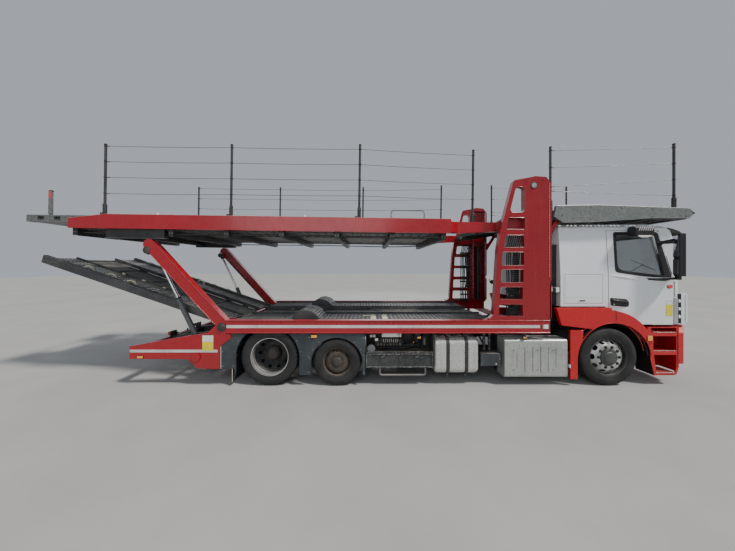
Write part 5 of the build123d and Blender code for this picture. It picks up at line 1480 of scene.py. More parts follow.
for x in (-3900, -3560, -3220, -2880):
    b.tube([(x - 26, -1231, TZ0 + 4), (x + 26, -1231, TZ0 + 4)], 5, "zinc_dark", 8)
for i in range(9):
    b.bolt((TX0 + 60 + i * 121, -1231, TZ1 - 11), (0, -1, 0), 5.5, 4, "zinc_dark")
for x in (-3800, -3000):                              # hangers
    b.box(x - 20, x + 20, -700, -770, TZ0 + 20, TZ1 - 20, "dark", 3)
    b.box(x - 20, x + 20, -425, -770, TZ1 - 60, TZ1 - 20, "dark", 3)
bar = [(-3700, -1180, 310), (-3700, -1180, 200), (-3694, -1180, 180), (-3682, -1180, 170), (-3660, -1180, 166), (-3000, -1180, 166),
       (-2978, -1180, 170), (-2966, -1180, 180), (-2960, -1180, 200), (-2960, -1180, 310)]
b.tube(bar, 18, "grey_steel_bar", 16)
for x in (-3700, -2960):
    b.box(x - 34, x + 34, -1146, -1214, 292, 303, "dark", 3)
b.make("tool_box_detail", "root", "tool_box", slot="black_paint")

# control bay: valve bank, lever row, pale cover plate, gauges, hose runs, hose reel
b = Build()
b.box(-3930, -2830, -880, -888, 545, 850, "dark", 2)
b.box(-3930, -2830, -880, -1225, 530, 541, "dark", 2)
for x in (-3930, -2842):
    b.box(x, x + 12, -880, -1225, 540, 850, "dark", 2)
b.box(-3930, -2830, -1213, -1225, 530, 552, "edge_worn", 2)
b.box(-3770, -3320, -960, -1060, 604, 700, "cast", 6)                          # valve bank
for i in range(8):
    x = -3748 + i * 52
    b.box(x, x + 46, -955, -1068, 598, 708, "cast", 5)
    b.cyl((x + 23, -1068, 640), (x + 23, -1090, 640), 15, "zinc_dark", 16)
    b.bolt((x + 23, -1060, 706), (0, 0, 1), 9, 9, "zinc")
b.box(-3668, -3392, -1120, -1206, 786, 858, "stone", 5)                        # pale cover
b.box(-3384, -3352, -1126, -1200, 784, 858, "stone", 5)
for x in (-3655, -3405):
    b.bolt((x, -1206, 822), (0, -1, 0), 6, 4, "zinc_dark")
for i in range(8):                                    # levers hang from the cover and end in grips
    x = -3641 + i * 33.5
    lean_y = 6 * ((i * 5) % 3 - 1)
    b.tube(smooth_path([(x, -1150, 790), (x, -1158 + lean_y, 740), (x, -1150 + lean_y, 690), (x, -1120, 660)], 4), 5.5, "chrome", 10)
    b.lathe([(0, 0), (0, 9), (8, 12), (40, 11), (54, 7), (56, 0)], (x, -1158 + lean_y, 748), (0, -0.08, 1), "plastic", 14)
    b.ball((x, -1120, 656), 10, "plastic")
for i, x in enumerate((-3840, -3790)):                # gauges
    b.lathe([(0, 0), (0, 30), (14, 30), (18, 27), (15, 24)], (x, -1040, 768), (0, -1, 0), "zinc_dark", 28)
    b.lathe([(14, 0), (14, 25)], (x, -1040, 768), (0, -1, 0), "stone", 28)
    b.box(x - 1, x + 1, -1055, -1056, 768, 788, "plastic", 0.3)
b.lathe([(0, 0), (0, 62), (6, 66), (10, 62), (10, 40), (30, 40), (30, 62), (34, 66), (40, 62), (40, 24), (44, 0)], (-3842, -1150, 592), (0, -1, 0), "grey_plastic", 40)
b.box(-3780, -3730, -1170, -1178, 716, 760, "stone", 3)
rnd = random.Random(5)
for i in range(14):                                   # hoses from the bank to the frame
    x = -3735 + (i % 8) * 52 + (8 if i > 7 else -8)
    tx = -3250 + i * 22 if i > 6 else -3900 + i * 12
    p = [(x, -1000, 606), (x, -1010, 570 - 4 * (i % 3)), (x + (tx - x) * 0.35, -1030 - 12 * (i % 4), 568), (tx, -960, 610 + 10 * (i % 5)), (tx, -900, 760), (tx, -870, 840)]
    b.tube(smooth_path(p, 5), 8.5, "hose", 10)
for i in range(6):
    x = -3270 + i * 62
    p = [(x, -905, 560), (x + 10, -960 - 10 * (i % 2), 640), (x - 20 + 12 * (i % 3), -990, 720), (x + 10, -930, 830)]
    b.tube(smooth_path(p, 6), 11, "hose", 10)
    b.lathe([(0, 14), (0, 18), (26, 18), (26, 14)], (x, -905, 560), (0.1, -0.5, 0.9), "zinc", 12)
b.cyl((-3060, -960, 640), (-3060, -960, 800), 46, "black", 28, 8)               # oil filter
b.lathe([(0, 50), (0, 56), (20, 56), (24, 50)], (-3060, -960, 780), (0, 0, 1), "zinc_dark", 28)
b.cyl((-2930, -980, 600), (-2930, -980, 720), 36, "zinc_dark", 24, 6)
b.box(-2990, -2890, -920, -1010, 720, 742, "dark", 4)
b.ball((-3138, -1105, 676), 11, "amber")
b.make("control_bay_detail", "root", "control_bay", slot="black_paint")

# filter box and its pipes
b = Build()
b.box(-2062, -1740, -702, -1192, 309, 525, "black", 10)
b.box(-2056, -1746, -1188, -1199, 316, 518, "panel", 5)
for x in (-2062, -1756):
    b.box(x, x + 16, -1186, -1200, 307, 527, "edge_worn", 2)
for x in (-2046, -1760):
    for z in (330, 372, 414, 456, 500):
        b.bolt((x, -1199, z), (0, -1, 0), 6, 4, "zinc")
b.lathe([(0, 0), (0, 17), (5, 17), (6, 0)], (-1812, -1199, 350), (0, -1, 0), "chrome", 20)
b.box(-1960, -1840, -425, -710, 380, 500, "dark", 6)
for x in (-1950, -1860):
    b.lathe([(0, 30), (6, 30), (10, 22), (300, 22), (306, 27), (330, 27)], (x, -1050, 522), (0, 0, 1), "dark", 24)
    for z in (560, 700, 800):
        b.lathe([(-6, 24), (-6, 27), (6, 27), (6, 24)], (x, -1050, z), (0, 0, 1), "zinc_dark", 24)
b.tube(smooth_path([(-1900, -900, 524), (-1905, -900, 600), (-1940, -840, 700), (-1990, -760, 780), (-2000, -640, 830)], 6), 14, "hose", 12)
b.make("filter_box_detail", "root", "filter_box", slot="black_paint")

# far side: battery box with its steps, locker
b = Build()
skin_box(b, -2060, -1380, 620, 1224, 302, 758, 34, "plastic", (), 14, rings=[(-1960, 22, 5), (-1840, 22, 5), (-1720, 22, 5), (-1600, 22, 5), (-1480, 22, 5)])
for x in (-1980, -1460):
    b.box(x - 26, x + 26, 1214, 1230, 640, 690, "hose", 6)
    b.tube([(x, 1228, 690), (x, 1230, 720), (x, 1222, 742)], 5, "zinc_dark", 8)
b.box(-1800, -1640, 425, 630, 420, 700, "dark", 6)
b.box(-3927, -2803, 642, 1222, 303, 797, "checker", 6)
for z in (300, 778):
    b.box(-3930, -2800, 1219, 1231, z, z + 22, "edge_worn", 2.5)
for x in (-3930, -3376, -2824):
    b.box(x, x + 24, 1219, 1231, 300, 800, "edge_worn", 2.5)
for x in (-3650, -3090):
    b.box(x - 40, x + 40, 1220, 1229, 690, 750, "plastic", 4)
    b.box(x - 24, x + 24, 1226, 1232, 704, 722, "zinc_dark", 2)
b.box(-3450, -3290, 425, 650, 420, 700, "dark", 6)
for x in (-3870, -3440, -3290, -2860):
    b.tube([(x, 1230, 304), (x + 70, 1230, 304)], 5, "zinc_dark", 8)
b.make("far_box_detail", "root", "left_side_boxes", slot="black_paint")

# air tanks: end domes, bands, drain valves and pipes
b = Build()
for y, z, r in ((760, 640, 118), (1040, 640, 118), (820, 360, 140)):
    for x in (-2620, -2260):
        b.lathe([(-14, r + 1), (-14, r + 5), (14, r + 5), (14, r + 1)], (x, y, z), (1, 0, 0), "zinc_dark", 44)
        b.bolt((x, y, z - r - 4), (0, 0, -1), 8, 7, "zinc")
    b.lathe([(0, 16), (0, 24), (10, 24), (14, 12), (30, 12), (30, 0)], (-2440, y, z - r + 3), (0, 0, -1), "cast", 16)
    b.tube(smooth_path([(-2736, y, z + 20), (-2770, y, z + 24), (-2790, y - 40, z + 60), (-2800, y - 160, z + 130), (-2800, 470, 820)], 5), 7, "hose", 8)
    b.cyl((-2730, y, z + 20), (-2752, y, z + 20), 12, "cast", 12)
b.make("air_tank_detail", "root", slot="black_paint")

# air duct on the back wall
b = Build()
for i in range(15):
    z = 1350 + i * 62
    b.box(-871, -858, -812, -1058, z, z + 22, "plastic", 4)
b.box(-862, -742, -794, -1076, 2250, 2296, "plastic", 8)
for i in range(7):
    b.box(-850 + i * 15, -843 + i * 15, -806, -1064, 2292, 2300, "grey_plastic", 1.5)
b.tube(smooth_path([(-800, -930, 1292), (-800, -920, 1240), (-806, -860, 1190), (-820, -700, 1160), (-830, -480, 1150)], 6), 62, "hose", 24)
for z in (1262, 1236):
    b.lathe([(-8, 64), (-8, 68), (8, 68), (8, 64)], (-801, -920, z), (0, 0.2, 1), "zinc_dark", 30)
b.make("air_intake_detail", "root", slot="plastic")

# ---- towers: rack strip, pins, guides and the hose run inside ----------------------------------------
b = Build()
b.lathe([(0, 0), (0, 38), (5, 41), (9, 38), (10, 20), (14, 16), (14, 0)], (-1230, 1256, 3235), (0, 1, 0), "chrome", 40)
b.lathe([(-24, 41), (-24, 52), (0, 54), (0, 41)], (-1230, 1256, 3235), (0, 1, 0), "cast", 40)
b.lathe([(0, 0), (0, 34), (12, 32), (24, 20), (28, 0)], (-1183, 1200, 3372), (0, 0, 1), "plastic", 28)
b.box(-992, -966, 1249, 1252.5, 1740, 3285, "red_tower_shaded", 1)                     # rack strip
for i in range(62):
    z = 1770 + i * 24.4
    b.lathe([(0, 0), (0, 5.2), (1.2, 5.2), (1.6, 0)], (-979, 1252, z), (0, 1, 0), "pale", 8)
b.box(-955, -943, 1150, 1251, 1100, 1640, "red_tower_shaded", 2)
# rungs folded round the window edges, and the plate's stiffening lip
for z0, z1, xl0, xl1, xr in ((2800, 3215, -1620, -1518, -1372), (2530, 2718, -1676, -1640, -1370),
                             (2240, 2437, -1710, -1680, -1380), (1950, 2164, -1750, -1738, -1384),
                             (1675, 1884, -1764, -1754, -1392), (1403, 1602, -1780, -1770, -1404),
                             (1130, 1326, -1794, -1786, -1404)):
    r = 58 if z0 == 2800 else 22
    cs = [(xl0, z0), (xr, z0), (xr, z1), (xl1, z1)]
    ring = []
    for i in range(4):
        p, q, n = Vector(cs[i - 1]), Vector(cs[i]), Vector(cs[(i + 1) % 4])
        a, c = (p - q).normalized() * r, (n - q).normalized() * r
        for t in (0, 0.33, 0.67, 1):
            v = (q + a) * (1 - t) ** 2 + q * 2 * t * (1 - t) + (q + c) * t * t
            ring.append((v.x, 1249.5, v.y))
    b.tube(ring, 3.2, "red_tower_shaded", 6, closed=True)
# column guides, carriage rollers and their keepers, on the inner side
for x in (-1330, -1032):
    b.box(x + 4, x + 18, 1052, 1060, 1110, 3240, "chrome", 2)
for z in (2470, 2730):
    for x in (-1262, -1078):
        b.cyl((x, 1064, z), (x, 1080, z), 34, "cast", 28)
        b.bolt((x, 1064, z), (0, -1, 0), 12, 9, "zinc_dark")
b.lathe([(0, 30), (0, 46), (10, 50), (14, 44), (14, 30)], (-1700, 1064, 2600), (0, -1, 0), "cast", 32)
b.lathe([(0, 0), (0, 40), (9, 42), (12, 36), (12, 0)], (-1700, 869, 2600), (0, -1, 0), "cast", 32)
b.cyl((-1170, 1140, 1110), (-1170, 1140, 2420), 44, "black", 30, 8)             # lifting cylinder in the column
b.cyl((-1170, 1140, 2300), (-1170, 1140, 2425), 28, "chrome", 24)
b.lathe([(0, 44), (0, 52), (40, 52), (46, 44)], (-1170, 1140, 2360), (0, 0, 1), "cast", 30)
rnd = random.Random(9)
for i in range(7):                                    # hoses behind the ladder windows
    x = -1600 + i * 33
    w = rnd.uniform(-14, 14)
    p = [(x, 1128 - 7 * (i % 3), 1060), (x + w, 1118, 1350), (x - w, 1128 - 9 * (i % 2), 1700), (x + w * 0.6, 1120, 2060),
         (x + 20, 1128, 2330), (x + 90, 1120, 2520), (-1330, 1100, 2560 + i * 14)]
    b.tube(smooth_path(p, 6), 9 + (i % 3), "hose", 10)
for z in (1240, 1560, 1920, 2260):
    b.box(-1620, -1384, 1106, 1146, z - 16, z + 16, "plastic", 5)
for i in range(24):                                   # cable chain
    z = 1420 + i * 36
    b.box(-1478, -1398, 1076, 1108, z, z + 31, "plastic", 5)
b.box(-1800, -1400, 1136, 1152, 1074, 1100, "black", 3)
for x, z in ((-1960, 1090), (-1700, 1092), (-1400, 1092), (-1100, 1092), (-1000, 1140), (-1340, 3300), (-1080, 3330)):
    b.bolt((x, 1250, z), (0, 1, 0), 10, 7, "red_tower_shaded")
b.mirrored()
# one work lamp, near side, between tower and cab
b.box(-936, -846, -1064, -1146, 1500, 1612, "plastic", 8)
b.box(-912, -862, -1140, -1150, 1520, 1592, "stone", 5)
b.box(-950, -930, -1080, -1130, 1520, 1590, "black", 3)
b.tube(smooth_path([(-900, -1100, 1500), (-900, -1095, 1440), (-915, -1080, 1390), (-935, -1070, 1300), (-940, -1068, 1180)], 5), 8, "hose", 10)
b.make("tower_detail", "root", slot="red_paint")

# ---- upper deck ---------------------------------------------------------------------------------------
UP = Matrix.Translation((-1700, 0, 2600)) @ Matrix.Rotation(math.radians(0.83), 4, "Y") @ Matrix.Translation((1700, 0, -2600))


b = Build()
b.x = UP
b.perf(sheet_map(-8698, -2707, 437, 1133, 2464, 5, 80, 9), 80, 9, 0.31, 0.28, "deck_mid", power=2.6)
for y0, y1 in ((420, 437), (1133, 1150)):
    b.box(-8700, -2705, y0, y1, 2441, 2509, "deck", 4)
x = -8690
while x < -2730:                                      # ribs under the tracks, their ends show as a pale row
    b.box(x, x + 20, 437, 1133, 2442, 2460, "deck", 2)
    b.box(x + 2, x + 18, 1140, 1152, 2443, 2452, "zinc_dark", 1.5)
    x += 150
for k in range(14):
    x = -8500 + k * 420
    b.box(x, x + 12, 440, 1130, 2463, 2470, "deck_mid", 2)
    b.tube([(x - 26, 428, 2508), (x - 20, 430, 2532), (x + 20, 430, 2532), (x + 26, 428, 2508)], 6, "zinc_dark", 8)
b.box(-8699, -2706, -1, 421, 2444, 2452, "black", 2)
for k in range(40):
    x = -8640 + k * 148
    b.box(x, x + 60, -1, 380, 2440.5, 2446, "black", 1.5)
b.mirrored()
b.make("upper_track_detail", "upper_deck", "upper_deck_tracks", slot="dark_steel")

b = Build()
b.x = UP
b.tube([(-8116, 1251, 2682), (-2564, 1251, 2682)], 4, "rail_edge", 8)            # pale top edge, lighter than the beam
b.tube([(-8712, 1251, 2609), (-8116, 1251, 2682)], 4, "rail_edge", 8)
b.box(-8700, -2562, 1253, 1256.5, 2455, 2468, "red", 1)                          # lower hem
b.prism([(-2690, 2680), (-2562, 2684), (-2562, 2560), (-2600, 2520)], "y", 1253, 1257, "red", 1)
hoop = smooth_path([(-3520, 1214, 2680), (-3520, 1214, 2775), (-3496, 1214, 2808), (-3460, 1214, 2815), (-3050, 1214, 2815),
                    (-3010, 1214, 2808), (-2987, 1214, 2775), (-2987, 1214, 2680)], 5)
b.tube(hoop, 9, "zinc_dark", 10)
for x in (-3520, -2987):
    b.box(x - 22, x + 22, 1190, 1240, 2680, 2692, "zinc_dark", 3)
for x in (-7300, -4921):                              # pale plugs on the beam
    b.lathe([(0, 0), (0, 20), (30, 18), (36, 12), (38, 0)], (x, 1212, 2682), (0, 0, 1), "stone", 18)
for x in (-8160, -6118, -4040):
    b.box(x - 42, x + 42, 1182, 1236, 2680, 2694, "black", 3)
    b.box(x - 66, x - 34, 1190, 1228, 2684, 2716, "black", 4)
    for q in (-30, 30):
        b.bolt((x + q, 1228, 2693), (0, 0, 1), 6, 5, "zinc")
for x in (-8660, -8000, -7100, -6200, -5300, -4400, -3500, -2660):                # bolted ends of the crossmembers
    for q in (-22, 22):
        b.bolt((x + q, 1190, 2400), (0, 1, 0), 9, 7, "zinc_dark")
    b.box(x - 46, x + 46, 1100, 1186, 2436, 2446, "black", 2)
    b.box(x - 2, x + 2, 440, 1150, 2338, 2347, "black", 0.5)
b.tube(smooth_path([(-8600, 1120, 2400), (-7000, 1118, 2392), (-5200, 1124, 2400), (-3400, 1118, 2392), (-2700, 1110, 2420)], 6), 10, "hose", 10)
b.tube(smooth_path([(-8600, 1096, 2398), (-7000, 1098, 2388), (-5200, 1096, 2396), (-3400, 1098, 2386), (-2700, 1090, 2410)], 6), 8, "zinc_dark", 10)
for x in (-8160, -7560, -7250):                       # wear strips on the arm pads
    b.box(x - 4, x + 4, 1094, 1198, 2306, 2313, "chrome", 1)
b.box(-8140, -7210, 1098, 1194, 2308, 2313, "deck_worn", 1)
b.mirrored()
b.make("upper_beam_detail", "upper_deck", slot="red_paint")


def guard_wires(b, posts, levels, r=3.6, sag=7):
    """posts: x, y; levels: heights at each post."""
    for row in levels:
        for i in range(len(posts) - 1):
            (xa, ya), (xb, yb) = posts[i], posts[i + 1]
            za, zb = row[i], row[i + 1]
            pts = []
            for k in range(9):
                t = k / 8
                pts.append((xa + (xb - xa) * t, ya + (yb - ya) * t, za + (zb - za) * t - sag * 4 * t * (1 - t)))
            b.tube(pts, r, "wire", 6)
        for i, (x, y) in enumerate(posts):
            b.lathe([(-7, 20), (-7, 23), (7, 23), (7, 20)], (x, y, row[i]), (0, 0, 1), "plastic", 20)
        x, y = posts[0]
        d = 1 if posts[1][0] > x else -1
        t = 60 / abs(posts[1][0] - x)
        z0 = row[0]
        z1 = row[0] + (row[1] - row[0]) * t
        b.cyl((x + 24 * d, y, z0 - 1), (x + 64 * d, y + (posts[1][1] - y) * t, z1 - 1), 7, "zinc_dark", 10)
        b.bolt((x + 60 * d, y, z1 - 1), (d, 0, 0), 8, 8, "zinc_dark")


b = Build()
b.x = UP
rows = [[3792, 3796, 3800, 3806], [3541, 3546, 3552, 3560], [3286, 3292, 3302, 3312], [3024, 3034, 3044, 3060]]
guard_wires(b, [(-8164, 1205), (-6118, 1205), (-4040, 1205), (-2130, 1012)], rows)
for x, y, z0, z1 in ((-8164, 1205, 2682, 3830), (-6118, 1205, 2683, 3850), (-4040, 1205, 2683, 3880), (-2130, 1012, 2673, 3900)):
    b.lathe([(0, 20), (0, 25), (6, 27), (92, 27), (97, 24), (97, 20)], (x, y, z0 + 14), (0, 0, 1), "stone", 24)
    b.lathe([(-14, 20), (-14, 22), (-2, 22), (2, 12), (3, 0)], (x, y, z1 - 5), (0, 0, 1), "plastic", 20)
    b.cyl((x, y + 22, z0 + 140), (x, y + 44, z0 + 140), 5, "zinc_dark", 8)
    b.tube([(x, y + 44, z0 + 116), (x, y + 44, z0 + 164)], 4, "zinc_dark", 8)
b.mirrored()
b.make("upper_guard_wires", "upper_deck", slot="grey_steel")

# extension: perforated shelf edge, stops, lamp post
b = Build()
b.x = UP
b.perf(sheet_map(-9496, -8796, 436, 1034, 2596, 4, 14, 10), 14, 10, 0.30, 0.28, "deck_worn", power=2.6)
for x in (-9510, -8700, -7880):
    b.bolt((x + 8, 1140, 2618), (0, 1, 0), 10, 7, "zinc_dark")
for x in (-9330, -9060):                              # frames of the two slots
    b.tube([(x, 1140, 2600), (x + 100, 1140, 2600), (x + 100, 1140, 2650), (x, 1140, 2650)], 3.5, "black", 6, closed=True)
b.box(-9197, -9148, 1103, 1112, 2700, 3080, "zinc_dark", 1)
b.box(-9190, -9155, 1110, 1114, 2960, 3070, "red_lens", 1)
b.box(-9200, -9144, 1070, 1110, 3076, 3092, "plastic", 4)
b.tube([(-9500, 1028, 2630), (-9500, 700, 2632), (-9500, 440, 2630)], 7, "zinc_dark", 10)
b.mirrored()
b.make("extension_detail", "deck_extension", slot="grey_steel")

# ---- deck over the cab: galvanised side beams with perforated tracks between them ---------------------
b = Build()
side_out = [(-846, 2912), (-197, 2925), (1303, 2870), (1376, 2800), (1301, 2712), (684, 2712), (-197, 2653), (-736, 2640), (-890, 2738)]
b.prism(side_out, "y", 1216, 1229, "zinc", 3)
b.prism(side_out, "y", 1170, 1182, "zinc_dark", 2)
for i in range(len(side_out)):                        # folded flanges join both webs
    p, q = Vector(side_out[i]), Vector(side_out[(i + 1) % len(side_out)])
    d = (q - p).normalized()
    c = sum((Vector(v) for v in side_out), Vector((0, 0))) / len(side_out)
    n = Vector((-d.y, d.x))
    if (c - p).dot(n) < 0:
        n = -n
    b.prism([tuple(p), tuple(q), tuple(q + n * 7 - d * 2), tuple(p + n * 7 + d * 2)], "y", 1171, 1229.5, "zinc", 1.5)
for i, (x, z) in enumerate(((-760, 2880), (-760, 2760), (-300, 2890), (-300, 2700), (200, 2880), (700, 2860), (700, 2740), (1240, 2840), (1240, 2750))):
    b.bolt((x, 1229, z), (0, 1, 0), 10, 7, "zinc_dark")
b.tube([(-840, 1224, 2915), (-197, 1224, 2927), (1300, 1224, 2873)], 5, "zinc_pale", 8)
b.lathe([(0, 0), (0, 30), (14, 30), (20, 24), (23, 0)], (1376 - 14, 1205, 2806), (0.72, 0.1, 0.7), "clear_lens", 28)
b.lathe([(-6, 34), (0, 36), (8, 34), (8, 30)], (1376 - 14, 1205, 2806), (0.72, 0.1, 0.7), "zinc_dark", 28)
arm = [(-1776, 2560), (-1776, 2640), (-1740, 2670), (-1560, 2770), (-890, 2905), (-820, 2905), (-820, 2700), (-1000, 2640),
       (-1560, 2550), (-1740, 2530)]
b.prism(arm, "y", 885, 955, "black", 5)
b.lathe([(0, 31), (0, 52), (6, 54), (10, 50), (10, 31)], (-1700, 955, 2600), (0, 1, 0), "cast", 36)
b.box(-890, -820, -1, 1145, 2700, 2860, "zinc_dark", 5)
b.box(-836, -764, 1100, 1171, 2714, 2858, "zinc_dark", 5)
b.box(1270, 1318, -1, 1171, 2702, 2848, "zinc", 5)
# black plate, rails, ribs and the dark steel track: partly the steel's own colour, partly painted shade under the deck
b.box(-828, 1298, -1, 330, 2702, 2722, "black", 2)
b.perf(sheet_map(-826, 1296, 352, 1106, 2725, 6, 32, 11), 32, 11, 0.31, 0.28, "deck", power=2.6)
for y0, y1 in ((330, 352), (1106, 1170)):
    b.box(-828, 1298, y0, y1, 2701, 2726, "black", 3)
for k in range(9):
    x = -800 + k * 250
    b.box(x, x + 34, 330, 1170, 2701, 2719, "black", 3)
b.perf(lambda u, v, w: (-1598 + 738 * u / 12, 352 + 500 * v / 8, 2667 + 92 * u / 12 - 6 * w), 12, 8, 0.31, 0.28, "zinc_dark", power=2.6)
b.prism([(-1600, 2640), (-1600, 2668), (-860, 2760), (-860, 2732)], "y", -1, 352, "zinc_dark", 2)
b.prism([(-1600, 2640), (-1600, 2668), (-860, 2760), (-860, 2732)], "y", 852, 886, "zinc_dark", 2)
for k in range(5):
    x = -700 + k * 400
    b.tube([(x - 26, 1166, 2726), (x - 20, 1164, 2752), (x + 20, 1164, 2752), (x + 26, 1166, 2726)], 6, "zinc_dark", 8)
for y in (520, 900):                                  # wheel stop bars
    b.tube([(1180, y, 2726), (1180, y, 2766), (1174, y + 20, 2778), (1174, y + 140, 2778), (1180, y + 160, 2766), (1180, y + 160, 2726)], 8, "zinc_dark", 10)
b.mirrored()
b.make("over_cab_deck_detail", "over_cab_deck", "over_cab_deck", slot="grey_steel")

b = Build()
guard_wires(b, [(-856, 1085), (1073, 1200)], [[3864, 3866], [3581, 3603], [3262, 3341], [3190, 3083]], sag=4)
for x, y, z0, z1 in ((-856, 1085, 2860, 3930), (1073, 1200, 2880, 3930)):
    b.lathe([(-14, 20), (-14, 22), (-3, 22), (-1, 12), (-0.5, 0)], (x, y, z1), (0, 0, 1), "plastic", 20)
    b.lathe([(0, 29), (0, 31), (150, 31), (156, 27), (156, 20)], (x, y, z0 + 12), (0, 0, 1), "black", 24)
    b.cyl((x, y + 26, z0 + 120), (x, y + 44, z0 + 120), 6, "zinc_dark", 8)
b.mirrored()
b.make("over_cab_guard_wires", "over_cab_deck", slot="grey_steel")

# ---- cab ------------------------------------------------------------------------------------------------
def cab_y(z):
    """Half width of the cab's side at a height."""
    if z <= 1760:
        return 1150.0
    if z <= 2480:
        return 1150.0 - 45.0 * (z - 1760) / 720
    return 1105.0 - 17.0 * (z - 2480) / 92


def round_poly(pts, r, n=6):
    """Closed outline with its corners rounded; r is one radius or one for each corner."""
    out = []
    m = len(pts)
    for i in range(m):
        p, q, w = Vector(pts[i - 1]), Vector(pts[i]), Vector(pts[(i + 1) % m])
        rr = r[i] if isinstance(r, (list, tuple)) else r
        la, lb = (p - q).length, (w - q).length
        rr = min(rr, la * 0.49, lb * 0.49)
        a, c = (p - q).normalized() * rr, (w - q).normalized() * rr
        for k in range(n + 1):
            t = k / n
            v = (q + a) * (1 - t) ** 2 + q * 2 * t * (1 - t) + (q + c) * t * t
            out.append((v.x, v.y))
    return out


def frame_ring(b, outer, inner, place, mat, high, deep, lip=4.0):
    """Flat frame between two outlines of equal count; place(p, off) puts an outline point on the skin."""
    n = len(outer)
    rows = [[place(p, -1.0) for p in outer], [place(p, high - lip * 0.4) for p in outer],
            [place(((p[0] * 0.93 + q[0] * 0.07), (p[1] * 0.93 + q[1] * 0.07)), high) for p, q in zip(outer, inner)],
            [place(((p[0] * 0.12 + q[0] * 0.88), (p[1] * 0.12 + q[1] * 0.88)), high) for p, q in zip(outer, inner)],
            [place(p, high - lip * 0.5) for p in inner], [place(p, -deep) for p in inner]]
    verts = [v for r in rows for v in r]
    faces = []
    for k in range(len(rows) - 1):
        for i in range(n):
            j = (i + 1) % n
            faces.append((k * n + i, k * n + j, (k + 1) * n + j, (k + 1) * n + i))
    b.add(verts, faces, mat)


def skin_plate(b, outline, place, mat, high, ch=2.0):
    """A plate that lies on a slanted skin."""
    n = len(outline)
    ins = inset(outline, ch)
    rows = [[place(p, -1.0) for p in outline], [place(p, high - ch) for p in outline], [place(p, high) for p in ins]]
    verts = [v for r in rows for v in r]
    faces = [tuple(range(2 * n, 3 * n))]
    for k in range(2):
        for i in range(n):
            j = (i + 1) % n
            faces.append((k * n + i, k * n + j, (k + 1) * n + j, (k + 1) * n + i))
    b.add(verts, faces, mat)


def on_side(s):
    return lambda p, off: (p[0], s * (cab_y(p[1]) + off), p[1])


def on_screen(p, off):
    """Point on the slanted front, from (y, z)."""
    return (1352 - 0.2795 * (p[1] - 1700) + off * 0.963, p[0], p[1] + off * 0.269)


def front_x(y):
    a = abs(y)
    if a <= 500:
        return 1398.0
    if a <= 860:
        return 1398.0 - 24.0 * (a - 500) / 360
    if a <= 1020:
        return 1374.0 - 45.0 * (a - 860) / 160
    return 1329.0 - 100.0 * (a - 1020) / 100


def wrap(b, y0, y1, z0, z1, off0, off1, mat, n=14, fx=front_x, ch=3.0, tilt=0.0):
    """Bar that follows the front's curve from y0 to y1."""
    ys = [y0 + (y1 - y0) * i / n for i in range(n + 1)]
    ring = [(off0, z0 + ch), (off0 + ch, z0), (off1 - ch, z0), (off1, z0 + ch), (off1, z1 - ch), (off1 - ch, z1), (off0 + ch, z1), (off0, z1 - ch)]
    verts = []
    for y in ys:
        for o, z in ring:
            verts.append((fx(y) + o + tilt * (z - z0), y, z))
    m = len(ring)
    faces = [tuple(reversed(range(m))), tuple(range(n * m, (n + 1) * m))]
    for i in range(n):
        for k in range(m):
            j = (k + 1) % m
            faces.append((i * m + k, i * m + j, (i + 1) * m + j, (i + 1) * m + k))
    b.add(verts, faces, mat)


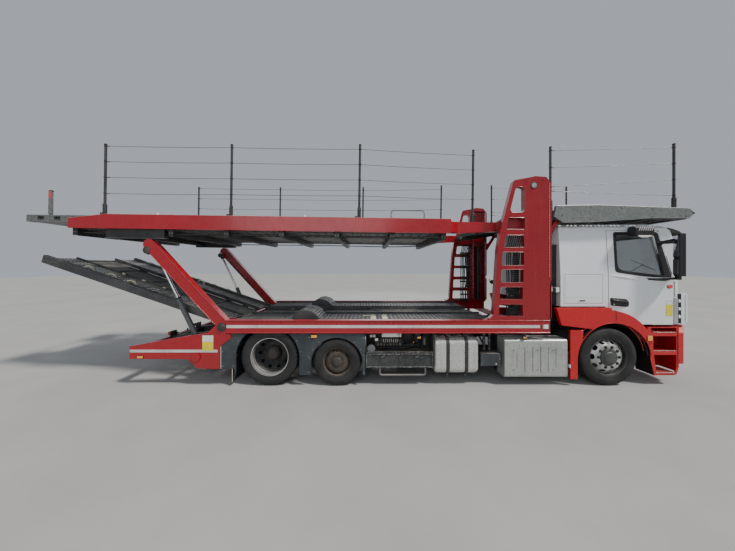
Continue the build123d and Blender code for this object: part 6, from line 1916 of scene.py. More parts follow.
WIN_OUT = [(168, 1838), (168, 2504), (903, 2504), (1078, 1812), (1092, 1752), (700, 1758)]
WIN_IN = [(214, 1880), (214, 2462), (842, 2462), (962, 1800), (966, 1786), (695, 1806)]
for side_name, s in (("right", -1), ("left", 1)):
    place = on_side(s)
    b = Build()
    # black window frame with rounded corners, over the sharp opening
    ro = [60, 46, 40, 30, 20, 160]
    frame_ring(b, round_poly(WIN_OUT, ro, 8), round_poly(WIN_IN, [100, 52, 46, 20, 16, 150], 8), place, "plastic", 5, 30)
    # inner rubber seal
    b.tube([place(p, -14) for p in round_poly(WIN_IN, [100, 52, 46, 20, 16, 150], 8)], 6, "hose", 8, closed=True)
    # belt crease below the window
    rows = [[], [], []]
    for i in range(15):
        x = 66 + (880 - 66) * i / 14
        zr = 1809 - 0.150 * (x + 52)
        high = 11 * min(1, (x + 52) / 260, (880 - x) / 120)
        rows[0].append(place((x, zr + 8 + 0.070 * (x + 52)), -0.5))
        rows[1].append(place((x, zr), high))
        rows[2].append(place((x, zr - 24), -0.5))
    verts = [v for r in rows for v in r]
    faces = [(k * 15 + i, k * 15 + i + 1, (k + 1) * 15 + i + 1, (k + 1) * 15 + i) for k in range(2) for i in range(14)]
    b.add(verts, faces, "white")
    # handle: dished black plate with a grip bar and lock barrel
    hand = round_poly([(92, 1290), (80, 1420), (350, 1398), (391, 1352), (391, 1278), (340, 1267)], [26, 20, 26, 24, 20, 26], 5)
    skin_plate(b, hand, place, "plastic", 5, 3)
    skin_plate(b, inset(hand, 13), place, "hose", 6.5, 1.5)
    b.tube(smooth_path([(106, s * 1154, 1372), (120, s * 1176, 1376), (200, s * 1184, 1370), (300, s * 1182, 1354), (356, s * 1170, 1338), (368, s * 1154, 1334)], 5), 16, "plastic", 14)
    b.cyl((140, s * 1156, 1312), (140, s * 1162, 1312), 12, "chrome", 20, 1)
    b.box(143, 145, s * 1161, s * 1162.6, 1306, 1318, "plastic", 0.3)
    # blank panel and red reflector
    sticker(b, 1002, 1106, 1122, 1363, 1150, s, [(0.24, "white_panel"), (0.76, "yellow")])
    oval = [(1062 + 52 * math.cos(math.radians(a)), 1604 + 34 * math.sin(math.radians(a))) for a in range(0, 360, 15)]
    skin_plate(b, oval, place, "plastic", 3, 1)
    skin_plate(b, inset(oval, 4), place, "red_lens", 9, 4)
    # swage along the door's foot and rubber strip

    skin_plate(b, round_poly([(772, 974), (772, 992), (1114, 992), (1114, 974)], 5, 3), place, "pale", 3, 2)
    # inner trim with armrest, pull and pocket
    b.box(170, 1040, s * 1084.5, s * 1089, 1060, 1690, "trim", 2)
    b.box(250, 900, s * 1040, s * 1086, 1480, 1540, "trim", 12)
    b.box(300, 860, s * 1052, s * 1086, 1100, 1230, "trim", 12)
    b.tube(smooth_path([(420, s * 1070, 1560), (440, s * 1050, 1600), (640, s * 1050, 1610), (660, s * 1070, 1570)], 5), 11, "plastic", 12)
    b.make("door_detail_" + side_name, "door_" + side_name, slot="plastic")

    b = Build()
    # hatch latch and blank seams
    skin_plate(b, round_poly([(-446, 1352), (-446, 1396), (-298, 1396), (-298, 1352)], 10, 3), place, "white", 4, 2)
    skin_plate(b, round_poly([(-418, 1362), (-418, 1386), (-326, 1386), (-326, 1362)], 8, 3), place, "plastic", 6, 1.5)
    b.tube([(-400, s * 1158, 1374), (-345, s * 1158, 1374)], 4, "chrome", 8)
    skin_plate(b, round_poly([(-652, 1420), (-652, 1782), (-60, 1782), (-60, 1420)], 34, 5), place, "white", 2.5, 2)
    b.make("hatch_detail_" + side_name, "hatch_" + side_name, slot="white_paint")

# fixed cab trim
b = Build()
for s in (-1, 1):
    place = on_side(s)
    # black strip ahead of the door on the pillar
    skin_plate(b, [(915, 2530), (928, 2530), (1106, 1800), (1094, 1800)], place, "plastic", 2.5, 1)
    skin_plate(b, [(1140, 1690), (1149, 1690), (1149, 1430), (1140, 1430)], place, "hose", 1.2, 0.5)
    # crease start behind the door
    rows = [[], [], []]
    for i in range(5):
        x = -52 + 104 * i / 4
        zr = 1809 - 0.150 * (x + 52)
        rows[0].append(place((x, zr + 4 + 0.085 * (x + 52)), -0.5))
        rows[1].append(place((x, zr), 11 * min(1, (x + 52) / 260)))
        rows[2].append(place((x, zr - 4 - 0.3 * (x + 52)), -0.5))
    b.add([v for r in rows for v in r], [(k * 5 + i, k * 5 + i + 1, (k + 1) * 5 + i + 1, (k + 1) * 5 + i) for k in range(2) for i in range(4)], "white")
    # hatch seal and frame seen through the gap
    b.tube([place(p, -3) for p in round_poly([(-676, 1326), (-676, 1804), (-36, 1804), (-36, 1326)], 16, 4)], 4, "hose", 6, closed=True)
    b.tube([place(p, -3) for p in ((56, 1300), (56, 1800), (56, 2400), (56, 2520))], 4, "hose", 6)
    # grey corner trim, dark slot with light clips
    b.prism([(1128, s * 1147), (1216, s * 1122), (1222, s * 1131), (1130, s * 1156)], "z", 986, 1416, "panel_cab", 2)
    for x in (1150, 1172, 1194):
        b.tube([(x, s * (1154.5 - (x - 1128) * 0.265), 992), (x, s * (1154.5 - (x - 1128) * 0.265), 1410)], 2.5, "grey_plastic", 6)
    b.prism([(1218, s * 1118), (1264, s * 1104), (1266, s * 1137), (1222, s * 1130)], "z", 996, 1484, "plastic", 2)
    for z in (1080, 1210, 1340):                      # clips between the corner and the deflector
        b.box(1226, 1266, s * 1124, s * 1138, z, z + 46, "white", 4)
    b.prism([(1330, s * 1143), (1374, s * 1125), (1376, s * 1128), (1331, s * 1146)], "z", 1010, 1470, "white", 1)
    # roof rail, marker lamps, gutter
    gut = [(-720, s * 1085, 2576), (-300, s * 1086, 2579), (500, s * 1086, 2579), (930, s * 1086, 2570)]
    b.tube(gut, 7, "white", 8)
    side_lamp(b, -560, -500, 1150, 1220, 1250, s, "amber", 12)
    b.box(-731, -724, s * 900, s * 1080, 1300, 2400, "white", 2)
    # mirror foot covers on the pillar
    b.tube([(930, s * 1150, 2322), (930, s * 1122, 2322)], 34, "plastic", 18)
# windscreen frame, in black
scr_o = round_poly([(-1000, 1722), (-962, 2506), (962, 2506), (1000, 1722)], 60, 8)
scr_i = round_poly([(-940, 1786), (-912, 2452), (912, 2452), (940, 1786)], 90, 8)
frame_ring(b, scr_o, scr_i, on_screen, "plastic", 4, 22)
# wipers: two arms from the scuttle
for y0, y1 in ((-620, 60), (180, 860)):
    foot = on_screen((y0 + 640, 1728), 10)
    tip = on_screen((y0 + 130, 1960), 12)
    b.cyl(on_screen((y0 + 640, 1728), 2), on_screen((y0 + 640, 1728), 22), 17, "plastic", 20)
    b.tube([foot, on_screen((y0 + 560, 1752), 16), tip], 7, "plastic", 8)
    b.tube([on_screen((y0 - 60, 1860), 7), on_screen((y0 + 130, 1956), 9), on_screen((y0 + 330, 2060), 7)], 6, "hose", 8)
    b.box(*[v for p in zip([c - 8 for c in tip], [c + 8 for c in tip]) for v in p], "plastic", 2)
# scuttle panel below the screen
b.add([on_screen((y, z), o) for z, o in ((1700, 3), (1742, 3)) for y in (-960, -480, 0, 480, 960)],
      [(i, i + 1, i + 6, i + 5) for i in range(4)], "plastic")
# sun visor: a smoked shade on brackets
vis, V = [], []
for i in range(33):
    y = -1086 + 2172 * i / 32
    f = max(0.0, (abs(y) - 760) / 326)
    bow = 4 * (abs(y) / 1086) ** 3
    drop = 46 * f * f
    for x, z in ((1100, 2606), (1200, 2596), (1300, 2572), (1376, 2524), (1399, 2470), (1389, 2466), (1366, 2512), (1294, 2558), (1198, 2582), (1100, 2592)):
        V.append((x - bow * (x - 1090) / 300, y, z - drop * (x - 1060) / 330 - (20 * f)))
vis = [(i * 10 + k, i * 10 + (k + 1) % 10, (i + 1) * 10 + (k + 1) % 10, (i + 1) * 10 + k) for i in range(32) for k in range(10)]
vis += [tuple(range(10)), tuple(reversed(range(32 * 10, 33 * 10)))]
b.add(V, vis, "plastic")
for y in (-800, -270, 270, 800):
    b.box(1040, 1126, y - 14, y + 14, 2584, 2602, "plastic", 4)
    if abs(y) > 700:
        b.lathe([(0, 0), (0, 26), (8, 24), (15, 12), (16, 0)], (1326, y * 1.05, 2556), (0.5, 0, 0.86), "clear_lens", 20)
for s in (-1, 1):                                     # work lamp between tower and cab
    b.box(-858, -706, s * 1098, s * 1146, 1496, 1594, "plastic", 10)
    b.box(-806, -750, s * 1140, s * 1153, 1508, 1584, "clear_lens", 6)
    b.tube(smooth_path([(-858, s * 1120, 1545), (-884, s * 1116, 1560), (-900, s * 1112, 1620)], 4), 9, "hose", 8)
    b.box(-880, -850, s * 1090, s * 1136, 1520, 1570, "black", 4)
# back wall: ribs, rear window blanks, harness box
for y in range(-960, 961, 160):
    if 780 < -y < 1100:
        continue
    b.box(-737, -728, y - 18, y + 18, 1340, 2460, "white", 3)
b.box(-745, -728, -500, 500, 1300, 1330, "plastic", 4)
b.box(-760, -728, 300, 560, 1330, 1560, "plastic", 8)
b.tube(smooth_path([(-750, 420, 1330), (-770, 420, 1240), (-760, 380, 1100), (-720, 300, 960)], 5), 14, "hose", 10)
# cab rear mounts and crossbar
b.box(-700, -640, -520, 520, 880, 940, "dark", 8)
for s in (-1, 1):
    b.lathe([(0, 0), (0, 46), (12, 52), (40, 40), (60, 52), (88, 40), (110, 50), (122, 44), (122, 0)], (-670, s * 460, 940), (0, 0, 1), "hose", 30)
    b.box(-720, -620, s * 400, s * 520, 1060, 1150, "dark", 8)
    b.box(-720, -620, s * 425, s * 500, 1145, 1300, "dark", 6)
b.make("cab_trim", "root", slot="plastic")

# front flap: grille of curved slats over a black backing that is painted shade for the openings between them, no badge
b = Build()
# black backing behind the slats: painted shade standing in for the openings
wrap(b, -806, 806, 1052, 1600, -10, -5.5, "plastic", 18, ch=1)
z = 1078
while z < 1570:
    wrap(b, -786, 786, z, z + 50, -9, 1.5, "panel_cab", 18, ch=3, tilt=-0.10)
    z += 74
for y in (-802, 802):
    wrap(b, y - 14, y + 14, 1052, 1600, -10, 3.2, "white", 3, ch=3)
for y in (-270, 270):
    wrap(b, y - 7, y + 7, 1070, 1584, -9, -4, "plastic", 2, ch=1)
wrap(b, -816, 816, 1584, 1608, -10, 3.2, "white", 18, ch=3)
wrap(b, -816, 816, 1044, 1068, -10, 3.2, "white", 18, ch=3)
wrap(b, -900, 900, 1626, 1640, -10, -5, "hose", 18, ch=1)
b.make("front_grille", "front_flap", slot="plastic")

# bumper: lamps, lower mesh, blank plate, step pads
def bump_x(y):
    a = abs(y)
    if a <= 500:
        return 1402.0
    if a <= 900:
        return 1410.0 - 30.0 * (a - 500) / 400 if a > 620 else 1402.0
    if a <= 1120:
        return 1380.0 - 50.0 * (a - 900) / 220
    return 1330.0 - 90.0 * (a - 1120) / 70


b = Build()
for s in (-1, 1):
    b.box(1362, 1366, s * 646, s * 1014, 566, 734, "plastic", 1)
    for y, r in ((720, 62), (870, 62)):
        b.lathe([(0, r), (14, r), (14, r - 5), (2, r - 10), (-6 + 6, 20), (6, 0)], (1364, s * y, 656), (1, 0, 0), "chrome", 36)
        b.lathe([(2, 24), (10, 20), (15, 10), (16, 0)], (1364, s * y, 656), (1, 0, 0), "clear_lens", 24)
    b.box(1364, 1378, s * 946, s * 1010, 572, 728, "amber", 5)
    wrap(b, min(s * 642, s * 1018), max(s * 642, s * 1018), 562, 738, -23, -19, "glass_clear", 8, bump_x, 1)
    for z in (552, 746):
        wrap(b, min(s * 632, s * 1030), max(s * 632, s * 1030), z - 7, z + 7, -12, -1, "red_cab", 8, bump_x, 2)
    b.lathe([(2, 40), (2, 58), (7, 60), (10, 54), (10, 46), (4, 40)], (1391, s * 790, 440), (1, 0, 0), "plastic", 40)
    b.lathe([(4, 0), (4.2, 12), (4.6, 42)], (1391, s * 790, 440), (1, 0, 0), "chrome", 40)
    b.lathe([(7.5, 0), (7.2, 8), (6, 14), (4, 15)], (1391, s * 790, 440), (1, 0, 0), "clear_lens", 24)
    b.lathe([(9.6, 0), (9, 22), (6.5, 40), (6, 42)], (1391, s * 790, 440), (1, 0, 0), "glass_clear", 32)
    b.box(1150, 1180, s * 1150, s * 1194, 345, 420, "hose", 8)
wrap(b, -566, 566, 392, 606, -14, -5, "hose", 14, bump_x, 2)
z = 404
while z < 596:
    wrap(b, -552, 552, z, z + 12, -9, -1.5, "plastic", 14, bump_x, 2)
    z += 22
for y in range(-528, 529, 44):
    wrap(b, y - 4, y + 4, 398, 600, -9, -2.5, "plastic", 1, bump_x, 1)
for z in (386, 600):
    wrap(b, -574, 574, z, z + 12, -12, -0.6, "red_cab", 14, bump_x, 3)
for y in (-574, 574):
    wrap(b, y - 6, y + 6, 386, 612, -12, -0.6, "red_cab", 2, bump_x, 2)
b.box(1388, 1399, -272, 272, 652, 790, "plastic", 3)
b.box(1396, 1401.4, -262, 262, 662, 778, "stone", 2)
wrap(b, -600, 600, 806, 818, -12, -3.5, "hose", 14, bump_x, 2)
wrap(b, -600, 600, 884, 934, -14, -6.5, "hose", 14, lambda q: 1398.0, 2)
for y in (-330, 330):                                 # tow eye caps
    b.lathe([(0, 0), (0, 34), (4, 36), (8, 30), (8, 0)], (1392, y, 850), (1, 0, 0), "red_cab", 28)
    b.box(1399, 1401, y - 20, y + 20, 846, 853, "hose", 0.8)
for s in (-1, 1):
    y0, y1 = sorted((s * 600, s * 1060))
    for z in (538, 748):                              # raised lip over and under the lamps
        wrap(b, y0, y1, z, z + 14, -14, -2, "red_cab", 8, bump_x, 4)
    for z in (390, 480):
        wrap(b, min(s * 650, s * 1000), max(s * 650, s * 1000), z, z + 8, -12, -5, "hose", 6, bump_x, 2)
b.make("bumper_detail", "root", slot="red_paint")

# steps: perforated treads with worn noses; fender lamps and liner lip
b = Build()
# the two upper treads take the step red darkened as painted shade
for x0, x1, z, nose in ((700, 1110, 862, (738, 1104)), (720, 1110, 562, (742, 1104)), (745, 1120, 205, (768, 1086))):
    b.perf(sheet_map(x0 + 40, x1 - 14, 935, 1180, z + 5, 5, 11, 6), 11, 6, 0.3, 0.3, "tread_nose" if z < 300 else "red_step_shaded", power=2.2)
    a, c = nose
    b.box(a, c, 1196, 1208.5, z - 6, z + 5, "tread_nose", 2)
    n = 8
    for i in range(n):
        x = a + (c - a) * (i + 0.12) / n
        b.box(x, x + (c - a) * 0.62 / n, 1184, 1209, z + 2, z + 9, "zinc_pale", 1.5)
# riser of the lowest step in the step red darkened as painted shade
b.box(772, 1082, 1190, 1204, 166, 208, "red_step_shaded", 3)
b.tube(smooth_path([(1136, 1206, 300), (1136, 1209, 500), (1136, 1209, 800), (1136, 1204, 930)], 4), 7, "red_cab", 8)
b.box(1112, 1160, 1160, 1200, 262, 352, "hose", 10)
arch = [(80 + 601 * math.cos(math.radians(a)), 1230, 420 + 601 * math.sin(math.radians(a))) for a in range(6, 176, 5)]
b.tube(arch, 7, "red_cab", 8)
b.tube([(p[0] * 0.985 + 1.2, 1180, p[2] * 0.985 + 6) for p in arch], 10, "hose", 8)
b.box(603, 690, 1226, 1240, 730, 820, "plastic", 8)
b.box(608, 686, 1234, 1244, 736, 814, "amber", 10)
b.box(-646, -628, 1196, 1240, 296, 352, "clear_lens", 4)
for x, z in ((-610, 180), (-610, 480), (-590, 780)):
    b.bolt((x, 1236, z), (0, 1, 0), 8, 5, "zinc_dark")
b.tube([(112, 1233, 1062), (108, 1234, 1140), (104, 1233, 1216)], 2.6, "hose", 6)       # seam between the two fender halves
b.tube([(-848, 1226, 1260), (-300, 1226, 1262), (30, 1226, 1262)], 5, "red_cab", 8)
b.mirrored()
b.make("step_and_fender_detail", "root", slot="red_paint")

# mirrors: two glasses to the rear, ribbed housing, tapered arms
for side_name, s in (("right", -1), ("left", 1)):
    b = Build()
    ca, sa = math.cos(math.radians(25)), math.sin(math.radians(25))

    def head(u, v, z):
        """u forward, v outward from the head's middle, along the turned housing."""
        return (1010 + u * ca - v * sa, s * (1340 + u * sa + v * ca), 2115 + z)
    for z0, z1 in ((-40, 312), (-318, -62)):
        g = round_poly([(-72, z0), (-72, z1), (72, z1), (72, z0)], 24, 4)
        n = len(g)
        b.add([head(-38, *p) for p in g] + [head(-50, *p) for p in inset(g, 5)],
              [(i, (i + 1) % n, n + (i + 1) % n, n + i) for i in range(n)] + [tuple(range(n, 2 * n))], "plastic")
        gi = inset(g, 9)
        b.add([head(-51.5, *p) for p in gi] + [head(-49, *p) for p in gi],
              [(i, (i + 1) % n, n + (i + 1) % n, n + i) for i in range(n)] + [tuple(range(n))], "mirror")
    for z in (-190, -50, 140, 330):
        b.tube([head(26, -84, z), head(40, -64, z), head(43, 0, z), head(40, 60, z), head(20, 79, z), head(-26, 81, z)], 3.5, "hose" if z != -50 else "grey_plastic", 8)
    b.tube(smooth_path([(868, s * 1128, 2322), (905, s * 1160, 2330), (950, s * 1215, 2345), (985, s * 1270, 2360)], 6), 19, "plastic", 14)
    b.tube(smooth_path([(700, s * 1156, 1722), (800, s * 1163, 1724), (900, s * 1176, 1728), (970, s * 1230, 1736), (1010, s * 1300, 1760), (1012, s * 1318, 1792)], 6), 14, "plastic", 14)
    skin_plate(b, round_poly([(668, 1742), (1090, 1738), (1094, 1722), (980, 1694), (740, 1702)], [8, 10, 10, 30, 20], 3), on_side(s), "plastic", 10, 6)
    skin_plate(b, round_poly([(700, 1732), (890, 1732), (880, 1712), (752, 1710)], 6, 3), on_side(s), "grey_plastic", 12, 2)
    if s < 0:
        oval = [(475 + 132 * math.cos(math.radians(a)), -1262 + 58 * math.sin(math.radians(a))) for a in range(0, 360, 15)]
        n = len(oval)
        b.add([(p[0], p[1], 2424) for p in oval] + [(475 + (p[0] - 475) * 0.88, -1262 + (p[1] + 1262) * 0.88, 2411) for p in oval],
              [(i, (i + 1) % n, n + (i + 1) % n, n + i) for i in range(n)] + [tuple(range(n, 2 * n))], "plastic")
        b.add([(475 + (p[0] - 475) * 0.84, -1262 + (p[1] + 1262) * 0.84, 2409.5) for p in oval], [tuple(range(n))], "mirror")
        b.tube([(475, -1110, 2500), (475, -1200, 2505)], 20, "plastic", 14)
        b.prism([(362, 2426), (590, 2426), (566, 2402), (520, 2390), (430, 2390), (386, 2402)], "y", -1331, -1322, "stone", 4)
        for i in range(7):                            # pale slats on the arm's cover
            x = 372 + i * 34
            b.prism([(x, 2500), (x + 14, 2500), (x + 40, 2560), (x + 26, 2560)], "y", -1333, -1328, "pale", 1)
    b.make("mirror_detail_" + side_name, frame["nodes"]["mirror_" + side_name]["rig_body"], slot="plastic")


# ---- inside the cab --------------------------------------------------------------------------------------
def pillow(name, centre, size, turn=0.0, mat="seat", seams=(), cross=(), crown=1.0, nu=34, nv=34, thin=0.0):
    """Crowned cushion: soft corners, pulled-in sides, sewn channels; size is along X, Y, Z before the turn about Y."""
    lx, ly, lz = size
    R = Matrix.Rotation(math.radians(turn), 3, "Y")
    V, F = [], []
    idx = {}

    def edge(u):
        return max(0.0, 1 - abs(u) ** 7) ** 0.42
    for top in (1, -1):
        for i in range(nu + 1):
            for j in range(nv + 1):
                u, v = -1 + 2 * i / nu, -1 + 2 * j / nv
                u, v = math.sin(u * math.pi / 2) * 0.35 + u * 0.65, math.sin(v * math.pi / 2) * 0.35 + v * 0.65
                rim = i in (0, nu) or j in (0, nv)
                if rim and top < 0:
                    idx[(top, i, j)] = idx[(1, i, j)]
                    continue
                h = edge(u) * edge(v)
                ch = 1.0
                for s0 in seams:
                    ch -= 0.20 * math.exp(-((v - s0) / 0.045) ** 2)
                for s0 in cross:
                    ch -= 0.20 * math.exp(-((u - s0) / 0.045) ** 2)
                dome = 1 - 0.16 * crown * (u * u + v * v) / 2
                z = lz / 2 * h * (dome * ch if top > 0 else 0.94)
                pull = 1 - 0.022 * (1 - min(abs(u), abs(v)) ** 2)
                x = lx / 2 * u * (pull if abs(u) > abs(v) else 1) * 0.995
                y = ly / 2 * v * (pull if abs(v) > abs(u) else 1) * 0.995
                p = R @ Vector((x, y, top * z + thin))
                idx[(top, i, j)] = len(V)
                V.append((p.x + centre[0], p.y + centre[1], p.z + centre[2]))
        for i in range(nu):
            for j in range(nv):
                q = [idx[(top, i, j)], idx[(top, i + 1, j)], idx[(top, i + 1, j + 1)], idx[(top, i, j + 1)]]
                F.append(q if top > 0 else q[::-1])
    b = Build()
    b.add(V, F, mat)
    # piping round the rim
    rim = [(i, 0) for i in range(nu)] + [(nu, j) for j in range(nv)] + [(i, nv) for i in range(nu, 0, -1)] + [(0, j) for j in range(nv, 0, -1)]
    b.tube([V[idx[(1, i, j)]] for i, j in rim], 4.5, mat, 6, closed=True)
    o = b.make(name, "root", slot="seat", sharp=70)
    return o


for side_name, c in (("right", -640), ("left", 640)):
    pillow("seat_cushion_" + side_name, (268, c, 1628), (500, 486, 118), 3, seams=(-0.55, 0.55), cross=(-0.1,))
    pillow("seat_back_" + side_name, (-92, c, 1940), (560, 462, 112), -86, seams=(-0.55, 0.55), cross=(-0.35, 0.15))
    pillow("seat_head_" + side_name, (-102, c, 2262), (128, 280, 92), -86, nu=20, nv=24)
pillow("bunk_mattress", (-455, 0, 1492), (404, 1980, 128), 0, "bunk", seams=(-0.66, -0.33, 0, 0.33, 0.66), nv=60)
b = Build()
for c in (-640, 640):
    b.box(60, 440, c - 190, c + 190, 1330, 1360, "plastic", 6)
    for k in range(4):                                # bellows of the seat base
        b.box(110 + 4 * (k % 2), 390 - 4 * (k % 2), c - 160 + 4 * (k % 2), c + 160 - 4 * (k % 2), 1362 + k * 42, 1400 + k * 42, "hose", 10)
    b.box(40, 490, c - 215, c + 215, 1532, 1568, "plastic", 8)
    b.box(-120, -60, c - 60, c - 44, 2180, 2240, "zinc_dark", 3)
    b.box(-120, -60, c + 44, c + 60, 2180, 2240, "zinc_dark", 3)
    b.box(40, 330, c - 262, c - 246, 1600, 1636, "plastic", 5)
b.box(-660, -250, -1000, 1000, 1345, 1430, "trim", 10)
dash = [(900, 1330), (900, 1545), (930, 1600), (985, 1700), (1010, 1712), (1170, 1712), (1240, 1560), (1240, 1330)]
b.prism(dash, "y", -998, 998, "trim", 8)
b.prism([(915, 1600), (905, 1690), (940, 1752), (1060, 1760), (1100, 1712), (985, 1640)], "y", 430, 850, "plastic", 8)
for y in (-860, -460, -120, 160, 930):                # air vents
    b.box(928, 944, y - 52, y + 52, 1588, 1650, "plastic", 5)
    for k in range(4):
        b.box(920, 932, y - 46, y + 46, 1594 + k * 14, 1600 + k * 14, "grey_plastic", 1.5)
for i in range(7):                                    # plain switches and a blank screen
    b.box(896, 906, 60 + i * 44, 94 + i * 44, 1480, 1510, "grey_plastic", 3)
b.box(898, 912, 80, 330, 1524, 1590, "hose", 5)
for y in (560, 720):
    b.lathe([(0, 0), (0, 52), (8, 54), (10, 48), (4, 46)], (912, y, 1668), (-1, 0, 0.12), "plastic", 28)
    b.lathe([(4, 0), (5, 46)], (910, y, 1668), (-1, 0, 0.12), "stone", 28)
# steering wheel and column
wheel = Matrix.Translation((800, 640, 1735)) @ Matrix.Rotation(math.radians(-30), 4, "Y")
ring = [tuple(wheel @ Vector((215 * math.cos(math.radians(a)), 215 * math.sin(math.radians(a)), 0))) for a in range(0, 360, 8)]
b.tube(ring, 15, "hose", 12, closed=True)
for a in (0, 120, 240):
    q = wheel @ Vector((40 * math.cos(math.radians(a + 90)), 40 * math.sin(math.radians(a + 90)), -10))
    w = wheel @ Vector((206 * math.cos(math.radians(a + 90)), 206 * math.sin(math.radians(a + 90)), 0))
    b.tube([tuple(q), tuple(q.lerp(w, 0.5)), tuple(w)], 13, "plastic", 8)
b.lathe([(-24, 0), (-24, 52), (4, 62), (14, 54), (16, 0)], (800, 640, 1735), tuple(wheel.to_3x3() @ Vector((0, 0, 1))), "plastic", 30)
b.tube(smooth_path([(800, 640, 1720), (860, 640, 1660), (930, 640, 1590)], 4), 30, "plastic", 16)
b.tube([(830, 640, 1700), (826, 780, 1712)], 7, "plastic", 8)
b.box(700, 1180, -900, 900, 1322, 1336, "hose", 4)
for y in (560, 660, 760):
    b.box(930, 980, y - 24, y + 24, 1345, 1420, "hose", 4)
b.make("cab_fittings", "root", "cab_interior", slot="plastic")

# ---- service panel behind the front flap: backing, cooler core, fillers, catch -----------------------------
b = Build()
b.box(1343.6, 1346.4, -560, 560, 1066, 1598, "plastic", 0.8)
for s in (-1, 1):
    b.box(1341.6, 1344.4, s * 560, s * 770, 1066, 1598, "plastic", 0.8)
b.box(1346, 1348.6, -430, 430, 1100, 1480, "hose", 0.6)
for z in range(1112, 1474, 12):
    b.box(1348.2, 1350.6, -420, 420, z, z + 4, "zinc_dark", 0.5)
for z in (1090, 1478):
    b.box(1346, 1353, -442, 442, z, z + 14, "zinc_dark", 2)
for y in (-442, -150, 150, 428):
    b.box(1346, 1353, y, y + 14, 1090, 1492, "zinc_dark", 2)
for y, m in ((-500, "hose"), (500, "stone")):
    b.lathe([(0, 0), (0, 40), (3, 42), (6, 34), (11, 30), (11, 0)], (1346, y, 1540), (1, 0, 0), m, 32)
    b.box(1356, 1358.4, y - 24, y + 24, 1535, 1545, "plastic", 1)
b.box(1346, 1356, -46, 46, 1510, 1574, "zinc_dark", 3)
b.tube(smooth_path([(1352, -28, 1520), (1357, -28, 1534), (1358, 0, 1540), (1357, 28, 1534), (1352, 28, 1520)], 4), 2.6, "chrome", 8)
for y in (-540, -270, 270, 540):
    for z in (1078, 1586):
        b.bolt((1346.4, y, z), (1, 0, 0), 7, 4, "zinc_dark")
b.tube(smooth_path([(1350, -470, 1470), (1351, -490, 1360), (1351, -520, 1240), (1350, -524, 1100)], 6), 4.5, "hose", 8)
b.make("front_service_panel", "root", slot="plastic")

# ---- underside: bolted joints, bellows, brake chambers, drive joints, pipes --------------------------------
def bellows(b, x, y, z0, z1, r, n=3):
    """Rubber air spring with its rings and plates."""
    h = (z1 - z0) / n
    prof = [(0, r * 0.72)]
    for k in range(n):
        for t in range(7):
            a = math.pi * t / 6
            prof.append((k * h + h * t / 6 * 0.98 + h * 0.01, r * (0.86 + 0.155 * math.sin(a))))
        if k < n - 1:
            prof.append(((k + 1) * h, r * 0.83))
    prof.append((z1 - z0, r * 0.72))
    b.lathe(prof, (x, y, z0), (0, 0, 1), "hose", 40)
    b.lathe([(0, 0), (0, r * 1.02), (6, r * 1.02), (6, 0)], (x, y, z1 - 6), (0, 0, 1), "dark", 36)
    b.lathe([(0, 0), (0, r * 0.9), (10, r * 0.84), (12, 0)], (x, y, z0 - 2), (0, 0, 1), "dark", 36)


def chamber(b, c, axis, r, length, mat="black"):
    """Spring brake chamber with its clamp bands, studs and push rod."""
    b.lathe([(0, 0), (0, r * 0.55), (10, r * 0.82), (24, r), (length * 0.42, r), (length * 0.44, r * 1.10), (length * 0.50, r * 1.10),
             (length * 0.52, r), (length * 0.80, r * 0.97), (length * 0.82, r * 1.06), (length * 0.86, r * 1.06),
             (length * 0.88, r * 0.95), (length - 8, r * 0.80), (length, r * 0.5), (length, 0)], c, axis, mat, 36)
    a = Vector(axis).normalized()
    u, v, w = basis(axis)
    p = Vector(c)
    b.cyl(tuple(p - a * 34), tuple(p + a * 2), r * 0.16, "chrome", 14)
    for s in (-1, 1):
        q = p + u * (s * r * 0.5)
        b.cyl(tuple(q - a * 12), tuple(q + a * 3), r * 0.11, "zinc_dark", 10)
    q = p + a * (length * 0.47) + v * (r * 1.05)
    b.bolt(tuple(q), tuple(u), r * 0.12, r * 0.3, "zinc_dark")


def ubolt(b, x, y, z_low, z_top, half, r=10, along="y"):
    """U-bolt over a spring pack, its two legs across Y, with nuts under the axle."""
    pts = [(x, y - half, z_low), (x, y - half, z_top - 20), (x, y - half + 16, z_top), (x, y + half - 16, z_top), (x, y + half, z_top - 20), (x, y + half, z_low)]
    b.tube(smooth_path(pts, 3), r, "zinc_dark", 10)
    for s in (-1, 1):
        b.bolt((x, y + s * half, z_low + 14), (0, 0, -1), r * 1.6, 16, "zinc_dark")


# front axle
b = Build()
for x in (-58, 58):
    ubolt(b, x, 385, 372, 556, 62)
b.box(-86, 86, 322, 448, 536, 552, "dark", 4)
b.box(-90, 90, 318, 452, 388, 402, "dark", 4)
for i, x in enumerate((-640, -420, 420, 640)):        # spring clips
    z = 470 + 0.00007 * x * x
    b.box(x - 16, x + 16, 334, 436, z + 8, z + 50, "dark", 3)
    b.bolt((x, 436, z + 28), (0, 1, 0), 9, 6, "zinc_dark")
for x in (-888, 888):
    b.cyl((x, 338, 566), (x, 434, 566), 34, "cast", 24)
    b.bolt((x, 434, 566), (0, 1, 0), 20, 14, "zinc_dark")
    for z in (640, 700, 760):
        for dx in (-22, 22):
            b.bolt((x + dx, 426, z - 10), (0, 1, 0), 11, 9, "zinc_dark")
b.cyl((118, 300, 440), (210, 330, 700), 32, "black", 22)      # shock absorber
b.cyl((96, 292, 372), (122, 302, 452), 40, "dark", 22)
b.cyl((206, 330, 690), (224, 336, 742), 14, "chrome", 12)
b.tube(smooth_path([(-260, 0, 352), (-260, 500, 352), (-250, 560, 360), (-60, 590, 400), (40, 590, 420)], 6), 20, "dark", 14)   # anti-roll bar
b.box(-290, -230, 330, 380, 330, 380, "hose", 8)
b.tube([(-260, 355, 380), (-260, 372, 600)], 14, "dark", 12)
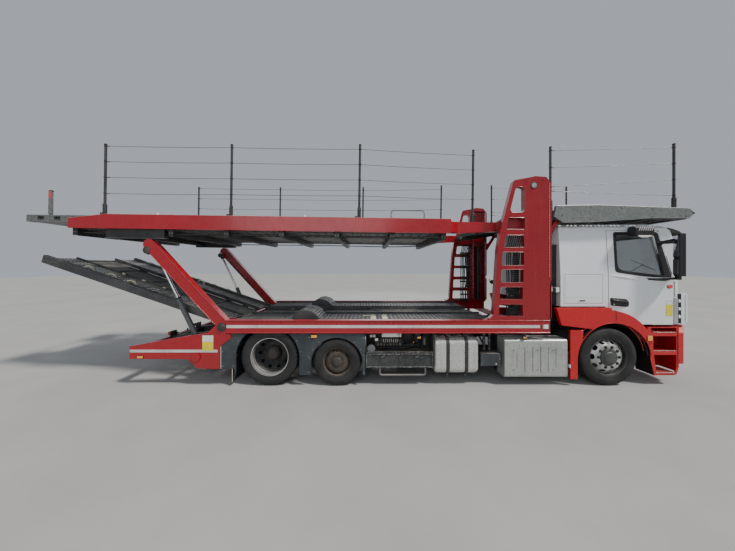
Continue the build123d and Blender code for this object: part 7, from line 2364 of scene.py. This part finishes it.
chamber(b, (58, 712, 566), (-0.25, 0.1, 0.96), 74, 128)
b.box(30, 90, 700, 760, 500, 560, "cast", 6)
b.tube(smooth_path([(50, 712, 690), (20, 620, 720), (-80, 460, 730), (-200, 440, 700)], 6), 9, "hose", 8)
b.mirrored()
b.box(-320, -60, -392, -352, 640, 700, "cast", 8)              # steering gear on the rail
b.box(250, 520, 428, 560, 640, 820, "cast", 22)
for x in (280, 490):
    for z in (670, 790):
        b.bolt((x, 560, z), (0, 1, 0), 14, 10, "zinc_dark")
b.lathe([(0, 0), (0, 52), (30, 56), (34, 40), (60, 38), (60, 0)], (385, 494, 640), (0, 0, -1), "cast", 30)
b.make("front_suspension_detail", "root", slot="dark_steel")

# pusher and drive axle suspension
b = Build()
X, Z = -4393.0, 383.0
for dx in (-270, 270):
    bellows(b, X + dx, 505, Z - 72, 576, 91, 2)
for dx in (-46, 46):
    ubolt(b, X + dx, 505, Z - 132, Z + 78, 46, 9)
b.box(X - 80, X + 80, 452, 560, Z - 128, Z - 114, "dark", 4)
chamber(b, (X + 92, 640, Z + 30), (0.35, 0.05, 0.93), 66, 116)
b.tube(smooth_path([(X + 130, 640, Z + 150), (X + 160, 560, Z + 250), (X + 200, 450, Z + 260)], 6), 9, "hose", 8)
b.box(X + 300, X + 372, 468, 542, 270, 560, "dark", 8)
b.cyl((X + 338, 462, 320), (X + 338, 548, 320), 30, "cast", 22)
b.bolt((X + 338, 548, 320), (0, 1, 0), 20, 14, "zinc_dark")
b.tube([(X - 30, 430, Z + 20), (X - 190, 436, 700)], 26, "black", 18)
X, Z = -5488.0, 465.0
for dx in (-400, 400):
    bellows(b, X + dx, 500, Z - 88, 576, 99, 2)
    b.bolt((X + dx, 500, Z - 140), (0, 0, -1), 20, 12, "zinc_dark")
for dx in (-56, 56):
    ubolt(b, X + dx, 500, Z - 158, Z + 96, 60, 11)
b.box(X - 96, X + 96, 438, 562, Z - 154, Z - 138, "dark", 4)
chamber(b, (X - 112, 640, Z + 60), (-0.95, 0, 0.3), 78, 190)
b.tube(smooth_path([(X - 250, 640, Z + 180), (X - 200, 540, Z + 290), (X - 120, 440, Z + 300)], 6), 9, "hose", 8)
b.tube([(X + 60, 420, Z + 20), (X + 230, 434, 690)], 28, "black", 18)
b.tube([(X + 150, 130, Z + 190), (X + 420, 390, 640)], 27, "dark", 16)           # V-rod
b.lathe([(0, 0), (0, 46), (30, 50), (60, 46), (60, 0)], (X + 420, 390, 610), (0, 0, 1), "cast", 26)
for a in range(0, 360, 30):                           # cover bolts round the differential
    p = (X - 160, 173 * math.sin(math.radians(a)), Z + 173 * math.cos(math.radians(a)))
    if p[1] >= -1:
        b.bolt(p, (-1, 0, 0), 10, 9, "zinc_dark")
b.mirrored()
b.lathe([(0, 0), (4, 50), (14, 94), (30, 128), (44, 146), (58, 156), (62, 188), (66, 192), (74, 192), (76, 150)], (-5708, 0, 465), (1, 0, 0), "cast", 48)
b.lathe([(0, 24), (0, 118), (14, 122), (20, 104), (34, 98), (36, 24)], (-5360, 0, 465), (1, 0, 0), "cast", 40)
b.bolt((-5700, 0, 400), (-1, 0, 0), 16, 10, "chrome")
for i in range(8):
    a = 2 * math.pi * i / 8
    b.bolt((-5324, 106 * math.sin(a), 465 + 106 * math.cos(a)), (1, 0, 0), 9, 8, "zinc_dark")
# universal joints, slip yoke and centre bearing of the propeller shaft
drop = math.atan2(177, 3334)
ux = Vector((math.cos(drop), 0, math.sin(drop)))


def on_shaft(x):
    return (x, 0, 478 + (x + 5184) * 177 / 3334)


for x, sgn in ((-5150, 1), (-1905, -1)):
    c = Vector(on_shaft(x))
    b.lathe([(-62, 0), (-62, 88), (-48, 92), (-44, 70), (-30, 60), (-28, 0)], tuple(c), tuple(ux * -sgn), "cast", 32)
    for i in range(8):
        a = 2 * math.pi * i / 8
        u, v, w = basis(ux)
        b.bolt(tuple(c + ux * (sgn * 48) + u * (78 * math.sin(a)) + v * (78 * math.cos(a))), tuple(ux * -sgn), 7, 10, "zinc_dark")
    b.cyl((c.x, -76, c.z), (c.x, 76, c.z), 21, "zinc_dark", 18)
    b.cyl((c.x, 0, c.z - 76), (c.x, 0, c.z + 76), 21, "zinc_dark", 18)
    for s in (-1, 1):
        b.box(c.x - 20 - 34 * (sgn > 0), c.x + 20 + 34 * (sgn < 0), s * 52 - 13, s * 52 + 13, c.z - 30, c.z + 30, "cast", 8)
for x, r in ((-2350, 66), (-2150, 70), (-4820, 64)):
    c = Vector(on_shaft(x))
    b.lathe([(-30, 58), (-26, r), (26, r), (30, 58)], tuple(c), tuple(ux), "dark", 32)
c = Vector(on_shaft(-3500))
b.lathe([(-34, 59), (-30, 92), (30, 92), (34, 59)], tuple(c), (1, 0, 0), "hose", 36)
b.lathe([(-22, 92), (-22, 104), (22, 104), (22, 92)], tuple(c), (1, 0, 0), "dark", 36)
b.box(-3530, -3470, -150, 150, c.z + 92, 752, "dark", 6)
b.make("rear_axle_detail", "root", slot="dark_steel")

# rails: rows of bolts, brackets, pipe runs with clips, wiring loom
b = Build()
for x in range(-5900, 1000, 130):
    for z in (640, 812):
        if (x // 130) % 3:
            b.bolt((x, 425, z), (0, 1, 0), 9, 7, "zinc_dark")
for x in (-1180, -1800, -2640, -3300, -3880, -4930, -6060):
    b.box(x - 70, x + 70, 425, 434, 700, 856, "dark", 2)
    for dx in (-46, 46):
        for z in (730, 790):
            b.bolt((x + dx, 434, z), (0, 1, 0), 13, 9, "zinc_dark")
for i, (z, r, m) in enumerate(((690, 8, "hose"), (708, 6, "hose"), (722, 5, "grey_plastic"), (736, 9, "hose"))):
    pts = [(x, 402 - r, z + 3 * math.sin(x * 0.004 + i)) for x in range(-5700, 901, 220)]
    b.tube(pts, r, m, 8)
for x in range(-5600, 900, 440):
    b.box(x - 9, x + 9, 384, 418, 682, 748, "plastic", 4)
for x, h, z0, z1 in [(-2300, 40, 745, 840), (-3500, 40, 745, 840), (-4650, 40, 745, 840), (-5130, 40, 745, 840)]:
    for dx in (-26, 26):                              # gusset bolts at each crossmember end
        for z in (762, 822):
            b.bolt((x + dx, 417 + 8, z), (0, 1, 0), 11, 8, "zinc_dark")
    b.lathe([(0, 30), (0, 46), (4, 46), (4, 30)], (x - h - 1, 160, 792), (-1, 0, 0), "dark", 24)
b.mirrored()
# brake valves and dryer on the rail, hydraulic oil pump on the gearbox
b.box(-2520, -2400, -400, -300, 640, 720, "cast", 10)
for k in range(4):
    b.tube(smooth_path([(-2500 + 26 * k, -350, 720), (-2500 + 30 * k, -350, 750), (-2560 + 20 * k, -380, 736), (-2800, -394, 706 + 8 * k)], 4), 6, "hose", 8)
b.lathe([(0, 0), (0, 66), (12, 70), (120, 70), (132, 60), (138, 0)], (-2150, 345, 640), (0, 0, -1), "white", 36)
b.box(-2225, -2075, 280, 415, 636, 700, "cast", 10)
# gearbox: ribbed case, bolted covers, bell housing, mounts
for x in (-1660, -1580, -1500, -1420):
    b.box(x - 6, x + 6, -218, 218, 540 + (x + 1750) * -0.11, 770 + (x + 1750) * 0.2, "cast", 3)
for x in (-1300, -1180, -1060, -940):
    b.box(x - 6, x + 6, -220, 220, 480, 800, "cast", 3)
b.box(-1290, -950, -180, 180, 466, 486, "cast", 6)
for x in range(-1275, -950, 52):
    for y in (-162, 162):
        b.bolt((x, y, 466), (0, 0, -1), 8, 6, "zinc_dark")
b.lathe([(0, 180), (0, 262), (26, 268), (30, 250), (60, 246), (90, 230), (90, 180)], (-752, 0, 660), (-1, 0, 0), "cast", 48)
for i in range(12):
    a = 2 * math.pi * i / 12
    b.bolt((-782, 254 * math.sin(a), 660 + 254 * math.cos(a)), (-1, 0, 0), 9, 8, "zinc_dark")
for s in (-1, 1):
    b.box(-1180, -1080, s * 210, s * 420, 610, 660, "dark", 8)
    b.box(-1170, -1090, s * 330, s * 416, 655, 700, "hose", 8)
b.cyl((-1560, -270, 640), (-1400, -270, 640), 66, "cast", 30)
b.cyl((-1400, -270, 640), (-1370, -270, 640), 84, "zinc_dark", 30)
b.tube(smooth_path([(-1560, -270, 660), (-1640, -290, 690), (-1760, -340, 720), (-2100, -390, 730)], 6), 18, "hose", 12)
b.tube(smooth_path([(-1480, -320, 600), (-1500, -360, 580), (-1640, -380, 620), (-2100, -392, 700)], 6), 16, "hose", 12)
# engine: sump with ribs and drain plug, pulleys and belt, manifold, exhaust to the silencer
b.box(-700, 40, -232, 232, 452, 506, "cast", 20)
for x in range(-640, 30, 90):
    b.box(x - 5, x + 5, -236, 236, 448, 504, "cast", 3)
b.bolt((-560, 0, 450), (0, 0, -1), 18, 12, "zinc_dark")
for x in range(-690, 60, 62):
    for y in (-250, 250):
        b.bolt((x, y, 506), (0, 0, -1), 9, 6, "zinc_dark")
for y, z, r in ((0, 640, 110), (-200, 860, 62), (190, 900, 70), (0, 1000, 84)):
    b.lathe([(0, 0), (0, r), (4, r + 4), (8, r), (14, r - 6), (20, r), (26, r + 4), (30, r), (30, r * 0.5), (22, r * 0.4), (22, 0)], (250, y, z), (1, 0, 0), "cast", 40)
b.tube([(266, 112, 640), (266, 262, 900), (266, 60, 1082), (266, -60, 1082), (266, -264, 860), (266, -112, 640)], 9, "hose", 8, closed=True)
for k in range(9):
    a = 2 * math.pi * k / 9
    c, s0 = math.cos(a), math.sin(a)
b.box(330, 420, -420, 420, 560, 1240, "black", 12)
for z in range(590, 1220, 26):
    b.box(322, 332, -400, 400, z, z + 8, "zinc_dark", 1.5)
b.cyl((-500, -340, 900), (200, -340, 900), 60, "cast", 28)
for x in (-440, -320, -200, -80, 40, 160):
    b.cyl((x, -320, 900), (x, -345, 900), 74, "cast", 24)
b.tube(smooth_path([(-500, -340, 900), (-600, -350, 860), (-640, -360, 700), (-680, -470, 520), (-800, -560, 470), (-900, -640, 470)], 8), 56, "rust", 24)
for p, q in (((-636, -358, 690), (-660, -400, 610)), ((-800, -560, 470), (-840, -590, 470))):
    b.cyl(p, q, 62, "zinc_dark", 24)
b.make("frame_and_drive_detail", "root", slot="dark_steel")
